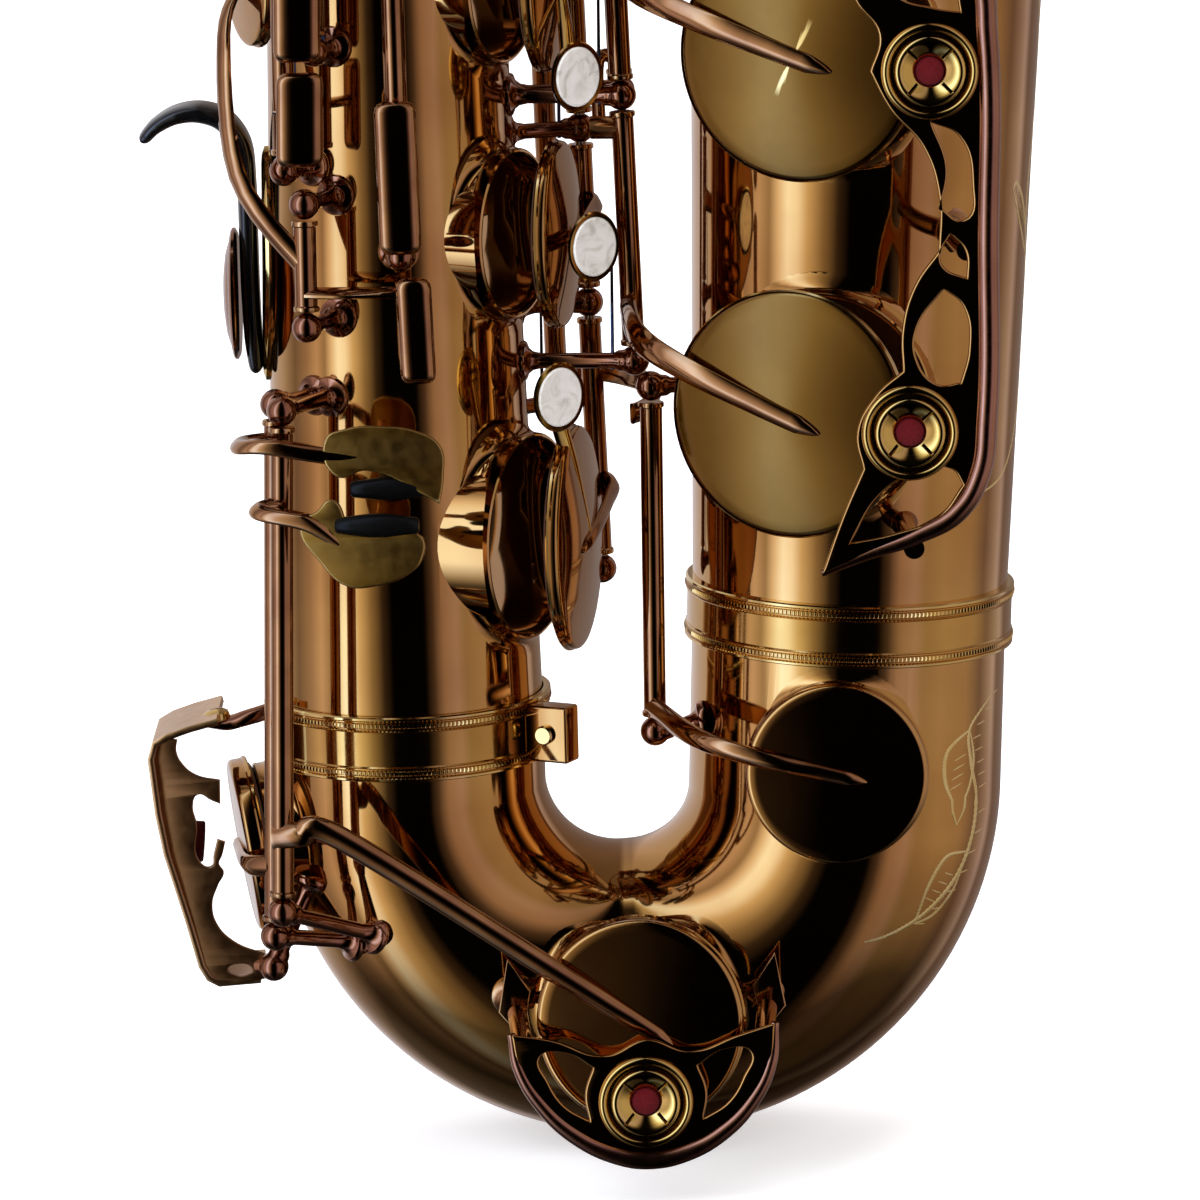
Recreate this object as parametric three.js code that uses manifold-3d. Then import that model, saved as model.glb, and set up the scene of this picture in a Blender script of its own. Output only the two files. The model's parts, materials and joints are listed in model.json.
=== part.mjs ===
// Tenor saxophone, in millimetres: +Z runs up the body tube's axis, +X from the body towards the bell and
// -Y towards the player's right hand. The bottom of the bow stands at height zero.
// A conical body tube, a U bow and a flared bell are clamped together by two rings. Ball posts are soldered
// to them, and each key is one soldered assembly of hinge tube, arm, pad cup and touch that swings between
// its posts. Every key is laid out shut on its tone hole, and is then turned open about its own hinge.
import * as THREE from "three";
import { mergeVertices } from "three/addons/utils/BufferGeometryUtils.js";
import Module from "manifold-3d";

const wasm = await Module();
wasm.setup();

// Body tube, a cone from the bow to the neck
const bodyFootHeight = 97;
const bodyTopHeight = 690;
const bodyFootRadius = 30.2;
const bodyTopRadius = 14.8;
const tubeWall = 1.2;
const tubeSides = 16;
const hingeSides = 6;
const smallSides = 8;
const discSides = 10;
const cutOverrun = 2;

// Bow, a half circle between the two legs
const bowTurnRadius = 48.5;
const bowBottomRadius = 33.6;
const bowBellRadius = 34.8;
const jointGap = 0.4;

// Bell
const bellLeanDegrees = 2.5;
const bellFootHeight = 120;
const bellLength = 385;
const bellTaperReach = 9.2;
const bellFlareReach = 31;
const bellFlarePower = 5;
const bellRimRadius = 2;

// Fits
const seatGap = 0.3;
const padGap = 0.4;
const hingeGap = 0.35;
const rodGap = 0.35;

// Tone holes and pad cups
const chimneyWall = 1.1;
const chimneyRise = 3;
const smallChimneyRise = 2.4;
const cupOverlap = 3.4;
const cupDepth = 5.4;
const smallCupDepth = 4.2;
const cupRoundShare = 0.3;
const padProud = 0.6;
const padInset = 1;

// Ball posts, hinge tubes, rods and arms
const ballRadius = 3.3;
const postRadius = 1.9;
const postFootRadius = 4.4;
const postFootThickness = 1.1;
const tubeRadius = 2.5;
const boreRadius = 1.75;
const rodRadius = 1.2;
const armWidth = 5;
const armThickness = 2.2;
const sink = 0.6;

// Finger pearls in their turned holders
const pearlRadius = 6.4;
const smallPearlRadius = 3.8;
const pearlThickness = 2.2;
const pearlWall = 0.9;
const pearlFloor = 1.2;
const pearlGap = 0.3;

const materials = {
  bodyLacquer: new THREE.MeshStandardMaterial({ color: 0xb07a3c, roughness: 0.12, metalness: 1 }),
  keyLacquer: new THREE.MeshStandardMaterial({ color: 0x8f5f38, roughness: 0.15, metalness: 1 }),
  brass: new THREE.MeshStandardMaterial({ color: 0xd9b25a, roughness: 0.2, metalness: 1 }),
  steel: new THREE.MeshStandardMaterial({ color: 0x9aa0a6, roughness: 0.3, metalness: 1 }),
  pearl: new THREE.MeshStandardMaterial({ color: 0xe6e2d8, roughness: 0.25, metalness: 0 }),
  blackPlastic: new THREE.MeshStandardMaterial({ color: 0x101214, roughness: 0.2, metalness: 0 }),
  felt: new THREE.MeshStandardMaterial({ color: 0x8f0a35, roughness: 0.9, metalness: 0 }),
  cork: new THREE.MeshStandardMaterial({ color: 0xc49a6c, roughness: 0.9, metalness: 0 }),
  cane: new THREE.MeshStandardMaterial({ color: 0xd8bb7a, roughness: 0.7, metalness: 0 }),
};

const saxophone = new THREE.Group();
const vec = (x, y, z) => new THREE.Vector3(x, y, z);
const spot = ({ x, y, z }) => vec(x, y, z);
const up = vec(0, 0, 1);
const radians = THREE.MathUtils.degToRad;
const along = (start, direction, distance) => start.clone().addScaledVector(direction, distance);

// Closed solids from three.js geometries

const mergeReach = 1e-4;
function solidOf(geometry) {
  const bare = geometry.index ? geometry.toNonIndexed() : geometry.clone();
  for (const attribute of Object.keys(bare.attributes)) {
    if (attribute !== "position") bare.deleteAttribute(attribute);
  }
  const merged = mergeVertices(bare, mergeReach);
  return new wasm.Manifold(
    new wasm.Mesh({
      numProp: 3,
      vertProperties: merged.attributes.position.array,
      triVerts: new Uint32Array(merged.index.array),
    }),
  );
}

function geometryOf(solid) {
  const made = solid.getMesh();
  const geometry = new THREE.BufferGeometry();
  geometry.setAttribute("position", new THREE.BufferAttribute(new Float32Array(made.vertProperties), 3));
  geometry.setIndex(new THREE.BufferAttribute(made.triVerts, 1));
  geometry.computeVertexNormals();
  return geometry;
}

const join = (...solids) => wasm.Manifold.union(solids.flat(3));

// A matrix whose Z axis lies along direction and whose X axis leans towards side.
const nearlyUprightShare = 0.9;
function frameAt(origin, direction, side = null) {
  const z = direction.clone().normalize();
  const seed = side ?? (Math.abs(z.z) < nearlyUprightShare ? up : vec(1, 0, 0));
  const x = seed.clone().addScaledVector(z, -seed.dot(z)).normalize();
  const y = z.clone().cross(x);
  return new THREE.Matrix4().makeBasis(x, y, z).setPosition(origin);
}

// A turned piece: profile points are [radius, height] along direction from centre.
function turned(profile, sides, centre, direction) {
  const points = profile.map(([radius, height]) => new THREE.Vector2(radius, height));
  const geometry = new THREE.LatheGeometry(points, sides);
  geometry.rotateX(Math.PI / 2);
  geometry.applyMatrix4(frameAt(centre, direction));
  return solidOf(geometry);
}

function bar(start, end, radius, sides = smallSides, endRadius = radius) {
  const length = start.distanceTo(end);
  const profile = [[0, 0], [radius, 0], [endRadius, length], [0, length]];
  return turned(profile, sides, start, end.clone().sub(start));
}

// A solid skinned over rings of equally many points.
function skinned(rings) {
  const count = rings[0].length;
  const position = rings.flat().flatMap((p) => [p.x, p.y, p.z]);
  const index = [];
  for (let i = 0; i < rings.length - 1; i++) {
    const low = i * count;
    const high = low + count;
    for (let j = 0; j < count; j++) {
      const next = (j + 1) % count;
      index.push(low + j, low + next, high + next, low + j, high + next, high + j);
    }
  }
  const last = (rings.length - 1) * count;
  for (let j = 1; j < count - 1; j++) index.push(0, j + 1, j, last, last + j, last + j + 1);
  const geometry = new THREE.BufferGeometry();
  geometry.setAttribute("position", new THREE.Float32BufferAttribute(position, 3));
  geometry.setIndex(index);
  return solidOf(geometry);
}

function direction(points, i) {
  const before = points[Math.max(i - 1, 0)];
  const after = points[Math.min(i + 1, points.length - 1)];
  return after.clone().sub(before).normalize();
}

// A round bar along points in one plane, with a radius at each.
function pipe(points, radii, sides, side = vec(0, 1, 0)) {
  const rings = points.map((point, i) => {
    const frame = frameAt(point, direction(points, i), side);
    const radius = Array.isArray(radii) ? radii[i] : radii;
    return Array.from({ length: sides }, (_, j) => {
      const turn = (2 * Math.PI * j) / sides;
      return vec(radius * Math.cos(turn), radius * Math.sin(turn), 0).applyMatrix4(frame);
    });
  });
  return skinned(rings);
}

// A key arm: a strap with a flat back and a ridge along its face, as wide as widths say at each point.
const armShoulderShare = 0.55;
function arm(points, face, widths = armWidth, thickness = armThickness) {
  const rings = points.map((point, i) => {
    const way = direction(points, i);
    const lift = (Array.isArray(face) ? face[i] : face).clone();
    lift.addScaledVector(way, -lift.dot(way)).normalize();
    const side = way.clone().cross(lift);
    const half = (Array.isArray(widths) ? widths[i] : widths) / 2;
    const corner = (across, rise) => along(along(point, side, across * half), lift, rise * thickness);
    const shoulders = [corner(-1, armShoulderShare), corner(0, 1), corner(1, armShoulderShare)];
    return [corner(-1, 0), ...shoulders, corner(1, 0)];
  });
  return skinned(rings);
}

// A flat plate: the outline lies in the frame's XY plane and the plate rises along its Z.
const plateCurveSegments = 5;
function plate(shape, thickness, frame, curveSegments = plateCurveSegments) {
  const geometry = new THREE.ExtrudeGeometry(shape, { depth: thickness, bevelEnabled: false, curveSegments });
  geometry.applyMatrix4(frame);
  return solidOf(geometry);
}

function add(name, solid, material, origin = vec(0, 0, 0), parent = saxophone) {
  const geometry = geometryOf(solid);
  geometry.translate(-origin.x, -origin.y, -origin.z);
  const mesh = new THREE.Mesh(geometry, materials[material]);
  mesh.name = name;
  parent.add(mesh);
  return mesh;
}

// Stations on the three tubes

const bodyRadius = (height) =>
  THREE.MathUtils.mapLinear(height, bodyFootHeight, bodyTopHeight, bodyFootRadius, bodyTopRadius);
const towards = (azimuth) => vec(Math.cos(radians(azimuth)), Math.sin(radians(azimuth)), 0);
const bodyPoint = (azimuth, height, rise) =>
  along(vec(0, 0, height), towards(azimuth), bodyRadius(height) + rise);

const bowCentre = vec(bowTurnRadius, 0, bowTurnRadius + bowBottomRadius);
const bellFrame = new THREE.Matrix4()
  .makeTranslation(2 * bowTurnRadius, 0, bowCentre.z)
  .multiply(new THREE.Matrix4().makeRotationY(radians(bellLeanDegrees)));
const bellAxis = up.clone().transformDirection(bellFrame);
const bellOrigin = vec(0, 0, 0).applyMatrix4(bellFrame);
const bellFootRise = bellFootHeight - bowCentre.z;
const bellRadius = (rise) => {
  const share = (rise - bellFootRise) / bellLength;
  const flare = Math.pow(Math.max(share, 0), bellFlarePower);
  return bowBellRadius + bellTaperReach * share + bellFlareReach * flare;
};
const bellTowards = (azimuth) => towards(azimuth).transformDirection(bellFrame);
const bellPoint = (azimuth, rise, lift) =>
  along(along(bellOrigin, bellAxis, rise), bellTowards(azimuth), bellRadius(rise) + lift);

// The bow's centre line: turn 0 is at the body leg and swing turns from outside the U towards -Y.
const bowTurn = 180 - bellLeanDegrees;
const bowRadius = (turn) => {
  const share = turn / bowTurn;
  return share < 0.5
    ? THREE.MathUtils.lerp(bodyFootRadius, bowBottomRadius, share * 2)
    : THREE.MathUtils.lerp(bowBottomRadius, bowBellRadius, share * 2 - 1);
};
const bowSpoke = (turn) => vec(-Math.cos(radians(turn)), 0, -Math.sin(radians(turn)));
const bowAxisPoint = (turn) => along(bowCentre, bowSpoke(turn), bowTurnRadius);
const bowTowards = (turn, swing) =>
  vec(0, -Math.sin(radians(swing)), 0).addScaledVector(bowSpoke(turn), Math.cos(radians(swing)));
const bowPoint = (turn, swing, rise) =>
  along(bowAxisPoint(turn), bowTowards(turn, swing), bowRadius(turn) + rise);

// Tone holes: each has the axis point behind it, its outward normal, its bore and the middle of its rim.

const stackAzimuth = -25;
const upperStackAzimuth = -22;
const trebleAzimuth = -158;
const palmAzimuth = 62;
const bodyHoles = {
  d: { height: 140, azimuth: stackAzimuth, bore: 43.5 },
  e: { height: 207, azimuth: stackAzimuth, bore: 35 },
  f: { height: 262, azimuth: stackAzimuth, bore: 33.5 },
  fSharp: { height: 308, azimuth: stackAzimuth, bore: 26 },
  gSharp: { height: 352, azimuth: 58, bore: 23 },
  g: { height: 356, azimuth: upperStackAzimuth, bore: 27 },
  a: { height: 397, azimuth: upperStackAzimuth, bore: 23.5 },
  bis: { height: 430, azimuth: upperStackAzimuth, bore: 14.5 },
  b: { height: 461, azimuth: upperStackAzimuth, bore: 18.5 },
  c: { height: 492, azimuth: upperStackAzimuth, bore: 15 },
  trill: { height: 262, azimuth: trebleAzimuth, bore: 20 },
  sideBb: { height: 440, azimuth: trebleAzimuth, bore: 18 },
  sideC: { height: 478, azimuth: trebleAzimuth, bore: 16 },
  highE: { height: 594, azimuth: -140, bore: 14 },
  highFSharp: { height: 650, azimuth: -118, bore: 12 },
  palmD: { height: 540, azimuth: palmAzimuth, bore: 15 },
  palmEb: { height: 584, azimuth: palmAzimuth, bore: 14 },
  palmF: { height: 628, azimuth: palmAzimuth, bore: 13 },
  octave: { height: 552, azimuth: 180, bore: 4 },
};
const bellHoles = {
  lowBb: { rise: 166, azimuth: -104, bore: 47.5 },
  lowB: { rise: 89, azimuth: -104, bore: 47.5 },
};
const legHoles = { lowCSharp: { rise: 9, azimuth: -95, bore: 34 } };
const bowHoles = {
  lowC: { turn: 92, swing: 97, bore: 39.5 },
  lowEb: { turn: 8, swing: 8, bore: 33 },
};

const largeBore = 20;
const hugeBore = 30;
const hugeBoreSides = 12;
const chimneyHeight = (bore) => (bore > largeBore ? chimneyRise : smallChimneyRise);

function holeFrom(root, normal, radius, bore) {
  const seat = radius + chimneyHeight(bore);
  const sides = bore > hugeBore ? hugeBoreSides : bore > largeBore ? discSides : smallSides;
  return { root, normal, bore, sides, seat, rim: along(root, normal, seat) };
}

const holes = {};
for (const [name, { height, azimuth, bore }] of Object.entries(bodyHoles)) {
  holes[name] = holeFrom(vec(0, 0, height), towards(azimuth), bodyRadius(height), bore);
}
for (const [name, { rise, azimuth, bore }] of Object.entries(bellHoles)) {
  holes[name] = holeFrom(along(bellOrigin, bellAxis, rise), bellTowards(azimuth), bellRadius(rise), bore);
}
for (const [name, { rise, azimuth, bore }] of Object.entries(legHoles)) {
  holes[name] = holeFrom(along(bellOrigin, bellAxis, rise), bellTowards(azimuth), bowBellRadius, bore);
}
for (const [name, { turn, swing, bore }] of Object.entries(bowHoles)) {
  holes[name] = holeFrom(bowAxisPoint(turn), bowTowards(turn, swing), bowRadius(turn), bore);
}

const rootShare = 0.3;
function chimney(hole) {
  const reach = hole.bore / 2 + chimneyWall;
  return bar(along(hole.root, hole.normal, hole.seat * rootShare), hole.rim, reach, hole.sides);
}
const chimneyBore = (hole) =>
  bar(hole.root, along(hole.rim, hole.normal, cutOverrun), hole.bore / 2, hole.sides);
const drilled = (outside, inside, drilledHoles) =>
  join(outside, drilledHoles.map(chimney)).subtract(join(inside, drilledHoles.map(chimneyBore)));

// Ball posts: a foot soldered to the tube, a stem, and a ball that holds the hinge's pivot.

const footRootShare = 0.75;
const postSides = 5;
const ballNeckShare = 0.8;
const ballBellyShare = 0.25;
const ballShoulderShare = 0.6;
function post(surface, head) {
  const length = surface.distanceTo(head);
  const root = -tubeWall * footRootShare;
  const profile = [
    [0, root],
    [postFootRadius, root],
    [postRadius, postFootThickness * 2],
    [postRadius, length - ballRadius * ballNeckShare],
    [ballRadius, length - ballRadius * ballBellyShare],
    [ballRadius * ballNeckShare, length + ballRadius * ballShoulderShare],
    [0, length + ballRadius],
  ];
  return turned(profile, postSides, surface, head.clone().sub(surface));
}

// Hinges: a line between two pivots. Stops are the heights of its posts.

function hingeThrough(low, high) {
  const axis = high.clone().sub(low).normalize();
  const at = (height) => along(low, axis, (height - low.z) / axis.z);
  const clear = ballRadius + hingeGap;
  return {
    low,
    high,
    axis,
    at,
    tube: (from, to) => bar(at(from + clear), at(to - clear), tubeRadius, hingeSides),
    sleeve: () => bar(at(low.z + clear), at(high.z - clear), tubeRadius, hingeSides),
    bore: () => bar(at(low.z - ballRadius - cutOverrun), at(high.z + ballRadius + cutOverrun), boreRadius,
      hingeSides),
    rod: () => bar(at(low.z - ballRadius), at(high.z + ballRadius), rodRadius, hingeSides),
  };
}

const bodyHingeSites = {
  stack: { azimuth: 18, reach: 16.8, stops: [127, 187.5, 226.5, 286, 328] },
  upperStack: { azimuth: 20, reach: 14.5, stops: [336, 379, 444, 508] },
  lowB: { azimuth: -8, reach: 24.6, stops: [177.5, 236, 414] },
  lowBLever: { azimuth: 3, reach: 24, stops: [236, 414] },
  cSharpLever: { azimuth: 44, reach: 20, stops: [162, 380] },
  gSharp: { azimuth: 96, reach: 9.5, stops: [322, 392] },
  trill: { azimuth: -115, reach: 14.8, stops: [191.5, 218] },
  sideBb: { azimuth: -128, reach: 9, stops: [224, 458] },
  sideC: { azimuth: -115, reach: 9, stops: [250, 494] },
  highE: { azimuth: -101, reach: 9, stops: [270, 608] },
  highFSharp: { azimuth: -86, reach: 9, stops: [206, 664] },
  palmD: { azimuth: 98, reach: 8.4, stops: [508, 552] },
  palmEb: { azimuth: 98, reach: 8.4, stops: [560, 596] },
  palmF: { azimuth: 98, reach: 8.4, stops: [604, 642] },
  octave: { azimuth: 150, reach: 7.4, stops: [538, 568] },
  octaveLever: { azimuth: 138, reach: 8, stops: [498, 530] },
};

const hinges = {};
const bodyPosts = [];
for (const [name, { azimuth, reach, stops }] of Object.entries(bodyHingeSites)) {
  const first = stops[0];
  const last = stops[stops.length - 1];
  const hinge = hingeThrough(bodyPoint(azimuth, first, reach), bodyPoint(azimuth, last, reach));
  hinges[name] = hinge;
  bodyPosts.push(...stops.map((stop) => post(bodyPoint(azimuth, stop, 0), hinge.at(stop))));
}

// The pinky hinges and the low C sharp hinge run across the rings, from one tube to the next.
const pinkyTop = 174;
const lowCPivots = { azimuth: -120, reach: 19.5, foot: { x: -27.4, y: -42, z: 63.6 } };
const lowEbPivots = { azimuth: -128.5, reach: 13, foot: { x: -29.6, y: -33, z: 56 } };
const lowCSharpPivots = { foot: { x: 54.8, y: -13, z: 95.4 }, top: { x: 55.6, y: -13, z: 172.7 } };
const lowCSharpFeet = { low: { azimuth: -158, rise: 14 }, high: { azimuth: -163, rise: 89 } };
const pinkyFootTurn = 26;
const lowCFootSwing = 62;
const lowEbFootSwing = 50;
hinges.lowC = hingeThrough(spot(lowCPivots.foot), bodyPoint(lowCPivots.azimuth, pinkyTop, lowCPivots.reach));
const lowEbTop = bodyPoint(lowEbPivots.azimuth, pinkyTop, lowEbPivots.reach);
hinges.lowEb = hingeThrough(spot(lowEbPivots.foot), lowEbTop);
hinges.lowCSharp = hingeThrough(spot(lowCSharpPivots.foot), spot(lowCSharpPivots.top));
bodyPosts.push(post(bodyPoint(lowCPivots.azimuth, pinkyTop, 0), hinges.lowC.high));
bodyPosts.push(post(bodyPoint(lowEbPivots.azimuth, pinkyTop, 0), hinges.lowEb.high));

const boredHinges = [hinges.stack, hinges.upperStack];

// Body tube, with its drawn tone holes and the posts of the hinges above it

const bodyShell = (wall, overrun) =>
  turned(
    [
      [0, bodyFootHeight - overrun],
      [bodyFootRadius - wall, bodyFootHeight - overrun],
      [bodyTopRadius - wall, bodyTopHeight + overrun],
      [0, bodyTopHeight + overrun],
    ],
    tubeSides, vec(0, 0, 0), up);
const bodyTube = drilled(
  join(bodyShell(0, 0), bodyPosts),
  bodyShell(tubeWall, cutOverrun),
  Object.keys(bodyHoles).map((name) => holes[name]),
).subtract(join(boredHinges.map((hinge) => hinge.bore())));
add("body_tube", bodyTube, "bodyLacquer");

// Bow: the U tube, with a straight leg on the bell side that ends inside the upper clamp ring

const bowSteps = 9;
function bowShell(wall, overrun) {
  const points = [vec(0, 0, bodyFootHeight - jointGap + overrun)];
  const radii = [bodyFootRadius - wall];
  for (let i = 0; i <= bowSteps; i++) {
    const turn = (bowTurn * i) / bowSteps;
    points.push(bowAxisPoint(turn));
    radii.push(bowRadius(turn) - wall);
  }
  points.push(along(bellOrigin, bellAxis, bellFootRise - jointGap + overrun));
  radii.push(bowBellRadius - wall);
  return pipe(points, radii, tubeSides);
}
const bowPosts = [
  post(bowPoint(pinkyFootTurn, lowCFootSwing, 0), hinges.lowC.low),
  post(bowPoint(pinkyFootTurn, lowEbFootSwing, 0), hinges.lowEb.low),
  post(bellPoint(lowCSharpFeet.low.azimuth, lowCSharpFeet.low.rise, 0), hinges.lowCSharp.low),
];
add("bow", drilled(join(bowShell(0, 0), bowPosts), bowShell(tubeWall, cutOverrun),
  [holes.lowCSharp, holes.lowC, holes.lowEb]), "bodyLacquer");

// Bell: drawn over a mandrel, with its rim rolled outwards

const bellSteps = 7;
const bellTopRise = bellFootRise + bellLength;
function bellShell(wall, overrun) {
  const profile = [[0, bellFootRise - overrun], [bellRadius(bellFootRise) - wall, bellFootRise - overrun]];
  for (let i = 1; i <= bellSteps; i++) {
    const rise = bellFootRise + bellLength * Math.sqrt(i / bellSteps);
    profile.push([bellRadius(rise) - wall, rise + (i === bellSteps ? overrun : 0)]);
  }
  profile.push([0, bellTopRise + overrun]);
  return turned(profile, tubeSides, bellOrigin, bellAxis);
}
function bellRim() {
  const reach = bellRadius(bellTopRise);
  return turned(
    [
      [reach - tubeWall, bellTopRise - bellRimRadius],
      [reach + bellRimRadius, bellTopRise - 2 * bellRimRadius],
      [reach + 2 * bellRimRadius, bellTopRise - bellRimRadius],
      [reach + bellRimRadius, bellTopRise],
      [reach - tubeWall, bellTopRise],
      [reach - tubeWall, bellTopRise - bellRimRadius],
    ],
    tubeSides, bellOrigin, bellAxis);
}
const { high: bellFootSite } = lowCSharpFeet;
const bellPost = post(bellPoint(bellFootSite.azimuth, bellFootSite.rise, 0), hinges.lowCSharp.high);
add("bell", drilled(join(bellShell(0, 0), bellRim(), bellPost), bellShell(tubeWall, cutOverrun),
  [holes.lowB, holes.lowBb]), "bodyLacquer");

// Clamp rings over the two joints, beaded at both edges, each drawn together by a lug with a screw

const ringRise = 0.9;
const ringBead = 0.9;
const ringBeadWidth = 1.4;
const bodyRing = { low: 89.4, high: 103.8 };
const bellRing = { low: 113.2, high: 126.8 };
function clampRing(radius, { low, high }, origin, axis) {
  const inner = radius + seatGap;
  const outer = inner + ringRise;
  const bead = outer + ringBead;
  const profile = [
    [inner, low],
    [bead, low],
    [bead, low + ringBeadWidth],
    [outer, low + 2 * ringBeadWidth],
    [outer, high - 2 * ringBeadWidth],
    [bead, high - ringBeadWidth],
    [bead, high],
    [inner, high],
    [inner, low],
  ];
  return turned(profile, tubeSides, origin, axis);
}

const clampLug = { azimuth: -28, reach: 11, width: 6, height: 12.6, screwRadius: 2.2, screwHead: 1.6 };
function clampLugBlock(radius, middle) {
  const out = towards(clampLug.azimuth);
  const root = along(vec(0, 0, middle), out, radius + seatGap + ringRise / 2);
  const outline = new THREE.Shape([
    new THREE.Vector2(-clampLug.height / 2, -clampLug.width / 2),
    new THREE.Vector2(clampLug.height / 2, -clampLug.width / 2),
    new THREE.Vector2(clampLug.height / 2, clampLug.width / 2),
    new THREE.Vector2(-clampLug.height / 2, clampLug.width / 2),
  ]);
  const across = up.clone().cross(out);
  const head = along(along(root, out, clampLug.reach / 2), across, -clampLug.width / 2 - clampLug.screwHead);
  return join(
    plate(outline, clampLug.reach, frameAt(root, out, up)),
    bar(head, along(head, across, clampLug.width), clampLug.screwRadius),
  );
}
add("body_bow_ring", join(clampRing(bodyFootRadius, bodyRing, vec(0, 0, 0), up),
  clampLugBlock(bodyFootRadius, (bodyRing.low + bodyRing.high) / 2)), "brass");
add("bell_bow_ring", clampRing(bowBellRadius,
  { low: bellRing.low - bowCentre.z, high: bellRing.high - bowCentre.z }, bellOrigin, bellAxis), "brass");

// Brace between body and bell: a ring on two flanges, soldered to the body and screwed to the bell

const brace = {
  postGap: 30.5,
  ringRadius: 10,
  ringWall: 3,
  thickness: 4.6,
  neckHeight: 8,
  flangeHeight: 11.6,
  flangeThickness: 3,
};
const braceHeight = bodyHingeSites.lowB.stops[2] + brace.postGap;
function bellBrace() {
  const bodyFace = bodyRadius(braceHeight);
  const bellFace = bellPoint(180, braceHeight - bowCentre.z, 0).x;
  const middle = (bodyFace + bellFace) / 2;
  const half = brace.thickness / 2;
  const ring = new THREE.Shape().absarc(0, 0, brace.ringRadius, 0, 2 * Math.PI);
  ring.holes.push(new THREE.Path().absarc(0, 0, brace.ringRadius - brace.ringWall, 0, 2 * Math.PI, true));
  const block = (left, right, height) => {
    const outline = new THREE.Shape([
      new THREE.Vector2(left, -height / 2),
      new THREE.Vector2(right, -height / 2),
      new THREE.Vector2(right, height / 2),
      new THREE.Vector2(left, height / 2),
    ]);
    return outline;
  };
  const standing = frameAt(vec(middle, half, braceHeight), vec(0, -1, 0), vec(1, 0, 0));
  const reachLeft = bodyFace - middle;
  const reachRight = bellFace - middle;
  const inset = brace.ringRadius - brace.ringWall / 2;
  const bellRoot = 3 * tubeWall;
  const solid = join(
    plate(ring, brace.thickness, standing),
    plate(block(reachLeft - tubeWall, -inset, brace.neckHeight), brace.thickness, standing),
    plate(block(inset, reachRight + bellRoot, brace.neckHeight), brace.thickness, standing),
    plate(block(reachLeft - tubeWall, reachLeft + brace.flangeThickness, brace.flangeHeight),
      brace.thickness, standing),
    plate(block(reachRight - 2 * brace.flangeThickness, reachRight + bellRoot, brace.flangeHeight),
      brace.thickness, standing),
  );
  const bodyRoom = bodyShell(-seatGap, cutOverrun);
  const bellRoom = bellShell(-seatGap, cutOverrun);
  return solid.subtract(join(bodyRoom, bellRoom));
}
add("bell_brace", bellBrace(), "keyLacquer");

// Neck receiver: the socket clamped round the body's top, with its split lugs and thumb screw

const receiver = { seat: 14, rise: 21, wall: 2.2, lugReach: 9, lugWidth: 7, lugHeight: 12 };
const receiverLugDropShare = 0.7;
const neckTenonRadius = 13;
const neckFootHeight = bodyTopHeight + jointGap;
function neckReceiver() {
  const inner = bodyTopRadius + seatGap + (bodyRadius(bodyTopHeight - receiver.seat) - bodyTopRadius);
  const outer = inner + receiver.wall;
  const low = bodyTopHeight - receiver.seat;
  const high = bodyTopHeight + receiver.rise;
  const profile = [
    [inner, low],
    [outer, low],
    [outer, high],
    [neckTenonRadius + seatGap, high],
    [neckTenonRadius + seatGap, neckFootHeight],
    [inner, neckFootHeight],
    [inner, low],
  ];
  const out = towards(180);
  const lugMiddle = high - receiver.lugHeight * receiverLugDropShare;
  const outline = new THREE.Shape([
    new THREE.Vector2(-receiver.lugHeight / 2, -receiver.lugWidth / 2),
    new THREE.Vector2(receiver.lugHeight / 2, -receiver.lugWidth / 2),
    new THREE.Vector2(receiver.lugHeight / 2, receiver.lugWidth / 2),
    new THREE.Vector2(-receiver.lugHeight / 2, receiver.lugWidth / 2),
  ]);
  const root = along(vec(0, 0, lugMiddle), out, outer - receiver.wall / 2);
  const lug = plate(outline, receiver.lugReach, frameAt(root, out, up));
  return { solid: join(turned(profile, tubeSides, vec(0, 0, 0), up), lug), outer, lugMiddle };
}
const neckSocket = neckReceiver();
const receiverScrew = { shankRadius: 1.8, knobRadius: 6.5, knobThickness: 3, neckLength: 5, tail: 2 };
const screwX = -neckSocket.outer - receiver.lugReach / 2;
function receiverScrewSolid(extra) {
  const start = vec(screwX, -receiver.lugWidth / 2 - receiverScrew.neckLength, neckSocket.lugMiddle);
  const end = vec(screwX, receiver.lugWidth / 2 + receiverScrew.tail, neckSocket.lugMiddle);
  return bar(start, end, receiverScrew.shankRadius + extra);
}
add("neck_receiver", neckSocket.solid.subtract(receiverScrewSolid(seatGap)), "keyLacquer");
const knobMiddle = vec(screwX, -receiver.lugWidth / 2 - receiverScrew.neckLength, neckSocket.lugMiddle);
add("receiver_screw", join(receiverScrewSolid(0),
  bar(along(knobMiddle, vec(0, 1, 0), -receiverScrew.knobThickness), along(knobMiddle, vec(0, 1, 0), sink),
    receiverScrew.knobRadius, discSides)), "keyLacquer");

// Fittings soldered or screwed to the body: sling ring, thumb hook on its plate, thumb rest

function saddle({ azimuth, height, width, tall, thickness }) {
  const out = towards(azimuth);
  const centre = bodyPoint(azimuth, height, -tubeWall * 2);
  const outline = new THREE.Shape().absellipse(0, 0, tall / 2, width / 2, 0, 2 * Math.PI);
  return plate(outline, thickness + tubeWall * 2 + seatGap, frameAt(centre, out, up))
    .subtract(bodyShell(-seatGap, cutOverrun));
}

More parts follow.
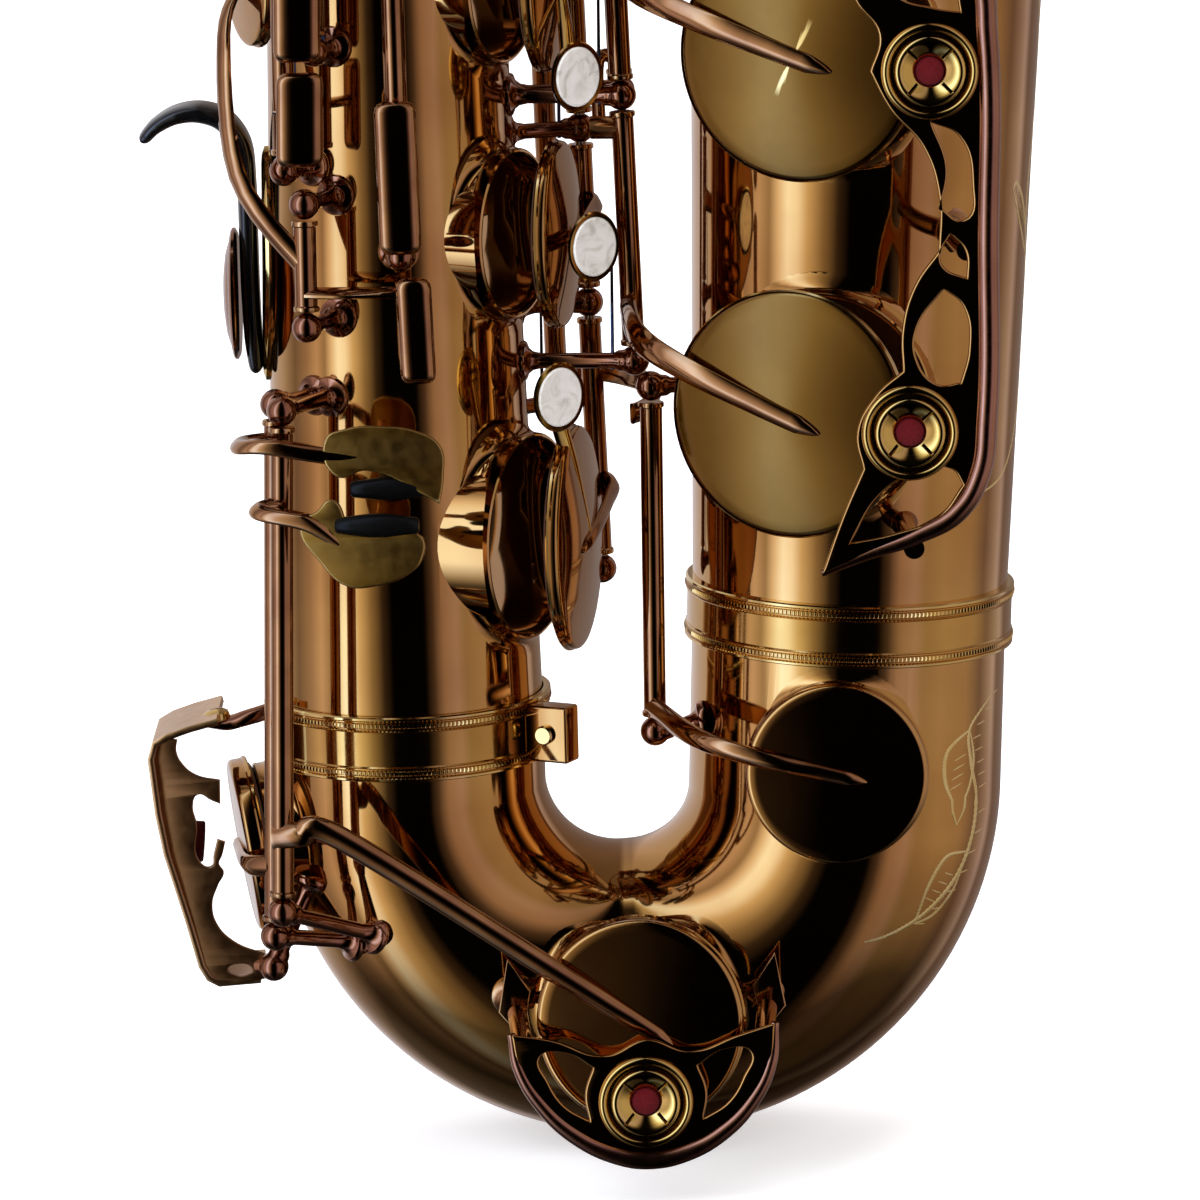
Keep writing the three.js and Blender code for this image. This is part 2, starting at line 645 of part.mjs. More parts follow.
const slingRing = { belowSideBb: 36, radius: 8, wire: 3.4 };
const slingHeight = bodyHoles.sideBb.height - slingRing.belowSideBb;
const slingPlate = { azimuth: 180, height: slingHeight, width: 12, tall: 26, thickness: 1.4 };
const slingEye = bodyPoint(180, slingHeight,
  seatGap + slingPlate.thickness + slingRing.radius - slingRing.wire / 2);
function slingRingSolid() {
  const half = slingRing.wire / 2;
  const profile = [
    [slingRing.radius - slingRing.wire, -half],
    [slingRing.radius, -half],
    [slingRing.radius, half],
    [slingRing.radius - slingRing.wire, half],
    [slingRing.radius - slingRing.wire, -half],
  ];
  return join(saddle(slingPlate), turned(profile, tubeSides, slingEye, up));
}
add("sling_ring", slingRingSolid(), "brass");

// The thumb hook slides up and down its plate, under a domed screw whose shank stands in the hook's slot.
const hookPlate = { azimuth: 180, height: 200, width: 16, tall: 52, thickness: 1.6 };
const hook = {
  footDrop: 24, turnRise: 24, crownRise: 12, tipDrop: 6.4, topReach: 11.5, tipReach: 24, thickness: 3.6,
  footWidth: 10, waistWidth: 11, topWidth: 14, tipWidth: 9, slide: 3, leanShare: 0.02,
};
const hookTurnShares = { rise: 0.7, reach: 0.3 };
const hookScrew = { drop: 6.5, radius: 14.5, dome: 3.4, rim: 1.2, shankRadius: 2.2 };
const hookScrewDomeShares = { shoulder: 0.6, crown: 0.85 };
const hookBack = towards(hookPlate.azimuth);
const hookFace = bodyRadius(hookPlate.height) + 2 * seatGap + hookPlate.thickness;
const hookLean = (hook.footDrop + hook.turnRise) * hook.leanShare;
const hookScrewFoot = vec(0, 0, hookPlate.height - hookScrew.drop);
function hookScrewShank(extra) {
  const start = along(hookScrewFoot, hookBack, hookFace - hookPlate.thickness / 2);
  const end = along(hookScrewFoot, hookBack, hookFace + hook.thickness + hookLean + seatGap + sink);
  return bar(start, end, hookScrew.shankRadius + extra);
}
add("thumb_hook_plate", saddle(hookPlate).subtract(hookScrewShank(seatGap)), "brass");

function hookSlot() {
  const half = hookScrew.shankRadius + seatGap;
  const tall = hook.slide + half + seatGap;
  const outline = new THREE.Shape([
    new THREE.Vector2(-tall, -half),
    new THREE.Vector2(tall, -half),
    new THREE.Vector2(tall, half),
    new THREE.Vector2(-tall, half),
  ]);
  return plate(outline, hook.thickness + hookLean + 2 * cutOverrun,
    frameAt(along(hookScrewFoot, hookBack, hookFace - cutOverrun), hookBack, up));
}
function thumbHook() {
  const turnHeight = hookPlate.height + hook.turnRise;
  const footHeight = hookPlate.height - hook.footDrop;
  const topHeight = turnHeight + hook.crownRise - hook.thickness;
  const tipHeight = turnHeight + hook.crownRise - hook.tipDrop - hook.thickness / 2;
  const onHook = (height, reach) => along(vec(0, 0, height), hookBack, hookFace + reach);
  const shank = (height) => onHook(height, (turnHeight - height) * hook.leanShare);
  const points = [
    shank(footHeight),
    shank(hookPlate.height),
    shank(turnHeight),
    onHook(turnHeight + hook.crownRise * hookTurnShares.rise, hook.topReach * hookTurnShares.reach),
    onHook(topHeight, hook.topReach),
    onHook((topHeight + tipHeight) / 2 + sink, (hook.topReach + hook.tipReach) / 2),
    onHook(tipHeight, hook.tipReach),
  ];
  const turning = hookBack.clone().lerp(up, 0.5);
  const faces = [hookBack, hookBack, hookBack, turning, up, up, up];
  const { footWidth, waistWidth, topWidth, tipWidth } = hook;
  const widths = [footWidth, waistWidth, waistWidth, topWidth, topWidth, topWidth, tipWidth];
  return arm(points, faces, widths, hook.thickness).subtract(hookSlot());
}
add("thumb_hook", thumbHook(), "blackPlastic");

function hookScrewSolid() {
  const seat = hookFace + hook.thickness + hookLean + seatGap;
  const profile = [
    [0, 0],
    [hookScrew.radius, 0],
    [hookScrew.radius, hookScrew.rim],
    [hookScrew.radius * hookScrewDomeShares.shoulder, hookScrew.dome * hookScrewDomeShares.crown],
    [0, hookScrew.dome],
  ];
  return join(turned(profile, tubeSides, along(hookScrewFoot, hookBack, seat), hookBack), hookScrewShank(0));
}
add("thumb_hook_screw", hookScrewSolid(), "keyLacquer");

const thumbRest = { azimuth: 172, height: 521, width: 17, tall: 24, thickness: 4 };
add("thumb_rest", saddle(thumbRest), "blackPlastic");

// Pad cups: the pad stands proud of the cup's lip and is held in it, the back is domed to a flat crown.

const cupTop = (hole) => padGap + (hole.bore > largeBore ? cupDepth : smallCupDepth);
const cupRadius = (hole) => hole.bore / 2 + chimneyWall + cupOverlap / 2;
const cupBack = (hole, lift = 0) => along(hole.rim, hole.normal, cupTop(hole) + lift);
function cup(hole) {
  const radius = cupRadius(hole);
  const top = cupTop(hole);
  const profile = [
    [0, padGap],
    [radius - padInset, padGap],
    [radius, padGap + padProud],
    [radius, top * (1 - cupRoundShare)],
    [radius * (1 - cupRoundShare / 2), top],
    [0, top],
  ];
  return turned(profile, hole.sides, hole.rim, hole.normal);
}

// The arm from a hinge over a cup's rim to its crown.
const armCrownShare = 0.25;
const armShareAtShoulder = 0.5;
const armCrownWidthShare = 0.8;
const armTipWidth = 2;
function cupArm(hinge, height, hole, width = armWidth) {
  const start = along(hinge.at(height), hole.normal, 0);
  const crown = cupBack(hole, -sink);
  const flat = start.clone().sub(crown);
  const rise = flat.dot(hole.normal);
  flat.addScaledVector(hole.normal, -rise);
  const reach = flat.length();
  const out = flat.normalize();
  const radius = cupRadius(hole);
  const edge = along(crown, out, radius);
  const shoulder = along(along(crown, out, radius + (reach - radius) * armShareAtShoulder), hole.normal,
    rise * armShareAtShoulder * armShareAtShoulder);
  const end = along(crown, out, -radius * armCrownShare);
  return arm([start, shoulder, edge, crown, end], hole.normal,
    [width, width, width, width * armCrownWidthShare, armTipWidth]);
}

// Turned pearl holder: a shallow cup that the pearl is pressed into.
const pearlSeatShare = 0.7;
const pearlSides = 8;
function pearlHolder(foot, normal, radius = pearlRadius, hollow = true) {
  const outer = radius + pearlGap + pearlWall;
  const height = pearlFloor + pearlThickness * pearlSeatShare;
  const profile = [[0, 0], [outer * pearlSeatShare, 0], [outer, height]];
  if (hollow) profile.push([outer - pearlWall, height], [outer - pearlWall, pearlFloor], [0, pearlFloor]);
  else profile.push([outer * pearlSeatShare, pearlFloor + pearlThickness], [0, pearlFloor + pearlThickness]);
  return turned(profile, pearlSides, foot, normal);
}
function pearl(foot, normal) {
  const seat = along(foot, normal, pearlFloor + pearlGap);
  return bar(seat, along(seat, normal, pearlThickness), pearlRadius, pearlSides);
}

// An oval touch plate and a rounded bar touch
function ovalTouch(centre, normal, long, halfLength, halfWidth, thickness) {
  const outline = new THREE.Shape().absellipse(0, 0, halfLength, halfWidth, 0, 2 * Math.PI);
  return plate(outline, thickness, frameAt(centre, normal, long), 3);
}
const touchChamferShare = 0.12;
function barTouch(low, high, face, width, depth) {
  const end = touchChamferShare * width;
  const way = high.clone().sub(low).normalize();
  return arm([low, along(low, way, 2 * end), along(high, way, -2 * end), high], face,
    [width - 2 * end, width, width, width - 2 * end], depth);
}

// Keys: the solid is laid out shut. open turns a key that stands open away from its hole.

function key(name, hinge, solid, { hole = null, open = 0, bored = false, extras = [] } = {}) {
  const axis = hinge.axis;
  const away = hole ? Math.sign(axis.clone().cross(hole.rim.clone().sub(hinge.low)).dot(hole.normal)) : 1;
  const group = new THREE.Group();
  group.position.copy(hinge.low);
  group.quaternion.setFromAxisAngle(axis, radians(open * away));
  saxophone.add(group);
  add(name, bored ? solid.subtract(hinge.bore()) : solid, "keyLacquer", hinge.low, group);
  for (const [extraName, extraSolid, material] of extras) {
    add(extraName, extraSolid, material, hinge.low, group);
  }
}

// Lower stack: D, E and F under the right hand's fingers, and the F sharp that they all carry shut

const rightPearls = {
  d: { x: 24.5, y: -26, z: 173.5 },
  e: { x: 33.2, y: -25.5, z: 205.7 },
  f: { x: 30.4, y: -26, z: 242.6 },
};
const lowerStack = {
  d: { from: 127, to: 187.5, armAt: 147, open: 13 },
  e: { from: 187.5, to: 226.5, armAt: 210, open: 13 },
  f: { from: 226.5, to: 286, armAt: 262, open: 13 },
  fSharp: { from: 286, to: 328, armAt: 308, open: 12 },
};
const nodeName = (name) => `${name === "fSharp" ? "f_sharp" : name}_key`;
for (const [name, { from, to, armAt, open }] of Object.entries(lowerStack)) {
  const hole = holes[name];
  const solids = [hinges.stack.tube(from, to), cupArm(hinges.stack, armAt, hole), cup(hole)];
  const extras = [];
  const place = rightPearls[name];
  if (place) {
    const crown = cupBack(hole, -sink);
    const foot = spot(place);
    const level = foot.clone().sub(crown).dot(hole.normal);
    foot.addScaledVector(hole.normal, Math.max(sink - level, 0));
    solids.push(pearlHolder(foot, hole.normal));
    solids.push(arm([crown, along(foot, hole.normal, sink - armThickness)], hole.normal, armWidth));
    extras.push([`${name}_pearl`, pearl(foot, hole.normal), "pearl"]);
  }
  key(nodeName(name), hinges.stack, join(solids), { hole, open, bored: true, extras });
}
add("lower_stack_rod", hinges.stack.rod(), "steel");

// Upper stack: G, A and B under the left hand's fingers, with the bis pad and the small C that B carries shut

const upperStack = {
  g: { from: 336, to: 379, armAt: 358, open: 13, pearl: pearlRadius },
  a: { from: 379, to: 416, armAt: 398, open: 13, pearl: pearlRadius },
  bis: { from: 416, to: 444, armAt: 426, open: 13, pearl: smallPearlRadius },
  b: { from: 444, to: 477, armAt: 461, open: 13, pearl: pearlRadius },
  c: { from: 477, to: 508, armAt: 492, open: 13 },
};
for (const [name, { from, to, armAt, open, pearl: size }] of Object.entries(upperStack)) {
  const hole = holes[name];
  const hinge = hinges.upperStack;
  const solids = [hinge.tube(from, to), cupArm(hinge, armAt, hole), cup(hole)];
  if (size) solids.push(pearlHolder(cupBack(hole, armThickness / 2), hole.normal, size, false));
  key(nodeName(name), hinge, join(solids), { hole, open, bored: true });
}
add("upper_stack_rod", hinges.upperStack.rod(), "steel");

// Left little finger's table: oval touches on the long keys of the bell, in front of the upper stack

const tableReach = 21;
const table = {
  gSharp: { azimuth: 118, height: 398, halfLength: 11, halfWidth: 6.5 },
  lowCSharp: { azimuth: 62, height: 411, halfLength: 9, halfWidth: 7 },
  lowB: { azimuth: 49, height: 393, halfLength: 8.5, halfWidth: 7 },
  lowBb: { azimuth: 27, height: 405, halfLength: 14, halfWidth: 6.5 },
};
const touchThickness = 1.8;
function tableTouch({ azimuth, height, halfLength, halfWidth }) {
  return ovalTouch(bodyPoint(azimuth, height, tableReach), towards(azimuth), up, halfLength, halfWidth,
    touchThickness);
}
// An arm that keeps its distance from the body tube, from a hinge through its route to the touch.
function bodyArm(start, stations, width = armWidth) {
  const points = [start, ...stations.map(({ azimuth, height, reach }) => bodyPoint(azimuth, height, reach))];
  return arm(points, points.map((point) => vec(point.x, point.y, 0)), width);
}

// Low B and B flat share the line of posts between body and bell. B is worked through its own long lever.

const armSeat = tableReach - armThickness + sink;
const atTouch = ({ azimuth, height }) => ({ azimuth, height, reach: armSeat });
const lowB = { armAt: 190, open: 10, tabAt: 229, tabReach: 7 };
const lowBb = {
  armAt: 266, open: 8.5, touchArmAt: 408,
  route: [{ azimuth: -2, height: 407, reach: 28.5 }, { azimuth: 8, height: 406, reach: 27.5 }],
};
const bellKeyStops = bodyHingeSites.lowB.stops;
function lowBKey() {
  const tab = hinges.lowB.at(lowB.tabAt);
  return join(
    hinges.lowB.tube(bellKeyStops[0], bellKeyStops[1]),
    cupArm(hinges.lowB, lowB.armAt, holes.lowB),
    cup(holes.lowB),
    arm([tab, along(tab, vec(-1, 0, 0), lowB.tabReach)], vec(0, -1, 0), armWidth),
  );
}
key("low_b_key", hinges.lowB, lowBKey(), { hole: holes.lowB, open: lowB.open });
key("low_b_flat_key", hinges.lowB, join(
  hinges.lowB.tube(bellKeyStops[1], bellKeyStops[2]),
  cupArm(hinges.lowB, lowBb.armAt, holes.lowBb),
  cup(holes.lowBb),
  bodyArm(hinges.lowB.at(lowBb.touchArmAt), [...lowBb.route, atTouch(table.lowBb)]),
  tableTouch(table.lowBb),
), { hole: holes.lowBb, open: lowBb.open });

const lowBLever = {
  armAt: 380, footAt: 243, footDrop: 3.7, footReach: 4.5, footWidth: 3, tipReach: 4.2,
  route: [{ azimuth: 20, height: 381, reach: 20.4 }, { azimuth: 36, height: 384, reach: 19.4 }],
};
function lowBLeverSolid() {
  const hinge = hinges.lowBLever;
  const start = hinge.at(lowBLever.footAt);
  const foot = start.clone().add(vec(-lowBLever.footReach, -lowBLever.footDrop, 0));
  const low = foot.clone().setZ(lowB.tabAt);
  return join(
    hinge.tube(bodyHingeSites.lowBLever.stops[0], bodyHingeSites.lowBLever.stops[1]),
    arm([start, foot, low, along(low, vec(0, -1, 0), lowBLever.tipReach)],
      [vec(0, -1, 0), vec(0, -1, 0), vec(0, -1, -1), up], lowBLever.footWidth),
    bodyArm(hinge.at(lowBLever.armAt), [...lowBLever.route, atTouch(table.lowB)]),
    tableTouch(table.lowB),
  );
}
key("low_b_lever", hinges.lowBLever, lowBLeverSolid());

// Low C sharp: a closed key across the lower rings, opened by a lever from the table

const lowCs = { armAt: 101, tabAt: 165, tabReach: 12 };
function lowCSharpKey() {
  const hinge = hinges.lowCSharp;
  const tab = hinge.at(lowCs.tabAt);
  return join(
    hinge.sleeve(),
    cupArm(hinge, lowCs.armAt, holes.lowCSharp),
    cup(holes.lowCSharp),
    arm([tab, along(tab, vec(0, 1, 0), lowCs.tabReach)], vec(1, 0, 0), armWidth),
  );
}
key("low_c_sharp_key", hinges.lowCSharp, lowCSharpKey(), { hole: holes.lowCSharp });

const csLever = {
  footAt: 170, touchArmAt: 374, touchTurn: 4,
  footRoute: [
    { azimuth: 30, height: 169, reach: 27 },
    { azimuth: 14, height: 168, reach: 29 },
    { azimuth: 1, height: 166, reach: 26 },
    { azimuth: -3, height: lowCs.tabAt, reach: 22.6 },
  ],
  touchRoute: [{ azimuth: 64, height: 380, reach: 19.4 }],
};
function lowCSharpLever() {
  const hinge = hinges.cSharpLever;
  const [low, high] = bodyHingeSites.cSharpLever.stops;
  return join(
    hinge.tube(low, high),
    bodyArm(hinge.at(csLever.footAt), csLever.footRoute),
    bodyArm(hinge.at(csLever.touchArmAt), [...csLever.touchRoute,
      atTouch({ azimuth: table.lowCSharp.azimuth + csLever.touchTurn, height: table.lowCSharp.height })]),
    tableTouch(table.lowCSharp),
  );
}
key("low_c_sharp_lever", hinges.cSharpLever, lowCSharpLever());

// G sharp: a closed key on the left side

const gSharpRoute = { armAt: 384, rise: { azimuth: 108, height: 392, reach: 15.4 } };
key("g_sharp_key", hinges.gSharp, join(
  hinges.gSharp.tube(bodyHingeSites.gSharp.stops[0], bodyHingeSites.gSharp.stops[1]),
  cupArm(hinges.gSharp, holes.gSharp.root.z, holes.gSharp),
  cup(holes.gSharp),
  bodyArm(hinges.gSharp.at(gSharpRoute.armAt), [gSharpRoute.rise, atTouch(table.gSharp)]),
  tableTouch(table.gSharp),
), { hole: holes.gSharp });

// Right little finger: the E flat and low C keys with their rollers

const pinky = {
  ebArmAt: 166,
  ebCupArmAt: 72,
  cArmAt: 153.5,
  ebTouch: { x: -1.5, y: -50, z: 164.6, halfLength: 12.4, halfWidth: 7 },
  cTouch: { x: -5.5, y: -50, z: 144.2, halfLength: 12.4, halfWidth: 6.4 },
  tilt: 0.12,
  ebRoller: { x: -0.3, z: 158.2 },
  cRoller: { x: -2.6, z: 150.6 },
  rollerLength: 18,
  rollerRadius: 2.6,
  rollerDepth: 50.4,
  rollerWaistShare: 0.72,
  armWidth: 4,
};
const ebWrap = { reach: 2.5, depth: 4, turnReach: 1.5, touchGap: 1.5 };
const cWrap = { reach: 3.5, depth: 3.5, turnReach: 1, rootDrop: 1, turnDrop: 2, touchRise: 3 };
const cWrapTouchShare = 0.8;
const pinkyFace = vec(0, -1, pinky.tilt).normalize();
function pinkyTouch({ x, y, z, halfLength, halfWidth }) {
  return ovalTouch(vec(x, y, z), pinkyFace, vec(1, 0, 0), halfLength, halfWidth, touchThickness);
}
function roller({ x, z }, extra = 0) {
  const half = pinky.rollerLength / 2 + extra;
  const middle = vec(x, -pinky.rollerDepth, z);
  const waist = (pinky.rollerRadius + extra) * pinky.rollerWaistShare;
  const profile = [[0, -half], [waist, -half], [pinky.rollerRadius + extra, 0], [waist, half], [0, half]];
  return turned(profile, smallSides, middle, vec(1, 0, 0));
}
function lowEbKey() {
  const hinge = hinges.lowEb;
  const start = hinge.at(pinky.ebArmAt);
  const { x, y, z, halfLength } = pinky.ebTouch;
  const left = lowCPivots.foot.x - tubeRadius;
  const wrap = [
    start,
    vec(left - ebWrap.reach, start.y - ebWrap.depth, start.z),
    vec(left - ebWrap.turnReach, y + ebWrap.touchGap, start.z),
    vec(x - halfLength, y, z),
    vec(x, y + sink, z),
  ];
  return join(
    hinge.sleeve(),
    cupArm(hinge, pinky.ebCupArmAt, holes.lowEb),
    cup(holes.lowEb),
    arm(wrap, [up, up, vec(0, -1, 2), pinkyFace, pinkyFace], pinky.armWidth),
    pinkyTouch(pinky.ebTouch),
  ).subtract(join(roller(pinky.ebRoller, rodGap), roller(pinky.cRoller, rodGap)));
}
key("low_e_flat_key", hinges.lowEb, lowEbKey(), {
  hole: holes.lowEb,
  extras: [["e_flat_roller", roller(pinky.ebRoller), "blackPlastic"]],
});

const lowC = { open: 6.6, bend: { x: -14, y: -43.4, z: 80.5 }, tipShare: 0.4 };
function lowCKey() {
  const hinge = hinges.lowC;
  const start = hinge.at(pinky.cArmAt);
  const { x, y, z, halfLength } = pinky.cTouch;
  const wrap = [
    start,
    vec(start.x - cWrap.reach, start.y - cWrap.depth, start.z - cWrap.rootDrop),
    vec(start.x + cWrap.turnReach, y + cWrap.turnReach, start.z - cWrap.turnDrop),
    vec(x - halfLength * cWrapTouchShare, y + sink / 2, z + cWrap.touchRise),
    vec(x, y + sink, z),
  ];
  const root = hinge.at(lowC.bend.z);
  const crown = cupBack(holes.lowC, -sink);
  const reach = spot(lowC.bend);
  const back = reach.clone().sub(crown).normalize();
  const tip = along(crown, back, -cupRadius(holes.lowC) * lowC.tipShare);
  return join(
    hinge.sleeve(),
    arm([root, reach, along(crown, back, cupRadius(holes.lowC)), crown, tip], vec(0, -1, 0),
      [armWidth, armWidth, armWidth, armWidth * armCrownWidthShare, armTipWidth]),
    cup(holes.lowC),
    arm(wrap, [up, vec(0, -1, 3), vec(0, -1, 2), pinkyFace, pinkyFace], pinky.armWidth),
    pinkyTouch(pinky.cTouch),
  ).subtract(join(roller(pinky.cRoller, rodGap), roller(pinky.ebRoller, rodGap)));
}
key("low_c_key", hinges.lowC, lowCKey(), {
  hole: holes.lowC,
  open: lowC.open,
  extras: [["low_c_roller", roller(pinky.cRoller), "blackPlastic"]],
});

// Right hand side keys: bar touches low on the horn that lift small cups high on it

const sideKeys = {
  side_b_flat_key: {
    hinge: "sideBb", hole: "sideBb", armAt: 440, touchAt: 236,
    touch: { low: { x: -18.2, y: -39, z: 226.4 }, high: { x: -17.6, y: -39, z: 246.6 }, width: 10 },
  },
  side_c_key: {
    hinge: "sideC", hole: "sideC", armAt: 478, touchAt: 261,
    touch: { low: { x: -18, y: -39, z: 248.8 }, high: { x: -17.4, y: -39, z: 271 }, width: 10 },
  },
  high_e_key: {
    hinge: "highE", hole: "highE", armAt: 594, touchAt: 284,
    touch: { low: { x: -15.5, y: -40, z: 273.4 }, high: { x: -15, y: -40, z: 294 }, width: 9 },
  },
  high_f_sharp_key: {
    hinge: "highFSharp", hole: "highFSharp", armAt: 650, touchAt: 224,
    touch: { low: { x: 2.8, y: -41, z: 207.4 }, high: { x: 2.4, y: -41, z: 240.2 }, width: 9 },
  },
};
const touchDepth = 4.6;
const barFace = vec(0, -1, 0);
for (const [name, { hinge: hingeName, hole: holeName, armAt, touchAt, touch }] of Object.entries(sideKeys)) {
  const hinge = hinges[hingeName];
  const hole = holes[holeName];
  const low = spot(touch.low);
  const high = spot(touch.high);
  const middle = low.clone().lerp(high, 0.5);
  key(name, hinge, join(
    hinge.sleeve(),
    cupArm(hinge, armAt, hole),
    cup(hole),
    arm([hinge.at(touchAt), along(middle, barFace, sink)], up, armWidth),
    barTouch(low, high, barFace, touch.width, touchDepth),
  ), { hole });
}

// Trill F sharp: a short hinge with a barrel touch on a diamond shaped arm

const trill = {
  armAt: 205,
  route: [{ azimuth: -134, height: 224, reach: 18.5 }, { azimuth: -150, height: 252, reach: 13 }],
  diamondAt: 198,
  touch: { low: { x: 5.8, y: -41, z: 179.4 }, high: { x: 5.2, y: -41, z: 202.4 }, width: 7.6 },
  diamondShare: 0.35,
  diamondWidth: 8,
  neckWidth: 3.5,
};
function trillKey() {
  const hinge = hinges.trill;
  const hole = holes.trill;
  const crown = cupBack(hole, -sink);
  const low = spot(trill.touch.low);
  const high = spot(trill.touch.high);
  const stations = trill.route.map(({ azimuth, height, reach }) => bodyPoint(azimuth, height, reach));
  const points = [hinge.at(trill.armAt), ...stations, crown];
  const root = hinge.at(trill.diamondAt);
  const meet = low.clone().lerp(high, (trill.diamondAt - low.z) / (high.z - low.z)).add(vec(0, -sink, 0));
  return join(
    hinge.tube(bodyHingeSites.trill.stops[0], bodyHingeSites.trill.stops[1]),
    arm(points, points.map((point) => vec(point.x, point.y, 0))),
    cup(hole),
    arm([root, root.clone().lerp(meet, trill.diamondShare), meet], up,
      [armWidth, trill.diamondWidth, trill.neckWidth]),
    barTouch(low, high, barFace, trill.touch.width, touchDepth),
  );
}
key("trill_f_sharp_key", hinges.trill, trillKey(), { hole: holes.trill });

// Palm keys on the left side: short keys with raised oval touches

const palmTouch = { azimuth: 128, reach: 16, halfLength: 11, halfWidth: 6, armDrop: 2 };
const palmKeys = [["palm_d_key", "palmD"], ["palm_e_flat_key", "palmEb"], ["palm_f_key", "palmF"]];
for (const [name, holeName] of palmKeys) {
  const hinge = hinges[holeName];
  const hole = holes[holeName];
  const [low, high] = bodyHingeSites[holeName].stops;
  const height = (low + high) / 2;
  const middleAzimuth = (bodyHingeSites[holeName].azimuth + palmTouch.azimuth) / 2;
  key(name, hinge, join(
    hinge.tube(low, high),
    cupArm(hinge, hole.root.z, hole),
    cup(hole),
    bodyArm(hinge.at(height), [
      { azimuth: middleAzimuth, height, reach: palmTouch.reach - palmTouch.armDrop },
      { azimuth: palmTouch.azimuth, height, reach: palmTouch.reach - armThickness + sink },
    ]),
    ovalTouch(bodyPoint(palmTouch.azimuth, height, palmTouch.reach), towards(palmTouch.azimuth), up,
      palmTouch.halfLength, palmTouch.halfWidth, touchThickness),
  ), { hole });
}

// Octave vent on the back, and the thumb's octave lever above its rest

const ventArmWidth = 4;
key("octave_vent_key", hinges.octave, join(
  hinges.octave.tube(bodyHingeSites.octave.stops[0], bodyHingeSites.octave.stops[1]),
  cupArm(hinges.octave, holes.octave.root.z, holes.octave, ventArmWidth),
  cup(holes.octave),
), { hole: holes.octave });

const octaveTouch = { azimuth: 186, height: 541, reach: 9, halfLength: 5, halfWidth: 8 };
const octaveRoute = {
  armAt: 514,
  rise: { azimuth: 148, height: 530, reach: 14 },
  over: { azimuth: 168, height: octaveTouch.height, reach: 10.5 },
};
const octaveTouchFoot = bodyPoint(octaveTouch.azimuth, octaveTouch.height, octaveTouch.reach);
key("octave_lever", hinges.octaveLever, join(
  hinges.octaveLever.tube(bodyHingeSites.octaveLever.stops[0], bodyHingeSites.octaveLever.stops[1]),
  bodyArm(hinges.octaveLever.at(octaveRoute.armAt), [
    octaveRoute.rise,
    octaveRoute.over,
    { ...octaveTouch, reach: octaveTouch.reach - armThickness + sink },
  ]),
  ovalTouch(octaveTouchFoot, towards(octaveTouch.azimuth), up, octaveTouch.halfLength,
    octaveTouch.halfWidth, touchThickness),
));

// Key guards: pierced plates that stand in front of the big cups and carry adjustable felt stops

const guardSheet = 1.6;
const boss = { radius: 9.6, floorRadius: 6.9, height: 3.4, floor: 1.3, studRadius: 3, feltRadius: 6 };
const guardLegRadius = 2.4;
const facing = (depth) =>
  new THREE.Matrix4().makeBasis(vec(1, 0, 0), vec(0, 0, 1), vec(0, -1, 0)).setPosition(0, depth, 0);
const player = vec(0, -1, 0);

function guardBoss(centre) {
  return turned(
    [
      [boss.studRadius + seatGap, 0],
      [boss.radius, 0],
      [boss.radius, boss.height],
      [boss.floorRadius, boss.height],
      [boss.floorRadius, boss.floor],
      [boss.studRadius + seatGap, boss.floor],
      [boss.studRadius + seatGap, 0],
    ],
    discSides, centre, player);
}
function guardFelt(centre, end) {
  const back = Math.abs(end - centre.y);
  return turned(
    [
      [0, -back],
      [boss.feltRadius, -back],
      [boss.feltRadius, -seatGap],
      [boss.studRadius, -seatGap],
      [boss.studRadius, boss.floor + guardSheet],
      [0, boss.floor + guardSheet],
    ],
    smallSides, centre, player);
}
const circleHole = (centre, radius) =>
  new THREE.Path().absarc(centre.x, centre.y, radius, 0, 2 * Math.PI, true);
const outlineOf = (points) => points.map(([x, y]) => new THREE.Vector2(x, y));
const pathOf = (points) => new THREE.Path(outlineOf(points));

// Bell guard: one long plate over low B and low B flat, on three legs
const bellGuard = { left: 90.5, width: 36.4, bottom: 140, height: 136, depth: -63 };
const bellGuardOutlineShares = [
  [0, 0], [0.56, 0.047], [0.896, 0.128], [0.97, 0.225], [1, 0.85], [0.93, 0.94], [0.7, 0.99], [0.15, 1],
  [0.25, 0.893], [0.37, 0.839], [0.29, 0.782], [0.56, 0.694], [0.7, 0.502], [0.505, 0.382], [0.484, 0.316],
  [0.2, 0.222], [0.24, 0.172],
];
const bellGuardWindowShares = [
  [[0.67, 0.7], [0.85, 0.67], [0.9, 0.56], [0.77, 0.58]],
  [[0.76, 0.53], [0.86, 0.5], [0.88, 0.46], [0.74, 0.49]],
  [[0.68, 0.46], [0.83, 0.43], [0.86, 0.31], [0.72, 0.29], [0.6, 0.37]],
  [[0.19, 0.045], [0.35, 0.12], [0.74, 0.17], [0.8, 0.135], [0.56, 0.075]],
  [[0.36, 0.955], [0.7, 0.94], [0.86, 0.88], [0.76, 0.86], [0.45, 0.9]],
];
const bellGuardBossShares = [[0.525, 0.22], [0.67, 0.782]];
const onBellGuard = ([across, rise]) =>
  [bellGuard.left + across * bellGuard.width, bellGuard.bottom + rise * bellGuard.height];
const bellBossCentres = bellGuardBossShares.map(onBellGuard).map(([x, z]) => vec(x, bellGuard.depth, z));
const bellLegShares = [[0.54, 0.035], [0.87, 0.502], [0.6, 0.97]];
const bellLegLeanShare = 0.8;
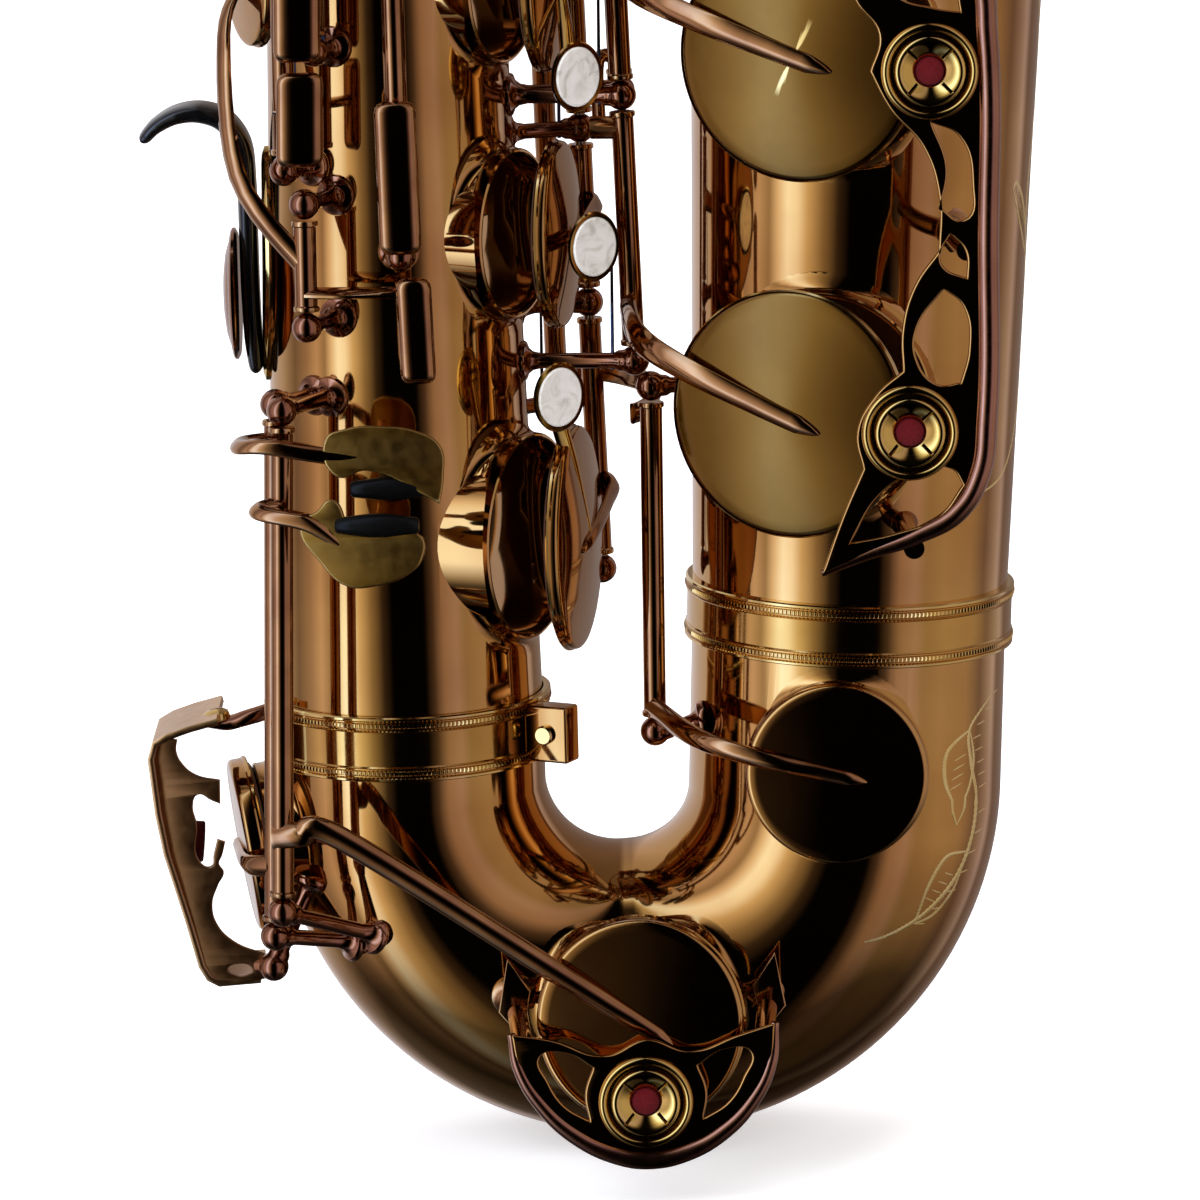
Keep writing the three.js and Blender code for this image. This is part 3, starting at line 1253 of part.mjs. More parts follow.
function bellKeyGuard() {
  const outline = new THREE.Shape(outlineOf(bellGuardOutlineShares.map(onBellGuard)));
  for (const window of bellGuardWindowShares) outline.holes.push(pathOf(window.map(onBellGuard)));
  for (const { x, z } of bellBossCentres) {
    outline.holes.push(circleHole(new THREE.Vector2(x, z), boss.radius - guardSheet));
  }
  const legs = bellLegShares.map(onBellGuard).map(([x, z]) => {
    const top = vec(x, bellGuard.depth - guardSheet / 2, z);
    const foot = along(bellOrigin, bellAxis, top.z - bellOrigin.z);
    foot.x = THREE.MathUtils.lerp(foot.x, top.x, bellLegLeanShare);
    const base = along(foot, top.clone().sub(foot).normalize(), bowBellRadius + tubeWall);
    return join(bar(foot, top, guardLegRadius, hingeSides), bar(foot, base, 2 * guardLegRadius, hingeSides));
  });
  return join(plate(outline, guardSheet, facing(bellGuard.depth)), bellBossCentres.map(guardBoss), legs)
    .subtract(bellShell(-2 * seatGap, cutOverrun));
}
add("bell_key_guard", bellKeyGuard(), "bodyLacquer");
const bellFeltEnd = -60.4;
add("low_b_felt", guardFelt(bellBossCentres[0], bellFeltEnd), "felt");
add("low_b_flat_felt", guardFelt(bellBossCentres[1], bellFeltEnd), "felt");

// Low C guard: a round apron under the cup, on two legs from the bow
const cGuard = {
  x: 50.3, z: 38.6, radius: 28.6, depth: -57, bossZ: 23.4, legX: 25.4, legZ: 35, footX: 28, footZ: 41,
};
const cGuardCurveSegments = 7;
const cGuardTopShares = [[0.7, 0], [0.36, -0.14], [0, -0.05], [-0.4, -0.18], [-0.7, 0]];
const cGuardEyeShares = [[0.78, -0.15], [0.4, -0.25], [0.44, -0.68], [0.69, -0.44]];
function lowCGuard() {
  const { x, z, radius } = cGuard;
  const outline = new THREE.Shape().absarc(x, z, radius, Math.PI, 2 * Math.PI);
  for (const [across, rise] of cGuardTopShares) outline.lineTo(x + across * radius, z + rise * radius);
  for (const side of [1, -1]) {
    const eye = cGuardEyeShares.map(([across, rise]) => [x + side * across * radius, z + rise * radius]);
    outline.holes.push(pathOf(eye));
  }
  outline.holes.push(circleHole(new THREE.Vector2(x, cGuard.bossZ), boss.radius - guardSheet));
  const legs = [1, -1].map((side) => {
    const top = vec(x + side * cGuard.legX, cGuard.depth - guardSheet / 2, cGuard.legZ);
    const foot = vec(x + side * cGuard.footX, -bowBottomRadius + tubeWall * 2, cGuard.footZ);
    const way = top.clone().sub(foot).normalize();
    return join(bar(foot, top, guardLegRadius, hingeSides),
      bar(along(foot, way, -tubeWall), along(foot, way, 2 * guardLegRadius), 2 * guardLegRadius, hingeSides));
  });
  const boards = plate(outline, guardSheet, facing(cGuard.depth), cGuardCurveSegments);
  return join(boards, guardBoss(vec(x, cGuard.depth, cGuard.bossZ)), legs)
    .subtract(join(bowShell(-seatGap, cutOverrun), chimneyRoom(holes.lowC)));
}
const chimneyRoom = (hole) =>
  bar(hole.root, along(hole.rim, hole.normal, cutOverrun), hole.bore / 2 + chimneyWall + seatGap, hole.sides);
add("low_c_guard", lowCGuard(), "bodyLacquer");
const cFeltEnd = -54.6;
add("low_c_felt", guardFelt(vec(cGuard.x, cGuard.depth, cGuard.bossZ), cFeltEnd), "felt");

// Low E flat guard: a pierced side plate and a bent band round the cup's edge, with its felt stop
const ebGuard = { left: -56, width: 27, bottom: 41.5, height: 61, near: -20, depth: 26, band: 1.6 };
const ebGuardOutlineShares = [
  [0.62, 1], [0.3, 1], [0, 0.9], [0.05, 0.62], [0.34, 0], [0.93, 0.03], [0.93, 0.13], [0.72, 0.17],
  [0.62, 0.27],
  [0.6, 0.4], [0.5, 0.5], [0.52, 0.62], [0.58, 0.74], [0.54, 0.88], [0.66, 0.93],
];
const ebGuardWindowShares = [
  [[0.2, 0.88], [0.4, 0.86], [0.42, 0.76], [0.3, 0.7], [0.2, 0.75]],
  [[0.26, 0.6], [0.4, 0.58], [0.42, 0.46], [0.33, 0.38], [0.26, 0.45]],
  [[0.38, 0.3], [0.5, 0.26], [0.6, 0.13], [0.44, 0.09]],
];
const ebFelt = { seatShares: [0.128, 0.52], depth: -6, radius: 4, length: 5.6 };
const onEbGuard = ([across, rise]) =>
  [ebGuard.left + across * ebGuard.width, ebGuard.bottom + rise * ebGuard.height];
const ebFootShares = [[0.62, 0.965], [0.9, 0.08]];
const ebBandShares = [[0.3, 1], [0, 0.9], [0.05, 0.62], [0.34, 0]];
function lowEbGuard() {
  const outline = new THREE.Shape(outlineOf(ebGuardOutlineShares.map(onEbGuard)));
  for (const window of ebGuardWindowShares) outline.holes.push(pathOf(window.map(onEbGuard)));
  const middle = ebGuard.near + ebGuard.depth / 2;
  const route = ebBandShares.map(onEbGuard).map(([x, z]) => vec(x, middle, z));
  const out = vec(-1, 0, 0);
  const band = arm(route, route.map(() => out), ebGuard.depth, ebGuard.band);
  const feet = ebFootShares.map(onEbGuard).map(([x, z]) => {
    const head = vec(x, ebGuard.near + ebGuard.band, z);
    const share = (bowCentre.z - z) / bowTurnRadius;
    const axisX = z > bowCentre.z ? 0 : bowTurnRadius - bowTurnRadius * Math.sqrt(1 - share * share);
    return bar(vec(axisX, 0, z), head, guardLegRadius, hingeSides);
  });
  return join(plate(outline, ebGuard.band, facing(ebGuard.near + ebGuard.band)), band, feet).subtract(
    join(bodyShell(-2 * seatGap, cutOverrun), bowShell(-2 * seatGap, cutOverrun), ebRoom()));
}
const ebRoom = () => join(
  chimneyRoom(holes.lowEb),
  bar(along(holes.lowEb.rim, holes.lowEb.normal, -chimneyRise), cupBack(holes.lowEb, tubeWall),
    cupRadius(holes.lowEb) + tubeWall, tubeSides),
  clampRingRoom(),
);
const clampRingRoom = () => turned(
  [
    [0, bodyRing.low - seatGap],
    [bodyFootRadius + 2 * seatGap + ringRise + ringBead, bodyRing.low - seatGap],
    [bodyFootRadius + 2 * seatGap + ringRise + ringBead, bodyRing.high + seatGap],
    [0, bodyRing.high + seatGap],
  ],
  tubeSides, vec(0, 0, 0), up);
add("low_e_flat_guard", lowEbGuard(), "keyLacquer");
const [ebFeltX, ebFeltZ] = onEbGuard(ebFelt.seatShares);
const ebFeltFoot = vec(ebFeltX, ebFelt.depth, ebFeltZ);
const ebFeltSeat = along(ebFeltFoot, vec(1, 0, 0), seatGap);
const ebFeltFace = along(ebFeltFoot, vec(1, 0, 0), ebFelt.length);
add("low_e_flat_felt", bar(ebFeltSeat, ebFeltFace, ebFelt.radius), "felt");

// Neck: a tapered tube from the tenon in the receiver, up and back to the mouthpiece

const neckCollar = { radius: 16.2, low: 0.4, height: 5 };
const neckRoute = [
  { x: 0, z: 712 },
  { x: -1, z: 730 },
  { x: -8, z: 751 },
  { x: -27, z: 768 },
  { x: -58, z: 775 },
  { x: -94, z: 768 },
  { x: -128, z: 756 },
  { x: -160, z: 750 },
  { x: -196, z: 752 },
];
const neckTop = bodyTopHeight + receiver.rise;
const neckThroatRadius = 12.4;
const neckTipRadius = 6.3;
const neckWall = 1;
const neckSteps = 9;
const neckSides = 10;
const neckCurve = new THREE.CatmullRomCurve3(neckRoute.map(({ x, z }) => vec(x, 0, z)));
const neckPoints = neckCurve.getSpacedPoints(neckSteps);
const neckRadius = (share) => THREE.MathUtils.lerp(neckThroatRadius, neckTipRadius, share);
function neckShell(wall, overrun) {
  const points = neckPoints.map((point) => point.clone());
  points[0].z -= overrun;
  points[neckSteps].x -= overrun;
  return pipe(points, points.map((_, i) => neckRadius(i / neckSteps) - wall), neckSides);
}
const neckEnd = neckPoints[neckSteps];
const neckWay = neckEnd.clone().sub(neckPoints[neckSteps - 1]).normalize();
const neckTenon = turned(
  [
    [0, neckFootHeight],
    [neckTenonRadius, neckFootHeight],
    [neckTenonRadius, neckTop + neckCollar.low],
    [neckCollar.radius, neckTop + neckCollar.low],
    [neckCollar.radius, neckTop + neckCollar.low + neckCollar.height],
    [0, neckTop + neckCollar.low + neckCollar.height],
  ],
  tubeSides, vec(0, 0, 0), up);
const neckBore = join(
  neckShell(neckWall, cutOverrun),
  bar(vec(0, 0, neckFootHeight - cutOverrun), vec(0, 0, neckTop + neckCollar.height),
    neckThroatRadius - neckWall, neckSides),
);
const neckVent = { share: 0.62, radius: 3.2, bore: 1.2, rise: 4 };
const ventRoot = neckCurve.getPointAt(neckVent.share);
const ventTop = ventRoot.clone().setZ(ventRoot.z + neckRadius(neckVent.share) + neckVent.rise);
const corkLength = 34;
const corkRadius = 8;
const corkGap = 0.45;
const corkStart = along(neckEnd, neckWay, -corkLength);
add("neck_cork", bar(corkStart, along(neckEnd, neckWay, -seatGap), corkRadius, neckSides)
  .subtract(neckShell(-corkGap, cutOverrun)), "cork");

// Neck octave key: a strap that rocks on the neck, with its loop round the receiver end

const neckKey = {
  pivotShare: 0.34, pivotRise: 6, tubeHalf: 4.5, lugOffset: 7, lugRadius: 1.6, strapWidth: 5,
  strapThickness: 1.76,
  loopRadius: 22.4, loopWire: 2.2, loopRise: 5.4, padRadius: 4.8, padDepth: 3.4,
};
const neckStrap = [
  { share: 0.62, rise: 3.2 },
  { share: 0.55, rise: 2.4 },
  { share: 0.46, rise: 2.4 },
  { share: 0.34, rise: 2.2 },
  { share: 0.22, rise: 5 },
  { share: 0.12, rise: 7 },
  { share: 0.05, rise: 7.4 },
];
function aboveNeck(share, rise) {
  const way = neckCurve.getTangentAt(share);
  const above = way.clone().cross(vec(0, 1, 0)).negate().normalize();
  return along(neckCurve.getPointAt(share), above, neckRadius(share) + rise);
}
const neckPivot = aboveNeck(neckKey.pivotShare, neckKey.pivotRise);
function neckOctaveKey() {
  const points = neckStrap.map(({ share, rise }) => aboveNeck(share, rise));
  points[0].copy(along(ventTop, up, padGap + neckKey.padDepth - sink));
  points[1].z += neckVent.rise / 2;
  points[3].copy(neckPivot);
  const loopLow = neckTop + neckKey.loopRise;
  const reach = neckKey.loopRadius;
  points.push(vec(reach + neckKey.loopWire / 2, 0, loopLow + neckKey.loopWire / 2));
  const loopSection = [
    [reach, loopLow],
    [reach + neckKey.loopWire, loopLow],
    [reach + neckKey.loopWire, loopLow + neckKey.loopWire],
    [reach, loopLow + neckKey.loopWire],
    [reach, loopLow],
  ];
  const loop = turned(loopSection, tubeSides, vec(0, 0, 0), up);
  const faces = points.map((_, i) => direction(points, i).cross(vec(0, 1, 0)).negate());
  const half = vec(0, neckKey.tubeHalf, 0);
  return join(
    arm(points, faces, neckKey.strapWidth, neckKey.strapThickness),
    loop,
    bar(neckPivot.clone().sub(half), neckPivot.clone().add(half), tubeRadius, hingeSides),
    bar(along(ventTop, up, padGap), along(ventTop, up, padGap + neckKey.padDepth), neckKey.padRadius),
  );
}
const neckLugs = [1, -1].map((side) => {
  const offset = vec(0, side * neckKey.lugOffset, 0);
  const root = aboveNeck(neckKey.pivotShare, -neckRadius(neckKey.pivotShare) / 2).add(offset);
  const head = aboveNeck(neckKey.pivotShare, neckKey.pivotRise + neckKey.lugRadius).add(offset);
  return bar(root, head, neckKey.lugRadius, hingeSides);
});
add("neck_tube", join(neckShell(0, 0), neckTenon, neckLugs, bar(ventRoot, ventTop, neckVent.radius)).subtract(
  join(neckBore, bar(ventRoot, along(ventTop, up, cutOverrun), neckVent.bore, hingeSides))), "bodyLacquer");
const neckGroup = new THREE.Group();
neckGroup.position.copy(neckPivot);
saxophone.add(neckGroup);
add("neck_octave_key", neckOctaveKey(), "keyLacquer", neckPivot, neckGroup);

// Mouthpiece, pushed over the cork, with the reed held on its table by the ligature

const mouthpiece = {
  overlapLength: 22,
  wholeLength: 92,
  shankRadius: 12.6,
  shankLength: 13.2,
  waistRadius: 12,
  waistReach: 15,
  tableReach: 44,
  tableDrop: 9.2,
  tableStep: 1,
  boreRadius: 8.3,
  boreLength: 50,
  windowLength: 34,
  windowRadius: 5.2,
  beakReach: 58,
  beakRadius: 11.6,
  tipHeight: 1.8,
  tipHalfWidth: 8.2,
};
const mouthpieceStart = along(neckEnd, neckWay, -mouthpiece.overlapLength);
const mouthpieceFrame = frameAt(mouthpieceStart, neckWay, vec(0, 1, 0));
const belowAxis = vec(0, -1, 0).transformDirection(mouthpieceFrame).z > 0 ? 1 : -1;
const mouthpieceSides = 12;
function mouthpieceRing(distance, halfWidth, top, bottom) {
  return Array.from({ length: mouthpieceSides }, (_, i) => {
    const turn = (2 * Math.PI * i) / mouthpieceSides;
    const across = halfWidth * Math.cos(turn);
    const rise = Math.min(Math.max(halfWidth * Math.sin(turn), -bottom), top);
    return vec(across, rise * -belowAxis, distance).applyMatrix4(mouthpieceFrame);
  });
}
function mouthpieceSolid() {
  const { shankRadius, waistRadius, boreRadius: bore, beakRadius } = mouthpiece;
  const { tableDrop, tipHalfWidth, tipHeight } = mouthpiece;
  const rings = [
    [0, shankRadius, shankRadius, shankRadius],
    [mouthpiece.shankLength, shankRadius, shankRadius, shankRadius],
    [mouthpiece.waistReach, waistRadius, waistRadius, waistRadius],
    [mouthpiece.tableReach - mouthpiece.tableStep, waistRadius, waistRadius, waistRadius],
    [mouthpiece.tableReach, waistRadius, waistRadius, tableDrop],
    [mouthpiece.beakReach, beakRadius, beakRadius, tableDrop],
    [mouthpiece.wholeLength, tipHalfWidth, tipHeight - tableDrop, tableDrop],
  ].map(([distance, halfWidth, top, bottom]) => mouthpieceRing(distance, halfWidth, top, bottom));
  const shaft = bar(along(mouthpieceStart, neckWay, -cutOverrun),
    along(mouthpieceStart, neckWay, mouthpiece.boreLength), bore, discSides);
  const drop = vec(0, belowAxis, 0).transformDirection(mouthpieceFrame);
  const low = along(along(mouthpieceStart, neckWay, mouthpiece.boreLength - cutOverrun), drop, -bore / 3);
  const high = along(along(low, neckWay, mouthpiece.windowLength), drop, tableDrop + bore / 3);
  const throat = bar(low, high, mouthpiece.windowRadius);
  const outside = skinned(belowAxis < 0 ? rings : rings.map((ring) => [...ring].reverse()));
  return outside.subtract(join(shaft, throat));
}
add("mouthpiece", mouthpieceSolid(), "blackPlastic");

// Reed: a cane slip flat on the table, cut thin towards its tip
const reed = {
  heelReach: 47, slipLength: 44, width: 15, faceWidth: 13.5, thickness: 3, tipThickness: 0.5, cutShare: 0.5,
};
function reedSolid() {
  const drop = vec(0, belowAxis, 0).transformDirection(mouthpieceFrame);
  const at = (distance) =>
    along(along(mouthpieceStart, neckWay, reed.heelReach + distance), drop, mouthpiece.tableDrop + seatGap);
  const heel = reed.slipLength * reed.cutShare;
  const side = vec(0, 1, 0);
  const section = (distance, thickness) => {
    const middle = at(distance);
    const face = along(middle, drop, thickness);
    return [
      along(middle, side, -reed.width / 2),
      along(middle, side, reed.width / 2),
      along(face, side, reed.faceWidth / 2),
      along(face, side, -reed.faceWidth / 2),
    ];
  };
  const tip = section(reed.slipLength, reed.tipThickness);
  return skinned([section(0, reed.thickness), section(heel, reed.thickness), tip]);
}
add("reed", reedSolid(), "cane");

// Ligature: a band round mouthpiece and reed, drawn up by two screws
const ligature = {
  heelReach: 50,
  bandLength: 19,
  wall: 0.9,
  screwRadius: 1.7,
  screwHalfLength: 8,
  lugDepth: 4.5,
  lugRadius: 3.15,
};
const ligatureScrewShares = [0.25, 0.75];
function ligatureSolid() {
  const reedCorner = Math.hypot(mouthpiece.tableDrop + seatGap + reed.thickness, reed.faceWidth / 2);
  const inner = (reedCorner + seatGap) / Math.cos(Math.PI / tubeSides);
  const outer = inner + ligature.wall;
  const drop = vec(0, belowAxis, 0).transformDirection(mouthpieceFrame);
  const start = along(mouthpieceStart, neckWay, ligature.heelReach);
  const far = ligature.bandLength;
  const section = [[inner, 0], [outer, 0], [outer, far], [inner, far], [inner, 0]];
  const band = turned(section, tubeSides, start, neckWay);
  const screws = ligatureScrewShares.flatMap((share) => {
    const seat = along(start, neckWay, far * share);
    const middle = along(seat, drop, outer + ligature.lugDepth / 2);
    const side = vec(0, ligature.screwHalfLength, 0);
    const lugRoot = along(middle, drop, -ligature.lugDepth);
    const lugTip = along(middle, drop, ligature.screwRadius);
    return [bar(middle.clone().sub(side), middle.clone().add(side), ligature.screwRadius, hingeSides),
      bar(lugRoot, lugTip, ligature.lugRadius, hingeSides)];
  });
  return join(band, screws).subtract(
    bar(along(start, neckWay, -cutOverrun), along(start, neckWay, far + cutOverrun), inner, tubeSides));
}
add("ligature", ligatureSolid(), "brass");

// The origin lies in the eye of the sling ring, which the horn hangs from.
saxophone.position.copy(slingEye).negate();

export default saxophone;
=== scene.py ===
# A tenor saxophone in dark bronze lacquer, seen close on its lower half against white.
# Pieces are modelled in millimetres, with the horn upright and the foot of its bow at height zero, and each
# is then taken to its place in the frame, whose origin is the eye of the sling ring.
import json
import math

import bpy
from mathutils import Matrix, Quaternion, Vector


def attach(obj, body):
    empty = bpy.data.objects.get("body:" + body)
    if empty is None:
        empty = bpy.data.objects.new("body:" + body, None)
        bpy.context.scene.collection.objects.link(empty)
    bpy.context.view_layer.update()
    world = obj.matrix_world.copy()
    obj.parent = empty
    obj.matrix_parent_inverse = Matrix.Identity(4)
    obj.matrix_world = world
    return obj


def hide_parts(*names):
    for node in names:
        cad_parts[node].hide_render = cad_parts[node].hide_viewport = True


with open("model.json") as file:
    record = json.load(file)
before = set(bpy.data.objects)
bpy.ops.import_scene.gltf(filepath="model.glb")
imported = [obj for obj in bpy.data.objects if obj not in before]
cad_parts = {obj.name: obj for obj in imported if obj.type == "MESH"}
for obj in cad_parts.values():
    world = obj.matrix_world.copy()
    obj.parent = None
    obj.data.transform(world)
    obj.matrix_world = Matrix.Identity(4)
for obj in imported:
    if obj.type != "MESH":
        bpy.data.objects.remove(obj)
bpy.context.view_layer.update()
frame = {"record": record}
bodies = frame["record"]["behaviour"]["bodies"]
bpy.ops.object.select_all(action="DESELECT")


# Studio. A pale floor and a white surround, with the light that the polished metal mirrors: a tall soft box on
# the player's left, a wide dim one on the right, and the unlit room behind the camera between them.

# The eye of the sling ring, and the turn from millimetres about the foot to metres about that eye.
EYE = Vector((-30.2273, 0.0, 404.0))
TO_FRAME = Matrix.Scale(0.001, 4) @ Matrix.Translation(-EYE)


def colour(code):
    """The linear colour of an sRGB hex value."""
    values = [int(code[i:i + 2], 16) / 255 for i in (1, 3, 5)]
    return tuple(v / 12.92 if v <= 0.04045 else ((v + 0.055) / 1.055) ** 2.4 for v in values) + (1,)


def add_node(tree, kind, settings=None, inputs=None):
    """A node with its settings, and its inputs given as values or as the output that feeds them."""
    made = tree.nodes.new(kind)
    for key, value in (settings or {}).items():
        setattr(made, key, value)
    for key, value in (inputs or {}).items():
        if isinstance(value, bpy.types.NodeSocket):
            tree.links.new(value, made.inputs[key])
        else:
            made.inputs[key].default_value = value
    return made


def set_ramp(ramp, stops):
    """Gives a colour ramp its stops of (place, colour)."""
    for _ in range(len(stops) - 2):
        ramp.elements.new(0.5)
    for element, (place, tint) in zip(ramp.elements, stops):
        element.position = place
        element.color = tint


def grey(level):
    return (level, level, level, 1)


CAMERA_SIDE, CAMERA_DISTANCE, CAMERA_HEIGHT, AIM_HEIGHT = 43.33, 1400, 404.6, 122.6
CAMERA_ROLL, CAMERA_ANGLE = -1.45, 10.668
camera_place = TO_FRAME @ Vector((CAMERA_SIDE, -CAMERA_DISTANCE, CAMERA_HEIGHT))
camera_way = TO_FRAME @ Vector((CAMERA_SIDE, 0, AIM_HEIGHT)) - camera_place
camera_turn = camera_way.to_track_quat("-Z", "Y") @ Quaternion((0, 0, 1), math.radians(CAMERA_ROLL))
bpy.ops.object.camera_add(location=camera_place, rotation=camera_turn.to_euler())
camera = bpy.context.object
camera.data.sensor_fit = "HORIZONTAL"
camera.data.angle = math.radians(CAMERA_ANGLE)
camera.data.clip_start = 0.05
camera.data.clip_end = 20
bpy.context.scene.camera = camera

# What the metal mirrors, by bearing from the camera's side: (degrees, red, green, blue). The soft boxes are cool,
# so that their streaks on the warm lacquer are paler than the rest.
MIRRORED_BANDS = [
    (-180, 0.26, 0.21, 0.19), (-170, 0.75, 0.72, 0.75), (-126, 0.7, 0.7, 0.75), (-104, 0.3, 0.28, 0.32),
    (-88, 0.55, 0.5, 0.58), (-76, 0.9, 0.85, 1.0), (-67, 0.55, 0.52, 0.55), (-60, 1.4, 1.55, 2.0), (-53, 1.9, 2.7, 4.6),
    (-46, 1.75, 2.3, 3.6), (-39, 1.15, 1.2, 1.2), (-28, 0.45, 0.42, 0.36), (-18, 0.06, 0.05, 0.05),
    (-10, 0.002, 0.002, 0.002), (18, 0.002, 0.002, 0.002), (25, 0.1, 0.08, 0.09), (34, 0.5, 0.42, 0.5),
    (45, 0.6, 0.54, 0.75), (54, 0.48, 0.44, 0.42), (70, 0.58, 0.52, 0.5), (95, 0.52, 0.46, 0.43),
    (112, 0.26, 0.22, 0.25), (126, 0.5, 0.48, 0.56), (132, 0.62, 0.6, 0.7), (140, 0.24, 0.19, 0.17),
    (180, 0.26, 0.21, 0.19)]
# How bright the surround is, by (degrees above level, share).
MIRRORED_HEIGHTS = [(-90, 0.04), (-62, 0.07), (-46, 0.14), (-34, 0.6), (-22, 1.0), (38, 1.0), (60, 0.75), (90, 0.65)]

world = bpy.data.worlds.new("studio surround")
bpy.context.scene.world = world
world.use_nodes = True
surround = world.node_tree
surround.nodes.clear()
bearing = add_node(surround, "ShaderNodeSeparateXYZ",
                   inputs={0: add_node(surround, "ShaderNodeTexCoord").outputs["Generated"]})
front = add_node(surround, "ShaderNodeMath", {"operation": "MULTIPLY"}, {0: bearing.outputs["Y"], 1: -1.0})
turn = add_node(surround, "ShaderNodeMath", {"operation": "ARCTAN2"}, {0: bearing.outputs["X"], 1: front.outputs[0]})
turn_share = add_node(surround, "ShaderNodeMapRange", inputs={0: turn.outputs[0], 1: -math.pi, 2: math.pi})
bands = add_node(surround, "ShaderNodeValToRGB", inputs={0: turn_share.outputs[0]})
set_ramp(bands.color_ramp, [((angle + 180) / 360, (*tint, 1)) for angle, *tint in MIRRORED_BANDS])
rise = add_node(surround, "ShaderNodeMath", {"operation": "ARCSINE"}, {0: bearing.outputs["Z"]})
rise_share = add_node(surround, "ShaderNodeMapRange", inputs={0: rise.outputs[0], 1: -math.pi / 2, 2: math.pi / 2})
heights = add_node(surround, "ShaderNodeValToRGB", inputs={0: rise_share.outputs[0]})
set_ramp(heights.color_ramp, [((angle + 90) / 180, grey(level)) for angle, level in MIRRORED_HEIGHTS])
lit = add_node(surround, "ShaderNodeMix", {"data_type": "RGBA", "blend_type": "MULTIPLY"},
               {0: 1.0, 6: bands.outputs[0], 7: heights.outputs[0]})
rays = add_node(surround, "ShaderNodeLightPath")
seen = add_node(surround, "ShaderNodeMath", {"operation": "MAXIMUM"},
                {0: rays.outputs["Is Camera Ray"], 1: rays.outputs["Is Transmission Ray"]})
shown = add_node(surround, "ShaderNodeMix", {"data_type": "RGBA"},
                 {0: seen.outputs[0], 6: lit.outputs[2], 7: grey(1)})
sky = add_node(surround, "ShaderNodeBackground", inputs={0: shown.outputs[2]})
add_node(surround, "ShaderNodeOutputWorld", inputs={0: sky.outputs[0]})


def blank_material(name):
    """A material with an empty tree, and the place on the piece that its textures read."""
    material = bpy.data.materials.new(name)
    material.use_nodes = True
    material.node_tree.nodes.clear()
    return material, material.node_tree, add_node(material.node_tree, "ShaderNodeTexCoord").outputs["Object"]


# The floor is white paper: bright enough to clip beside the horn, so that only the soft shadow shows on it. Its far
# parts, which the lamps hardly reach, glow up to white.
FLOOR_DROP, FLOOR_RADIUS = 1.2, 6
bpy.ops.mesh.primitive_circle_add(vertices=96, radius=FLOOR_RADIUS, fill_type="NGON",
                                  location=TO_FRAME @ Vector((43, 0, -FLOOR_DROP)))
floor = bpy.context.object
floor.name = "paper_floor"
floor.visible_glossy = False
paper, paper_tree, paper_spot = blank_material("white paper floor")
matte = add_node(paper_tree, "ShaderNodeBsdfDiffuse", inputs={0: colour("#e8e8e8")})
floor_distance = add_node(paper_tree, "ShaderNodeVectorMath", {"operation": "LENGTH"}, {0: paper_spot})
far_white = add_node(paper_tree, "ShaderNodeMapRange",
                     inputs={0: floor_distance.outputs["Value"], 1: 0.35, 2: 1.6, 3: 0.5, 4: 1.0})
glow = add_node(paper_tree, "ShaderNodeEmission", inputs={0: grey(1), 1: far_white.outputs[0]})
dark = add_node(paper_tree, "ShaderNodeEmission", inputs={0: grey(0), 1: 0.0})
camera_glow = add_node(paper_tree, "ShaderNodeMixShader", inputs={
    0: add_node(paper_tree, "ShaderNodeLightPath").outputs["Is Camera Ray"], 1: dark.outputs[0], 2: glow.outputs[0]})
both = add_node(paper_tree, "ShaderNodeAddShader", inputs={0: matte.outputs[0], 1: camera_glow.outputs[0]})
add_node(paper_tree, "ShaderNodeOutputMaterial", inputs={0: both.outputs[0]})
floor.data.materials.append(paper)

# Three soft boxes light the pads, the paper and the matt pieces: (name, place, size in metres, watts).
for lamp_name, lamp_place, lamp_size, watts in [
    ("soft_box_left", (-900, -1100, 1300), 1.1, 22),
    ("soft_box_right", (1300, -700, 1100), 1.2, 12),
    ("soft_box_top", (40, 200, 1900), 1.8, 26),
]:
    lamp_at = TO_FRAME @ Vector(lamp_place)
    lamp_turn = (TO_FRAME @ Vector((43, 0, 180)) - lamp_at).to_track_quat("-Z", "Y")
    bpy.ops.object.light_add(type="AREA", location=lamp_at, rotation=lamp_turn.to_euler())
    lamp = bpy.context.object
    lamp.name = lamp_name
    lamp.data.size = lamp_size
    lamp.data.energy = watts
    lamp.visible_glossy = False


# Body tube. Sheet brass rolled and brazed into a cone, with its tone holes drawn up out of the wall, ball posts
# hard soldered to it, and the whole buffed and sprayed with a dark bronze lacquer.

def pick(*pieces):
    """Selects these pieces alone, and makes the first one active."""
    bpy.ops.object.select_all(action="DESELECT")
    for piece in pieces:
        piece.select_set(True)
    bpy.context.view_layer.objects.active = pieces[0]


def edited(piece, *steps):
    """Runs mesh steps of (operator, settings) on the whole of a piece in edit mode."""
    pick(piece)
    bpy.ops.object.mode_set(mode="EDIT")
    for step, settings in steps:
        bpy.ops.mesh.select_all(action="SELECT")
        step(**settings)
    bpy.ops.object.mode_set(mode="OBJECT")
    return piece


WELD = (bpy.ops.mesh.remove_doubles, {"threshold": 0.0005})
OUTWARD = (bpy.ops.mesh.normals_make_consistent, {"inside": False})


def cut(piece, cutter, meets_itself=False):
    """Cuts one piece away from another, as a drill or a file does."""
    hole_cut = piece.modifiers.new("cut", "BOOLEAN")
    hole_cut.solver = "EXACT"
    hole_cut.use_self = meets_itself
    hole_cut.object = cutter
    pick(piece)
    bpy.ops.object.modifier_apply(modifier="cut")
    bpy.data.objects.remove(cutter)
    return piece


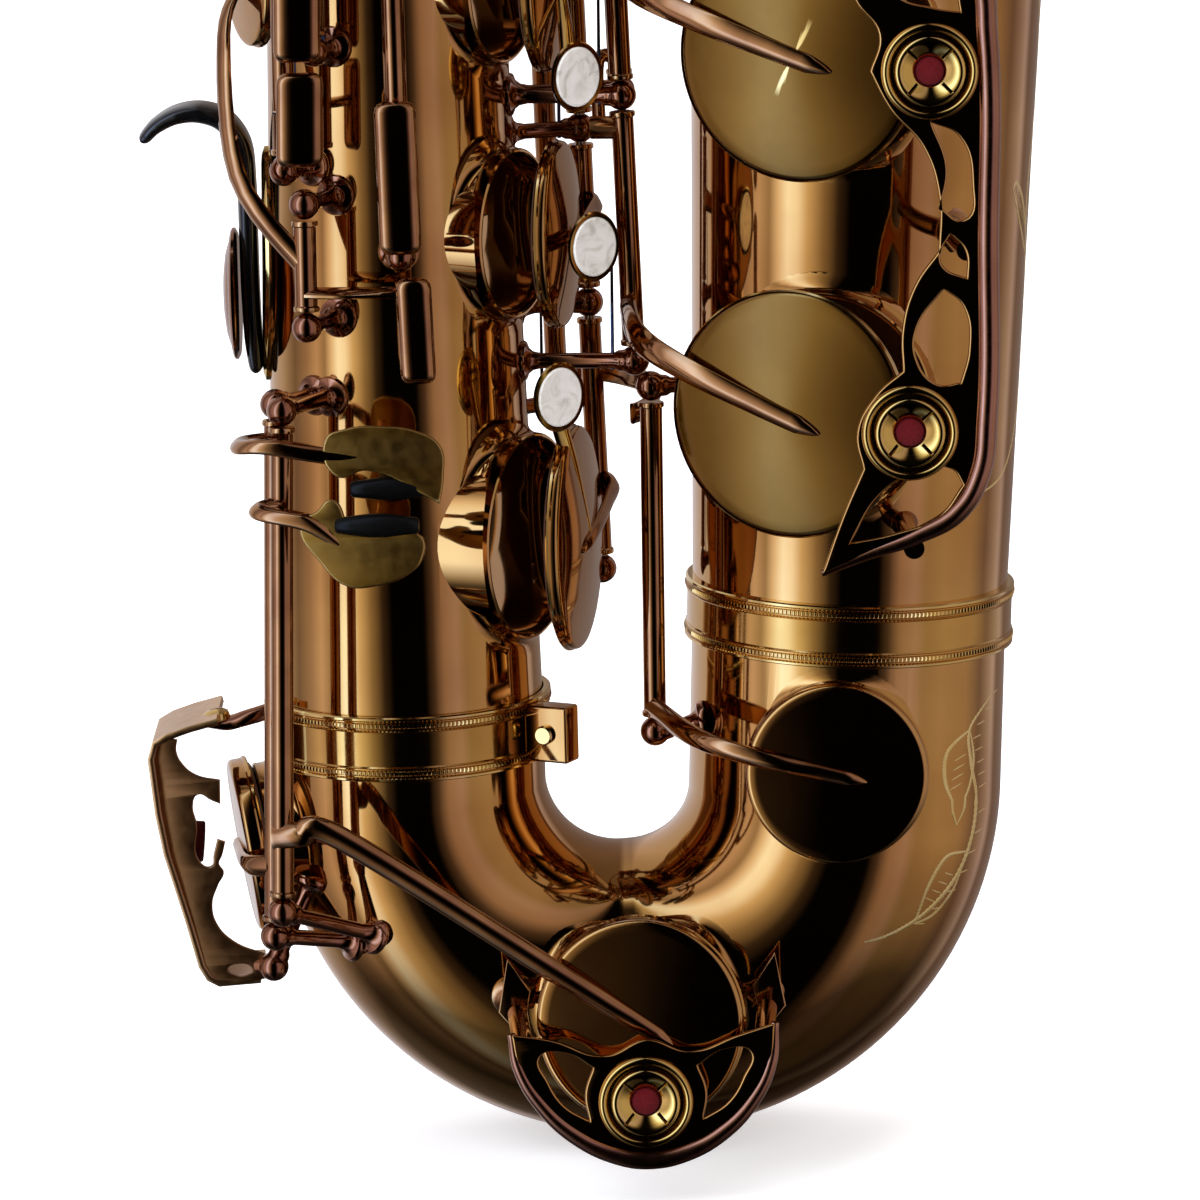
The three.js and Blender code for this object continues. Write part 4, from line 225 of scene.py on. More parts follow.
def piece_of(name, points, faces, edges=()):
    """A new piece from points and faces."""
    mesh = bpy.data.meshes.new(name)
    mesh.from_pydata([tuple(p) for p in points], list(edges), list(faces))
    piece = bpy.data.objects.new(name, mesh)
    bpy.context.collection.objects.link(piece)
    return piece


def stand(centre, way, side=None):
    """A placing whose Z axis lies along way and whose X axis leans towards side."""
    z = Vector(way).normalized()
    seed = Vector(side) if side is not None else (Vector((0, 0, 1)) if abs(z.z) < 0.9 else Vector((1, 0, 0)))
    x = (seed - z * seed.dot(z)).normalized()
    y = z.cross(x)
    placing = Matrix((x, y, z)).transposed().to_4x4()
    placing.translation = centre
    return placing


def turned(name, profile, centre, way, sides=48):
    """Spins a profile of (radius, height) points about the way from centre, as on a lathe."""
    piece = piece_of(name, [(r, 0, h) for r, h in profile], [], [(i, i + 1) for i in range(len(profile) - 1)])
    lathe = {"steps": sides, "angle": 2 * math.pi, "center": (0, 0, 0), "axis": (0, 0, 1)}
    edited(piece, (bpy.ops.mesh.spin, lathe), WELD, OUTWARD)
    piece.data.transform(stand(centre, way))
    return piece


def bar(name, start, end, radius, end_radius=None, sides=20, edge=0.25):
    """A round bar from start to end with its edges broken."""
    start, end = Vector(start), Vector(end)
    last = radius if end_radius is None else end_radius
    length = (end - start).length
    profile = [(0, 0), (radius - edge, 0), (radius, edge), (last, length - edge), (last - edge, length), (0, length)]
    return turned(name, profile, start, end - start, sides)


def skinned(name, rings, capped=True):
    """A skin over rings of equally many points."""
    count = len(rings[0])
    faces = []
    for i in range(len(rings) - 1):
        for j in range(count):
            k = (j + 1) % count
            faces.append((i * count + j, i * count + k, (i + 1) * count + k, (i + 1) * count + j))
    if capped:
        faces.append(tuple(range(count))[::-1])
        faces.append(tuple((len(rings) - 1) * count + j for j in range(count)))
    return piece_of(name, [p for ring in rings for p in ring], faces)


def circle(placing, radius, height, sides):
    """Points round the Z axis of a placing."""
    return [placing @ Vector((radius * math.cos(2 * math.pi * j / sides), radius * math.sin(2 * math.pi * j / sides),
                              height)) for j in range(sides)]


def hose(name, stations, wall, sides=128):
    """A tube through (centre, radius, way) stations: up along its outer wall, and back along the inner one."""
    walls = stations + [(centre, radius - wall, way) for centre, radius, way in reversed(stations)]
    rings = [circle(stand(centre, way, (0, 1, 0)), radius, 0, sides) for centre, radius, way in walls]
    return edited(skinned(name, [*rings, rings[0]], capped=False), WELD, OUTWARD)


def joined(name, pieces):
    """Joins pieces into one, which takes the first one's materials and adds the others'."""
    pick(*pieces)
    if len(pieces) > 1:
        bpy.ops.object.join()
    bpy.context.object.name = name
    bpy.context.object.data.name = name
    return bpy.context.object


def coated(piece, material):
    """Gives a piece its material, if it has none yet."""
    if not piece.data.materials:
        piece.data.materials.append(material)
    return piece


def opened(piece, hinge, hole_name, degrees):
    """Turns a piece that was laid out shut about its hinge, away from its tone hole."""
    low, axis, own = hinge["low"], hinge["axis"], HOLES[hole_name]
    away = 1 if axis.cross(own["rim"] - low).dot(own["normal"]) > 0 else -1
    piece.data.transform(Matrix.Translation(low) @ Matrix.Rotation(math.radians(degrees * away), 4, axis)
                         @ Matrix.Translation(-low))
    return piece


def fitted(node, parts, angle=38):
    """Joins the parts that stand for a CAD node, takes them to their place in the frame and smooths them."""
    piece = edited(joined(node + "_smooth", parts), OUTWARD)
    piece.data.transform(TO_FRAME)
    bpy.ops.object.shade_smooth_by_angle(angle=math.radians(angle))
    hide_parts(node)
    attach(piece, next(body for body, members in bodies.items() if node in members))


BODY_FOOT, BODY_TOP = 97.0, 690.0
BODY_FOOT_RADIUS, BODY_TOP_RADIUS = 30.2, 14.8
WALL = 1.2


def body_radius(height):
    share = (height - BODY_FOOT) / (BODY_TOP - BODY_FOOT)
    return BODY_FOOT_RADIUS + share * (BODY_TOP_RADIUS - BODY_FOOT_RADIUS)


def towards(azimuth):
    return Vector((math.cos(math.radians(azimuth)), math.sin(math.radians(azimuth)), 0))


def body_point(azimuth, height, lift=0.0):
    return Vector((0, 0, height)) + towards(azimuth) * (body_radius(height) + lift)


UP = Vector((0, 0, 1))
BOW_TURN_RADIUS, BOW_BOTTOM_RADIUS, BOW_BELL_RADIUS = 48.5, 33.6, 34.8
BOW_CENTRE = Vector((BOW_TURN_RADIUS, 0, BOW_TURN_RADIUS + BOW_BOTTOM_RADIUS))
LEAN = Matrix.Rotation(math.radians(2.5), 4, "Y")
BELL_AXIS = (LEAN @ UP).normalized()
BELL_ORIGIN = Vector((2 * BOW_TURN_RADIUS, 0, BOW_CENTRE.z))
BELL_FOOT = 120 - BOW_CENTRE.z
BELL_LENGTH = 385.0


def bell_radius(along):
    share = max((along - BELL_FOOT) / BELL_LENGTH, 0)
    return BOW_BELL_RADIUS + 9.2 * share + 31 * share ** 5


def bell_towards(azimuth):
    return (LEAN @ towards(azimuth)).normalized()


def bell_point(azimuth, along, lift=0.0):
    return BELL_ORIGIN + BELL_AXIS * along + bell_towards(azimuth) * (bell_radius(along) + lift)


BOW_SWEEP = 180 - 2.5


def bow_radius(turn):
    share = turn / BOW_SWEEP
    if share < 0.5:
        return BODY_FOOT_RADIUS + (BOW_BOTTOM_RADIUS - BODY_FOOT_RADIUS) * share * 2
    return BOW_BOTTOM_RADIUS + (BOW_BELL_RADIUS - BOW_BOTTOM_RADIUS) * (share * 2 - 1)


def bow_spoke(turn):
    return Vector((-math.cos(math.radians(turn)), 0, -math.sin(math.radians(turn))))


def bow_axis(turn):
    return BOW_CENTRE + bow_spoke(turn) * BOW_TURN_RADIUS


def bow_towards(turn, swing):
    return bow_spoke(turn) * math.cos(math.radians(swing)) + Vector((0, -math.sin(math.radians(swing)), 0))


def bow_point(turn, swing, lift=0.0):
    return bow_axis(turn) + bow_towards(turn, swing) * (bow_radius(turn) + lift)


# Tone holes: (axis point behind it, outward normal, bore, height of its rim above the axis point).
HOLES = {}
CHIMNEY_WALL = 1.1


def hole(name, root, normal, radius, bore):
    seat = radius + (3.0 if bore > 20 else 2.4)
    HOLES[name] = {"root": root, "normal": normal.normalized(), "bore": bore, "seat": seat,
                   "rim": root + normal.normalized() * seat}


for hole_name, height, azimuth, bore in [
    ("d", 140, -25, 43.5), ("e", 207, -25, 35), ("f", 262, -25, 33.5), ("f_sharp", 308, -25, 26),
    ("g_sharp", 352, 58, 23), ("g", 356, -22, 27), ("a", 397, -22, 23.5), ("bis", 430, -22, 14.5),
    ("b", 461, -22, 18.5), ("c", 492, -22, 15), ("trill", 262, -158, 20), ("side_b_flat", 440, -158, 18),
    ("side_c", 478, -158, 16), ("high_e", 594, -140, 14), ("high_f_sharp", 650, -118, 12),
    ("palm_d", 540, 62, 15), ("palm_e_flat", 584, 62, 14), ("palm_f", 628, 62, 13), ("octave", 552, 180, 4),
]:
    hole(hole_name, Vector((0, 0, height)), towards(azimuth), body_radius(height), bore)
BODY_HOLES = list(HOLES)
for hole_name, along, azimuth, bore in [("low_b_flat", 166, -104, 47.5), ("low_b", 89, -104, 47.5)]:
    hole(hole_name, BELL_ORIGIN + BELL_AXIS * along, bell_towards(azimuth), bell_radius(along), bore)
hole("low_c_sharp", BELL_ORIGIN + BELL_AXIS * 9, bell_towards(-95), BOW_BELL_RADIUS, 34)
hole("low_c", bow_axis(92), bow_towards(92, 97), bow_radius(92), 39.5)
hole("low_e_flat", bow_axis(8), bow_towards(8, 8), bow_radius(8), 33)


def body_surface(point):
    """The point's drop onto the body tube along the level line from its axis."""
    out = Vector((point.x, point.y, 0)).normalized()
    return Vector((0, 0, point.z)) + out * body_radius(point.z)


def bell_surface(point):
    along = (point - BELL_ORIGIN).dot(BELL_AXIS)
    foot = BELL_ORIGIN + BELL_AXIS * along
    return foot + (point - foot).normalized() * bell_radius(along)


def bow_surface(point):
    flat = Vector((point.x, 0, point.z)) - BOW_CENTRE
    turn = math.degrees(math.atan2(-flat.z, -flat.x))
    if not -60 < turn < BOW_SWEEP:
        along = (point - BELL_ORIGIN).dot(BELL_AXIS)
        foot = BELL_ORIGIN + BELL_AXIS * along if flat.x > 0 else Vector((0, 0, point.z))
        radius = BOW_BELL_RADIUS if flat.x > 0 else BODY_FOOT_RADIUS
        return foot + (point - foot).normalized() * radius
    if turn < 0:
        foot = Vector((0, 0, point.z))
        return foot + (point - foot).normalized() * BODY_FOOT_RADIUS
    foot = bow_axis(turn)
    return foot + (point - foot).normalized() * bow_radius(turn)


def drawn_chimney(name, surface):
    """A drawn tone hole: the wall sweeps up out of the tube into a level rim, with the bore inside it."""
    own = HOLES[name]
    inner = own["bore"] / 2
    outer = inner + CHIMNEY_WALL
    placing = stand(own["root"], own["normal"])
    sides, sweep = 72, min(4.0, own["bore"] * 0.16)
    foot = [surface(p) for p in circle(placing, outer + sweep, own["seat"], sides)]
    hip = [surface(p) for p in circle(placing, outer, own["seat"], sides)]
    top = circle(placing, outer, own["seat"] - 0.35, sides)
    rings = [[f - own["normal"] * 0.5 for f in foot]]
    for t in [step / 6 for step in range(7)]:
        rings.append([f.lerp(h, t).lerp(h.lerp(u, t), t) for f, h, u in zip(foot, hip, top)])
    for radius, drop in [(outer - 0.35, 0.0), (inner + 0.35, 0.0), (inner, 0.35), (inner, own["seat"] * 0.45)]:
        rings.append(circle(placing, radius, own["seat"] - drop, sides))
    return coated(skinned(name + "_chimney", rings), body_lacquer)


def bored(piece, names):
    """Cuts the tone holes' bores out of a tube."""
    drills = [bar("drill", HOLES[n]["root"], HOLES[n]["rim"] + HOLES[n]["normal"] * 4, HOLES[n]["bore"] / 2 + 0.02,
                  sides=48) for n in names]
    return coated(cut(piece, joined("drills", drills)), body_lacquer)


# Lacquered brass: a buffed mirror under tinted lacquer, which lies a little thicker and darker in places, with
# fine polishing lines, and a brighter tint on the edges: partly bright metal where hands and cases have thinned the
# lacquer, partly a painted highlight where the edges catch light.
def lacquered(name, thick, thin, worn_and_highlit_edge_tint, roughness, grain_mm=26.0, edge_wear_and_highlight=0.35):
    material, tree, spot = blank_material(name)
    cloud = add_node(tree, "ShaderNodeTexNoise", inputs={"Vector": spot, "Scale": 1000 / grain_mm, "Detail": 3.0})
    tint = add_node(tree, "ShaderNodeValToRGB", inputs={0: cloud.outputs[0]})
    set_ramp(tint.color_ramp, [(0.32, colour(thick)), (0.72, colour(thin))])
    # Pointiness brightens the edges towards the worn tint: partly wear of the lacquer, partly a painted highlight.
    edge = add_node(tree, "ShaderNodeNewGeometry")
    edge_wear_and_highlight_mask = add_node(tree, "ShaderNodeValToRGB", inputs={0: edge.outputs["Pointiness"]})
    set_ramp(edge_wear_and_highlight_mask.color_ramp, [(0.52, grey(0)), (0.62, grey(edge_wear_and_highlight))])
    base = add_node(tree, "ShaderNodeMix", {"data_type": "RGBA"},
                    {0: edge_wear_and_highlight_mask.outputs[0], 6: tint.outputs[0], 7: colour(worn_and_highlit_edge_tint)})
    haze = add_node(tree, "ShaderNodeTexNoise", inputs={"Vector": spot, "Scale": 420.0, "Detail": 4.0})
    dull = add_node(tree, "ShaderNodeMapRange",
                    inputs={0: haze.outputs[0], 1: 0.3, 2: 0.75, 3: roughness * 0.85, 4: roughness * 1.25})
    ripple = add_node(tree, "ShaderNodeBump", inputs={"Strength": 0.012, "Distance": 0.001, "Height": cloud.outputs[0]})
    return finished(material, {
        "Base Color": base.outputs[2], "Metallic": 1.0, "Roughness": dull.outputs[0], "Normal": ripple.outputs[0],
        "Coat Weight": 0.25, "Coat Roughness": 0.03})


def finished(material, surface):
    """Ends a material's tree in its one surface."""
    shader = add_node(material.node_tree, "ShaderNodeBsdfPrincipled", inputs=surface)
    add_node(material.node_tree, "ShaderNodeOutputMaterial", inputs={0: shader.outputs[0]})
    return material


# The tubes' dark bronze lacquer, and the redder copper one of the posts soldered to them.
body_lacquer = lacquered("bronze lacquered brass", "#b27d40", "#c6934f", "#e6bb74", 0.06)
post_lacquer = lacquered("copper lacquered posts", "#8d5a40", "#a06a4a", "#c89468", 0.11, 9.0)

# The springs' steel, blued by heat, with the streaks that this leaves.
blued_steel, blue_tree, blue_spot = blank_material("blued steel needle springs")
blue_haze = add_node(blue_tree, "ShaderNodeTexNoise", inputs={"Vector": blue_spot, "Scale": 300.0})
blue_tint = add_node(blue_tree, "ShaderNodeValToRGB", inputs={0: blue_haze.outputs[0]})
set_ramp(blue_tint.color_ramp, [(0.35, colour("#2c3650")), (0.65, colour("#4a5064"))])
finished(blued_steel, {"Base Color": blue_tint.outputs[0], "Metallic": 1.0, "Roughness": 0.22})


BALL_RADIUS = 3.3


def post(foot, head):
    """A ball post: a flared foot soldered to the tube, a waisted stem, and the ball that holds the pivot."""
    foot, head = Vector(foot), Vector(head)
    length = (head - foot).length
    under = length - BALL_RADIUS
    profile = [(0, -0.8), (4.4, -0.8), (4.5, 0.1), (4.2, 0.7), (2.9, 1.2), (2.1, 2.2), (1.7, min(4, length * 0.4)),
               (1.75, under - 1.2), (2.3, under - 0.2), (2.35, under + 0.3)]
    profile += [(BALL_RADIUS * math.sin(a), length - BALL_RADIUS * math.cos(a)) for a in
                [math.radians(t) for t in (48, 60, 75, 90, 105, 120, 135, 150, 165)]] + [(0, length + BALL_RADIUS)]
    return coated(turned("post", profile, foot, head - foot, 28), post_lacquer)


def hinge_between(low, high):
    low, high = Vector(low), Vector(high)
    return {"low": low, "high": high, "axis": (high - low).normalized()}


def on_hinge(hinge, height):
    return hinge["low"] + hinge["axis"] * ((height - hinge["low"].z) / hinge["axis"].z)


HINGES = {}
body_posts = []
for hinge_name, azimuth, reach, stops in [
    ("stack", 18, 16.8, [127, 187.5, 226.5, 286, 328]), ("upper_stack", 20, 14.5, [336, 379, 444, 508]),
    ("low_b", -8, 24.6, [177.5, 236, 414]), ("low_b_lever", 3, 24, [236, 414]),
    ("c_sharp_lever", 44, 20, [162, 380]), ("g_sharp", 96, 9.5, [322, 392]), ("trill", -115, 14.8, [191.5, 218]),
    ("side_b_flat", -128, 9, [224, 458]), ("side_c", -115, 9, [250, 494]), ("high_e", -101, 9, [270, 608]),
    ("high_f_sharp", -86, 9, [206, 664]), ("palm_d", 98, 8.4, [508, 552]), ("palm_e_flat", 98, 8.4, [560, 596]),
    ("palm_f", 98, 8.4, [604, 642]), ("octave", 150, 7.4, [538, 568]), ("octave_lever", 138, 8, [498, 530]),
]:
    HINGES[hinge_name] = hinge_between(body_point(azimuth, stops[0], reach), body_point(azimuth, stops[-1], reach))
    HINGES[hinge_name]["stops"] = stops
    for stop in stops:
        body_posts.append(post(body_point(azimuth, stop), on_hinge(HINGES[hinge_name], stop)))
# A needle spring runs up from each of the main posts, inside its rod.
body_springs = []
for hinge_name in ["stack", "upper_stack", "low_b", "c_sharp_lever", "g_sharp", "side_b_flat", "side_c", "high_e"]:
    own = HINGES[hinge_name]
    for stop in own["stops"][:-1]:
        head = on_hinge(own, stop)
        inward = -Vector((head.x, head.y, 0)).normalized()
        spring = bar("spring", head + inward * 4.9 - own["axis"] * 2, head + inward * 3.6 + own["axis"] * 30,
                     0.42, 0.3, 8, 0.05)
        body_springs.append(coated(spring, blued_steel))
HINGES["low_c"] = hinge_between((-27.4, -42, 63.6), body_point(-120, 174, 19.5))
HINGES["low_e_flat"] = hinge_between((-29.6, -33, 56), body_point(-128.5, 174, 13))
HINGES["low_c_sharp"] = hinge_between((54.8, -13, 95.4), (55.6, -13, 172.7))
body_posts.append(post(body_point(-120, 174), HINGES["low_c"]["high"]))
body_posts.append(post(body_point(-128.5, 174), HINGES["low_e_flat"]["high"]))

body_stations = [(Vector((0, 0, h)), body_radius(h), UP) for h in
                 [BODY_FOOT + i * (BODY_TOP - BODY_FOOT) / 24 for i in range(25)]]
tube = bored(hose("tube", body_stations, WALL), BODY_HOLES)
chimneys = [drawn_chimney(n, body_surface) for n in BODY_HOLES]
fitted("body_tube", [tube, *chimneys, *body_posts, *body_springs])


# Bow. Two half shells stamped and brazed along the U's sides, with the low C, C sharp and E flat holes drawn in
# it, and the feet of the right little finger's posts.

bow_stations = [(Vector((0, 0, BODY_FOOT - 0.4)), BODY_FOOT_RADIUS, -UP)]
for i in range(73):
    sweep_turn = BOW_SWEEP * i / 72
    bow_way = Vector((math.sin(math.radians(sweep_turn)), 0, -math.cos(math.radians(sweep_turn))))
    bow_stations.append((bow_axis(sweep_turn), bow_radius(sweep_turn), bow_way))
bow_stations.append((BELL_ORIGIN + BELL_AXIS * (BELL_FOOT - 0.4), BOW_BELL_RADIUS, BELL_AXIS))
BOW_HOLES = ["low_c_sharp", "low_c", "low_e_flat"]
bow_tube = bored(hose("bow_tube", bow_stations, WALL), BOW_HOLES)
bow_chimneys = [drawn_chimney(n, bow_surface) for n in BOW_HOLES]


def routed(points, steps):
    """Yields the number of the last point, the share to the next, the place and the way along a smooth line."""
    count = len(points)
    for i in range(count - 1):
        before, start = points[max(i - 1, 0)], points[i]
        end, after = points[i + 1], points[min(i + 2, count - 1)]
        leave, arrive = (end - before) / 2, (after - start) / 2
        for step in range(steps + (i == count - 2)):
            t = step / steps
            spot = (start * (2 * t ** 3 - 3 * t ** 2 + 1) + leave * (t ** 3 - 2 * t ** 2 + t)
                    + end * (3 * t ** 2 - 2 * t ** 3) + arrive * (t ** 3 - t ** 2))
            way = (start * (6 * t ** 2 - 6 * t) + leave * (3 * t ** 2 - 4 * t + 1)
                   + end * (6 * t - 6 * t ** 2) + arrive * (3 * t ** 2 - 2 * t)).normalized()
            yield i, t, spot, way


def stroke(place, points, width):
    """A stroke of the graver through places of a surface: it swells from its ends, and rocks from side to side."""
    line = [spot for _, _, spot, _ in routed([Vector((*p, 0)) for p in points], 20)]
    rings = []
    for i, spot in enumerate(line):
        here = place(spot.x, spot.y)
        ahead = place(*line[min(i + 1, len(line) - 1)].xy) - place(*line[max(i - 1, 0)].xy)
        normal = (place(spot.x, spot.y, 1.0) - here).normalized()
        side = normal.cross(ahead).normalized()
        half = width / 2 * (0.2 + 0.8 * math.sin(math.pi * i / (len(line) - 1)) ** 0.6) * (1 if i % 2 else 0.7)
        rings.append([here + side * (a * half) + normal * up
                      for a, up in [(-1, -0.1), (-0.6, 0.05), (0.6, 0.05), (1, -0.1)]])
    return coated(skinned("stroke", rings), cut_brass)


def leaf(place, root, tip, belly, width=1.0):
    """A leaf of two edges and a hatched half."""
    root, tip, belly = Vector(root), Vector(tip), Vector(belly)
    made = [stroke(place, [root, root.lerp(tip, 0.3) + belly * 0.95, root.lerp(tip, 0.68) + belly * 0.8, tip], width),
            stroke(place, [root, root.lerp(tip, 0.35) - belly * 0.5, root.lerp(tip, 0.72) - belly * 0.45, tip],
                   width * 0.8)]
    for share in (0.3, 0.42, 0.54, 0.66):
        made.append(stroke(place, [root.lerp(tip, share), root.lerp(tip, share + 0.1) + belly * 0.55], 0.5))
    return made


def heel_lift(height):
    """How far the bow's bottom is pressed up where the horn is set down."""
    return 0.82 * max(1 - height / BODY_FOOT, 0) ** 2


def heel_point(turn, swing, lift=0.0):
    """A place on the bow, whose turn runs on past its end up the straight foot of the bell."""
    if turn > BOW_SWEEP:
        along = math.radians(turn - BOW_SWEEP) * BOW_TURN_RADIUS
        spot = BELL_ORIGIN + BELL_AXIS * along + bell_towards(-swing) * (BOW_BELL_RADIUS + lift)
    else:
        spot = bow_point(turn, swing, lift)
    return spot + UP * heel_lift(spot.z)


# The graver's cuts show the bare bright brass.
cut_brass = lacquered("bright cut brass", "#f2d27a", "#ffe6a0", "#ffeeb8", 0.45, 6.0)
heel_stem = [(203.5, 26), (196, 41), (186.5, 40), (177, 36), (167.5, 39.5), (159.5, 49.5), (152.5, 62), (148.5, 71)]
bow_engraving = [stroke(heel_point, heel_stem, 1.9), *leaf(heel_point, (195.5, 41.5), (174.5, 47), (1.5, 10), 1.8),
                 *leaf(heel_point, (169.5, 39), (155.5, 55), (3.5, 6.5), 1.5)]
for i, (turn_, swing) in enumerate([(203 - 3.4 * k, s) for k, s in enumerate(
        [27, 33, 38.5, 41, 39.5, 38, 37, 36, 36, 37, 39.5, 42.5, 46.5, 51.5, 57])]):
    bow_engraving.append(stroke(heel_point, [(turn_, swing - 1.5), (turn_ + 0.5, swing - 7)], 0.5))
bow_posts = [post(bow_point(26, 62), HINGES["low_c"]["low"]), post(bow_point(26, 50), HINGES["low_e_flat"]["low"]),
             post(bell_point(-158, 14), HINGES["low_c_sharp"]["low"])]
for made in [bow_tube, *bow_chimneys]:
    for vertex in made.data.vertices:
        vertex.co.z += heel_lift(vertex.co.z)
fitted("bow", [bow_tube, *bow_chimneys, *bow_posts, *bow_engraving])


# Bell. Hammered and drawn over a mandrel, its rim rolled round a wire, with the two biggest holes on its side and
# leaves engraved by hand.

def oval_section(reach, height, wide, tall, steps=20, turn=2 * math.pi):
    """The lathe profile of a wire: an oval from its outermost point, or a part of one."""
    return [(reach + wide * math.cos(turn * i / steps), height + tall * math.sin(turn * i / steps))
            for i in range(steps + 1)]


bell_stations = []
for i in range(61):
    bell_along = BELL_FOOT + BELL_LENGTH * (i / 60) ** 0.7
    bell_stations.append((BELL_ORIGIN + BELL_AXIS * bell_along, bell_radius(bell_along), BELL_AXIS))
BELL_HOLES = ["low_b", "low_b_flat"]
bell_tube = bored(hose("bell_tube", bell_stations, WALL), BELL_HOLES)
bell_top = BELL_FOOT + BELL_LENGTH
rim_reach = bell_radius(bell_top)
rim = coated(turned("rim", oval_section(rim_reach + 1.4, bell_top - 2.0, 2.2, 2.0), BELL_ORIGIN, BELL_AXIS, 128),
             body_lacquer)
bell_chimneys = [drawn_chimney(n, bell_surface) for n in BELL_HOLES]
bell_post = post(bell_point(-163, 89), HINGES["low_c_sharp"]["high"])
bell_stem = [(-40, 68), (-24, 72), (-10, 84), (-4, 104), (-14, 130), (-6, 158), (-16, 188), (-6, 218), (-14, 250),
             (0, 282), (-10, 314), (4, 346), (20, 366)]
bell_engraving = [stroke(bell_point, bell_stem, 1.9)]
for root, tip, belly in [
    ((-10, 84), (16, 96), (6, 8)), ((-8, 118), (-30, 134), (-5, 8)), ((-8, 148), (18, 166), (8, 6)),
    ((-10, 200), (14, 222), (8, 6)), ((-9, 232), (-34, 250), (-5, 8)), ((-4, 268), (20, 292), (8, 6)),
    ((-5, 298), (-32, 318), (-6, 9)), ((-4, 328), (30, 340), (4, 9)), ((8, 352), (-22, 364), (-3, 7)),
]:
    bell_engraving += leaf(bell_point, root, tip, belly, 1.6)
fitted("bell", [bell_tube, rim, *bell_chimneys, bell_post, *bell_engraving])


# Clamp rings. Two turned brass rings hide the joints of the bow, each with two knurled beads; the one round the
# body is drawn together by a block with a screw.

KNURL_PITCH = 0.95


def knurled_band(radius, low, high, origin, axis):
    """A clamp ring as turned: plain edge beads, a knurled bead inside each, and a flat band between them."""
    teeth = round(2 * math.pi * (radius + 2) / KNURL_PITCH)
    sides = teeth * 4
    inner = radius + 0.1
    height = high - low
    bead = [(1.15, 0.0, 0), (1.55, 0.25, 0), (1.6, 0.7, 0), (1.2, 1.05, 0), (1.2, 1.25, 0), (1.65, 1.45, 0.22),
            (1.75, 1.9, 0.3), (1.65, 2.35, 0.22), (1.2, 2.6, 0), (1.15, 2.85, 0), (1.4, 3.1, 0), (1.15, 3.4, 0)]
    profile = [(0.0, 0.0, 0)] + bead
    profile += [(lift, height - at, tooth) for lift, at, tooth in reversed(bead)] + [(0.0, height, 0)]
    placing = stand(origin + axis * low, axis, (0, 1, 0))
    rings = []
    for lift, at, tooth in profile:
        crest = circle(placing, inner + lift, at, sides)
        trough = circle(placing, inner + lift - tooth, at, sides)
        rings.append([trough[j] if j % 4 in (0, 1) else crest[j] for j in range(sides)])
    return coated(skinned("ring", [*rings, rings[0]], capped=False), band_lacquer)


def rounded_box(name, centre, size, placing=None, radius=0.8):
    """A block with rounded edges, of size along the placing's axes."""
    bpy.ops.object.select_all(action="DESELECT")
    bpy.ops.mesh.primitive_cube_add(size=1)
    piece = bpy.context.object
    piece.name = name
    piece.data.transform(Matrix.Diagonal((*size, 1)))
    edited(piece, (bpy.ops.mesh.bevel, {"offset": radius, "segments": 5}))
    piece.data.transform(Matrix.Translation(centre) @ (placing or Matrix()))
    return piece


# The rings' yellower lacquer, brighter on the knurls where it is worn and where a painted highlight stands for the
# light they catch, and the clear lacquer over gold brass of the small turned parts.
band_lacquer = lacquered("bronze lacquered ring", "#b98a44", "#cf9f54", "#f7dc90", 0.1, 20.0, 1.0)
gold_lacquer = lacquered("clear lacquered gold brass", "#cfa552", "#e3bf6a", "#f8e2a0", 0.1, 12.0, 0.5)
body_ring = knurled_band(BODY_FOOT_RADIUS, 89.4, 103.8, Vector((0, 0, 0)), UP)
lug_way = towards(-28)
lug_centre = Vector((0, 0, 96.6)) + lug_way * (BODY_FOOT_RADIUS + 6)
lug_turn = stand((0, 0, 0), lug_way, UP)
lug = coated(rounded_box("lug", lug_centre, (12.6, 6, 10.6), lug_turn, 0.7), body_lacquer)
lug_across = UP.cross(lug_way)
lug_screw = coated(bar("lug_screw", lug_centre - lug_across * 4.4, lug_centre - lug_across * 2.6, 2.2, edge=0.4),
                   gold_lacquer)
fitted("body_bow_ring", [body_ring, lug, lug_screw], 30)
bell_ring = knurled_band(BOW_BELL_RADIUS, 113.2 - BOW_CENTRE.z, 126.8 - BOW_CENTRE.z, BELL_ORIGIN, BELL_AXIS)
fitted("bell_bow_ring", [bell_ring], 30)


# Thumb hook on its plate, on the player's side of the body: the hook is moulded black plastic and slides under a
# big domed screw.

def strap(name, points, face, widths, thick, steps=6):
    """A forged arm through points: flat beneath, with a soft ridge on the side that looks towards face."""
    points = [Vector(p) for p in points]
    count = len(points)
    faces = [Vector(f) for f in face] if isinstance(face, list) else [Vector(face)] * count
    widths = widths if isinstance(widths, list) else [widths] * count
    thicks = thick if isinstance(thick, list) else [thick] * count
    section = [(-0.82, 0), (-1, 0.16), (-1, 0.4), (-0.82, 0.66), (-0.45, 0.86), (-0.1, 1), (0.1, 1), (0.45, 0.86),
               (0.82, 0.66), (1, 0.4), (1, 0.16), (0.82, 0)]
    rings = []
    for i, t, spot, way in routed(points, steps):
        lift = faces[i].lerp(faces[i + 1], t)
        lift = (lift - way * lift.dot(way)).normalized()
        side = way.cross(lift)
        half = (widths[i] + (widths[i + 1] - widths[i]) * t) / 2
        tall = thicks[i] + (thicks[i + 1] - thicks[i]) * t
        rings.append([spot + side * (a * half) + lift * (r * tall) for a, r in section])
    return skinned(name, rings)


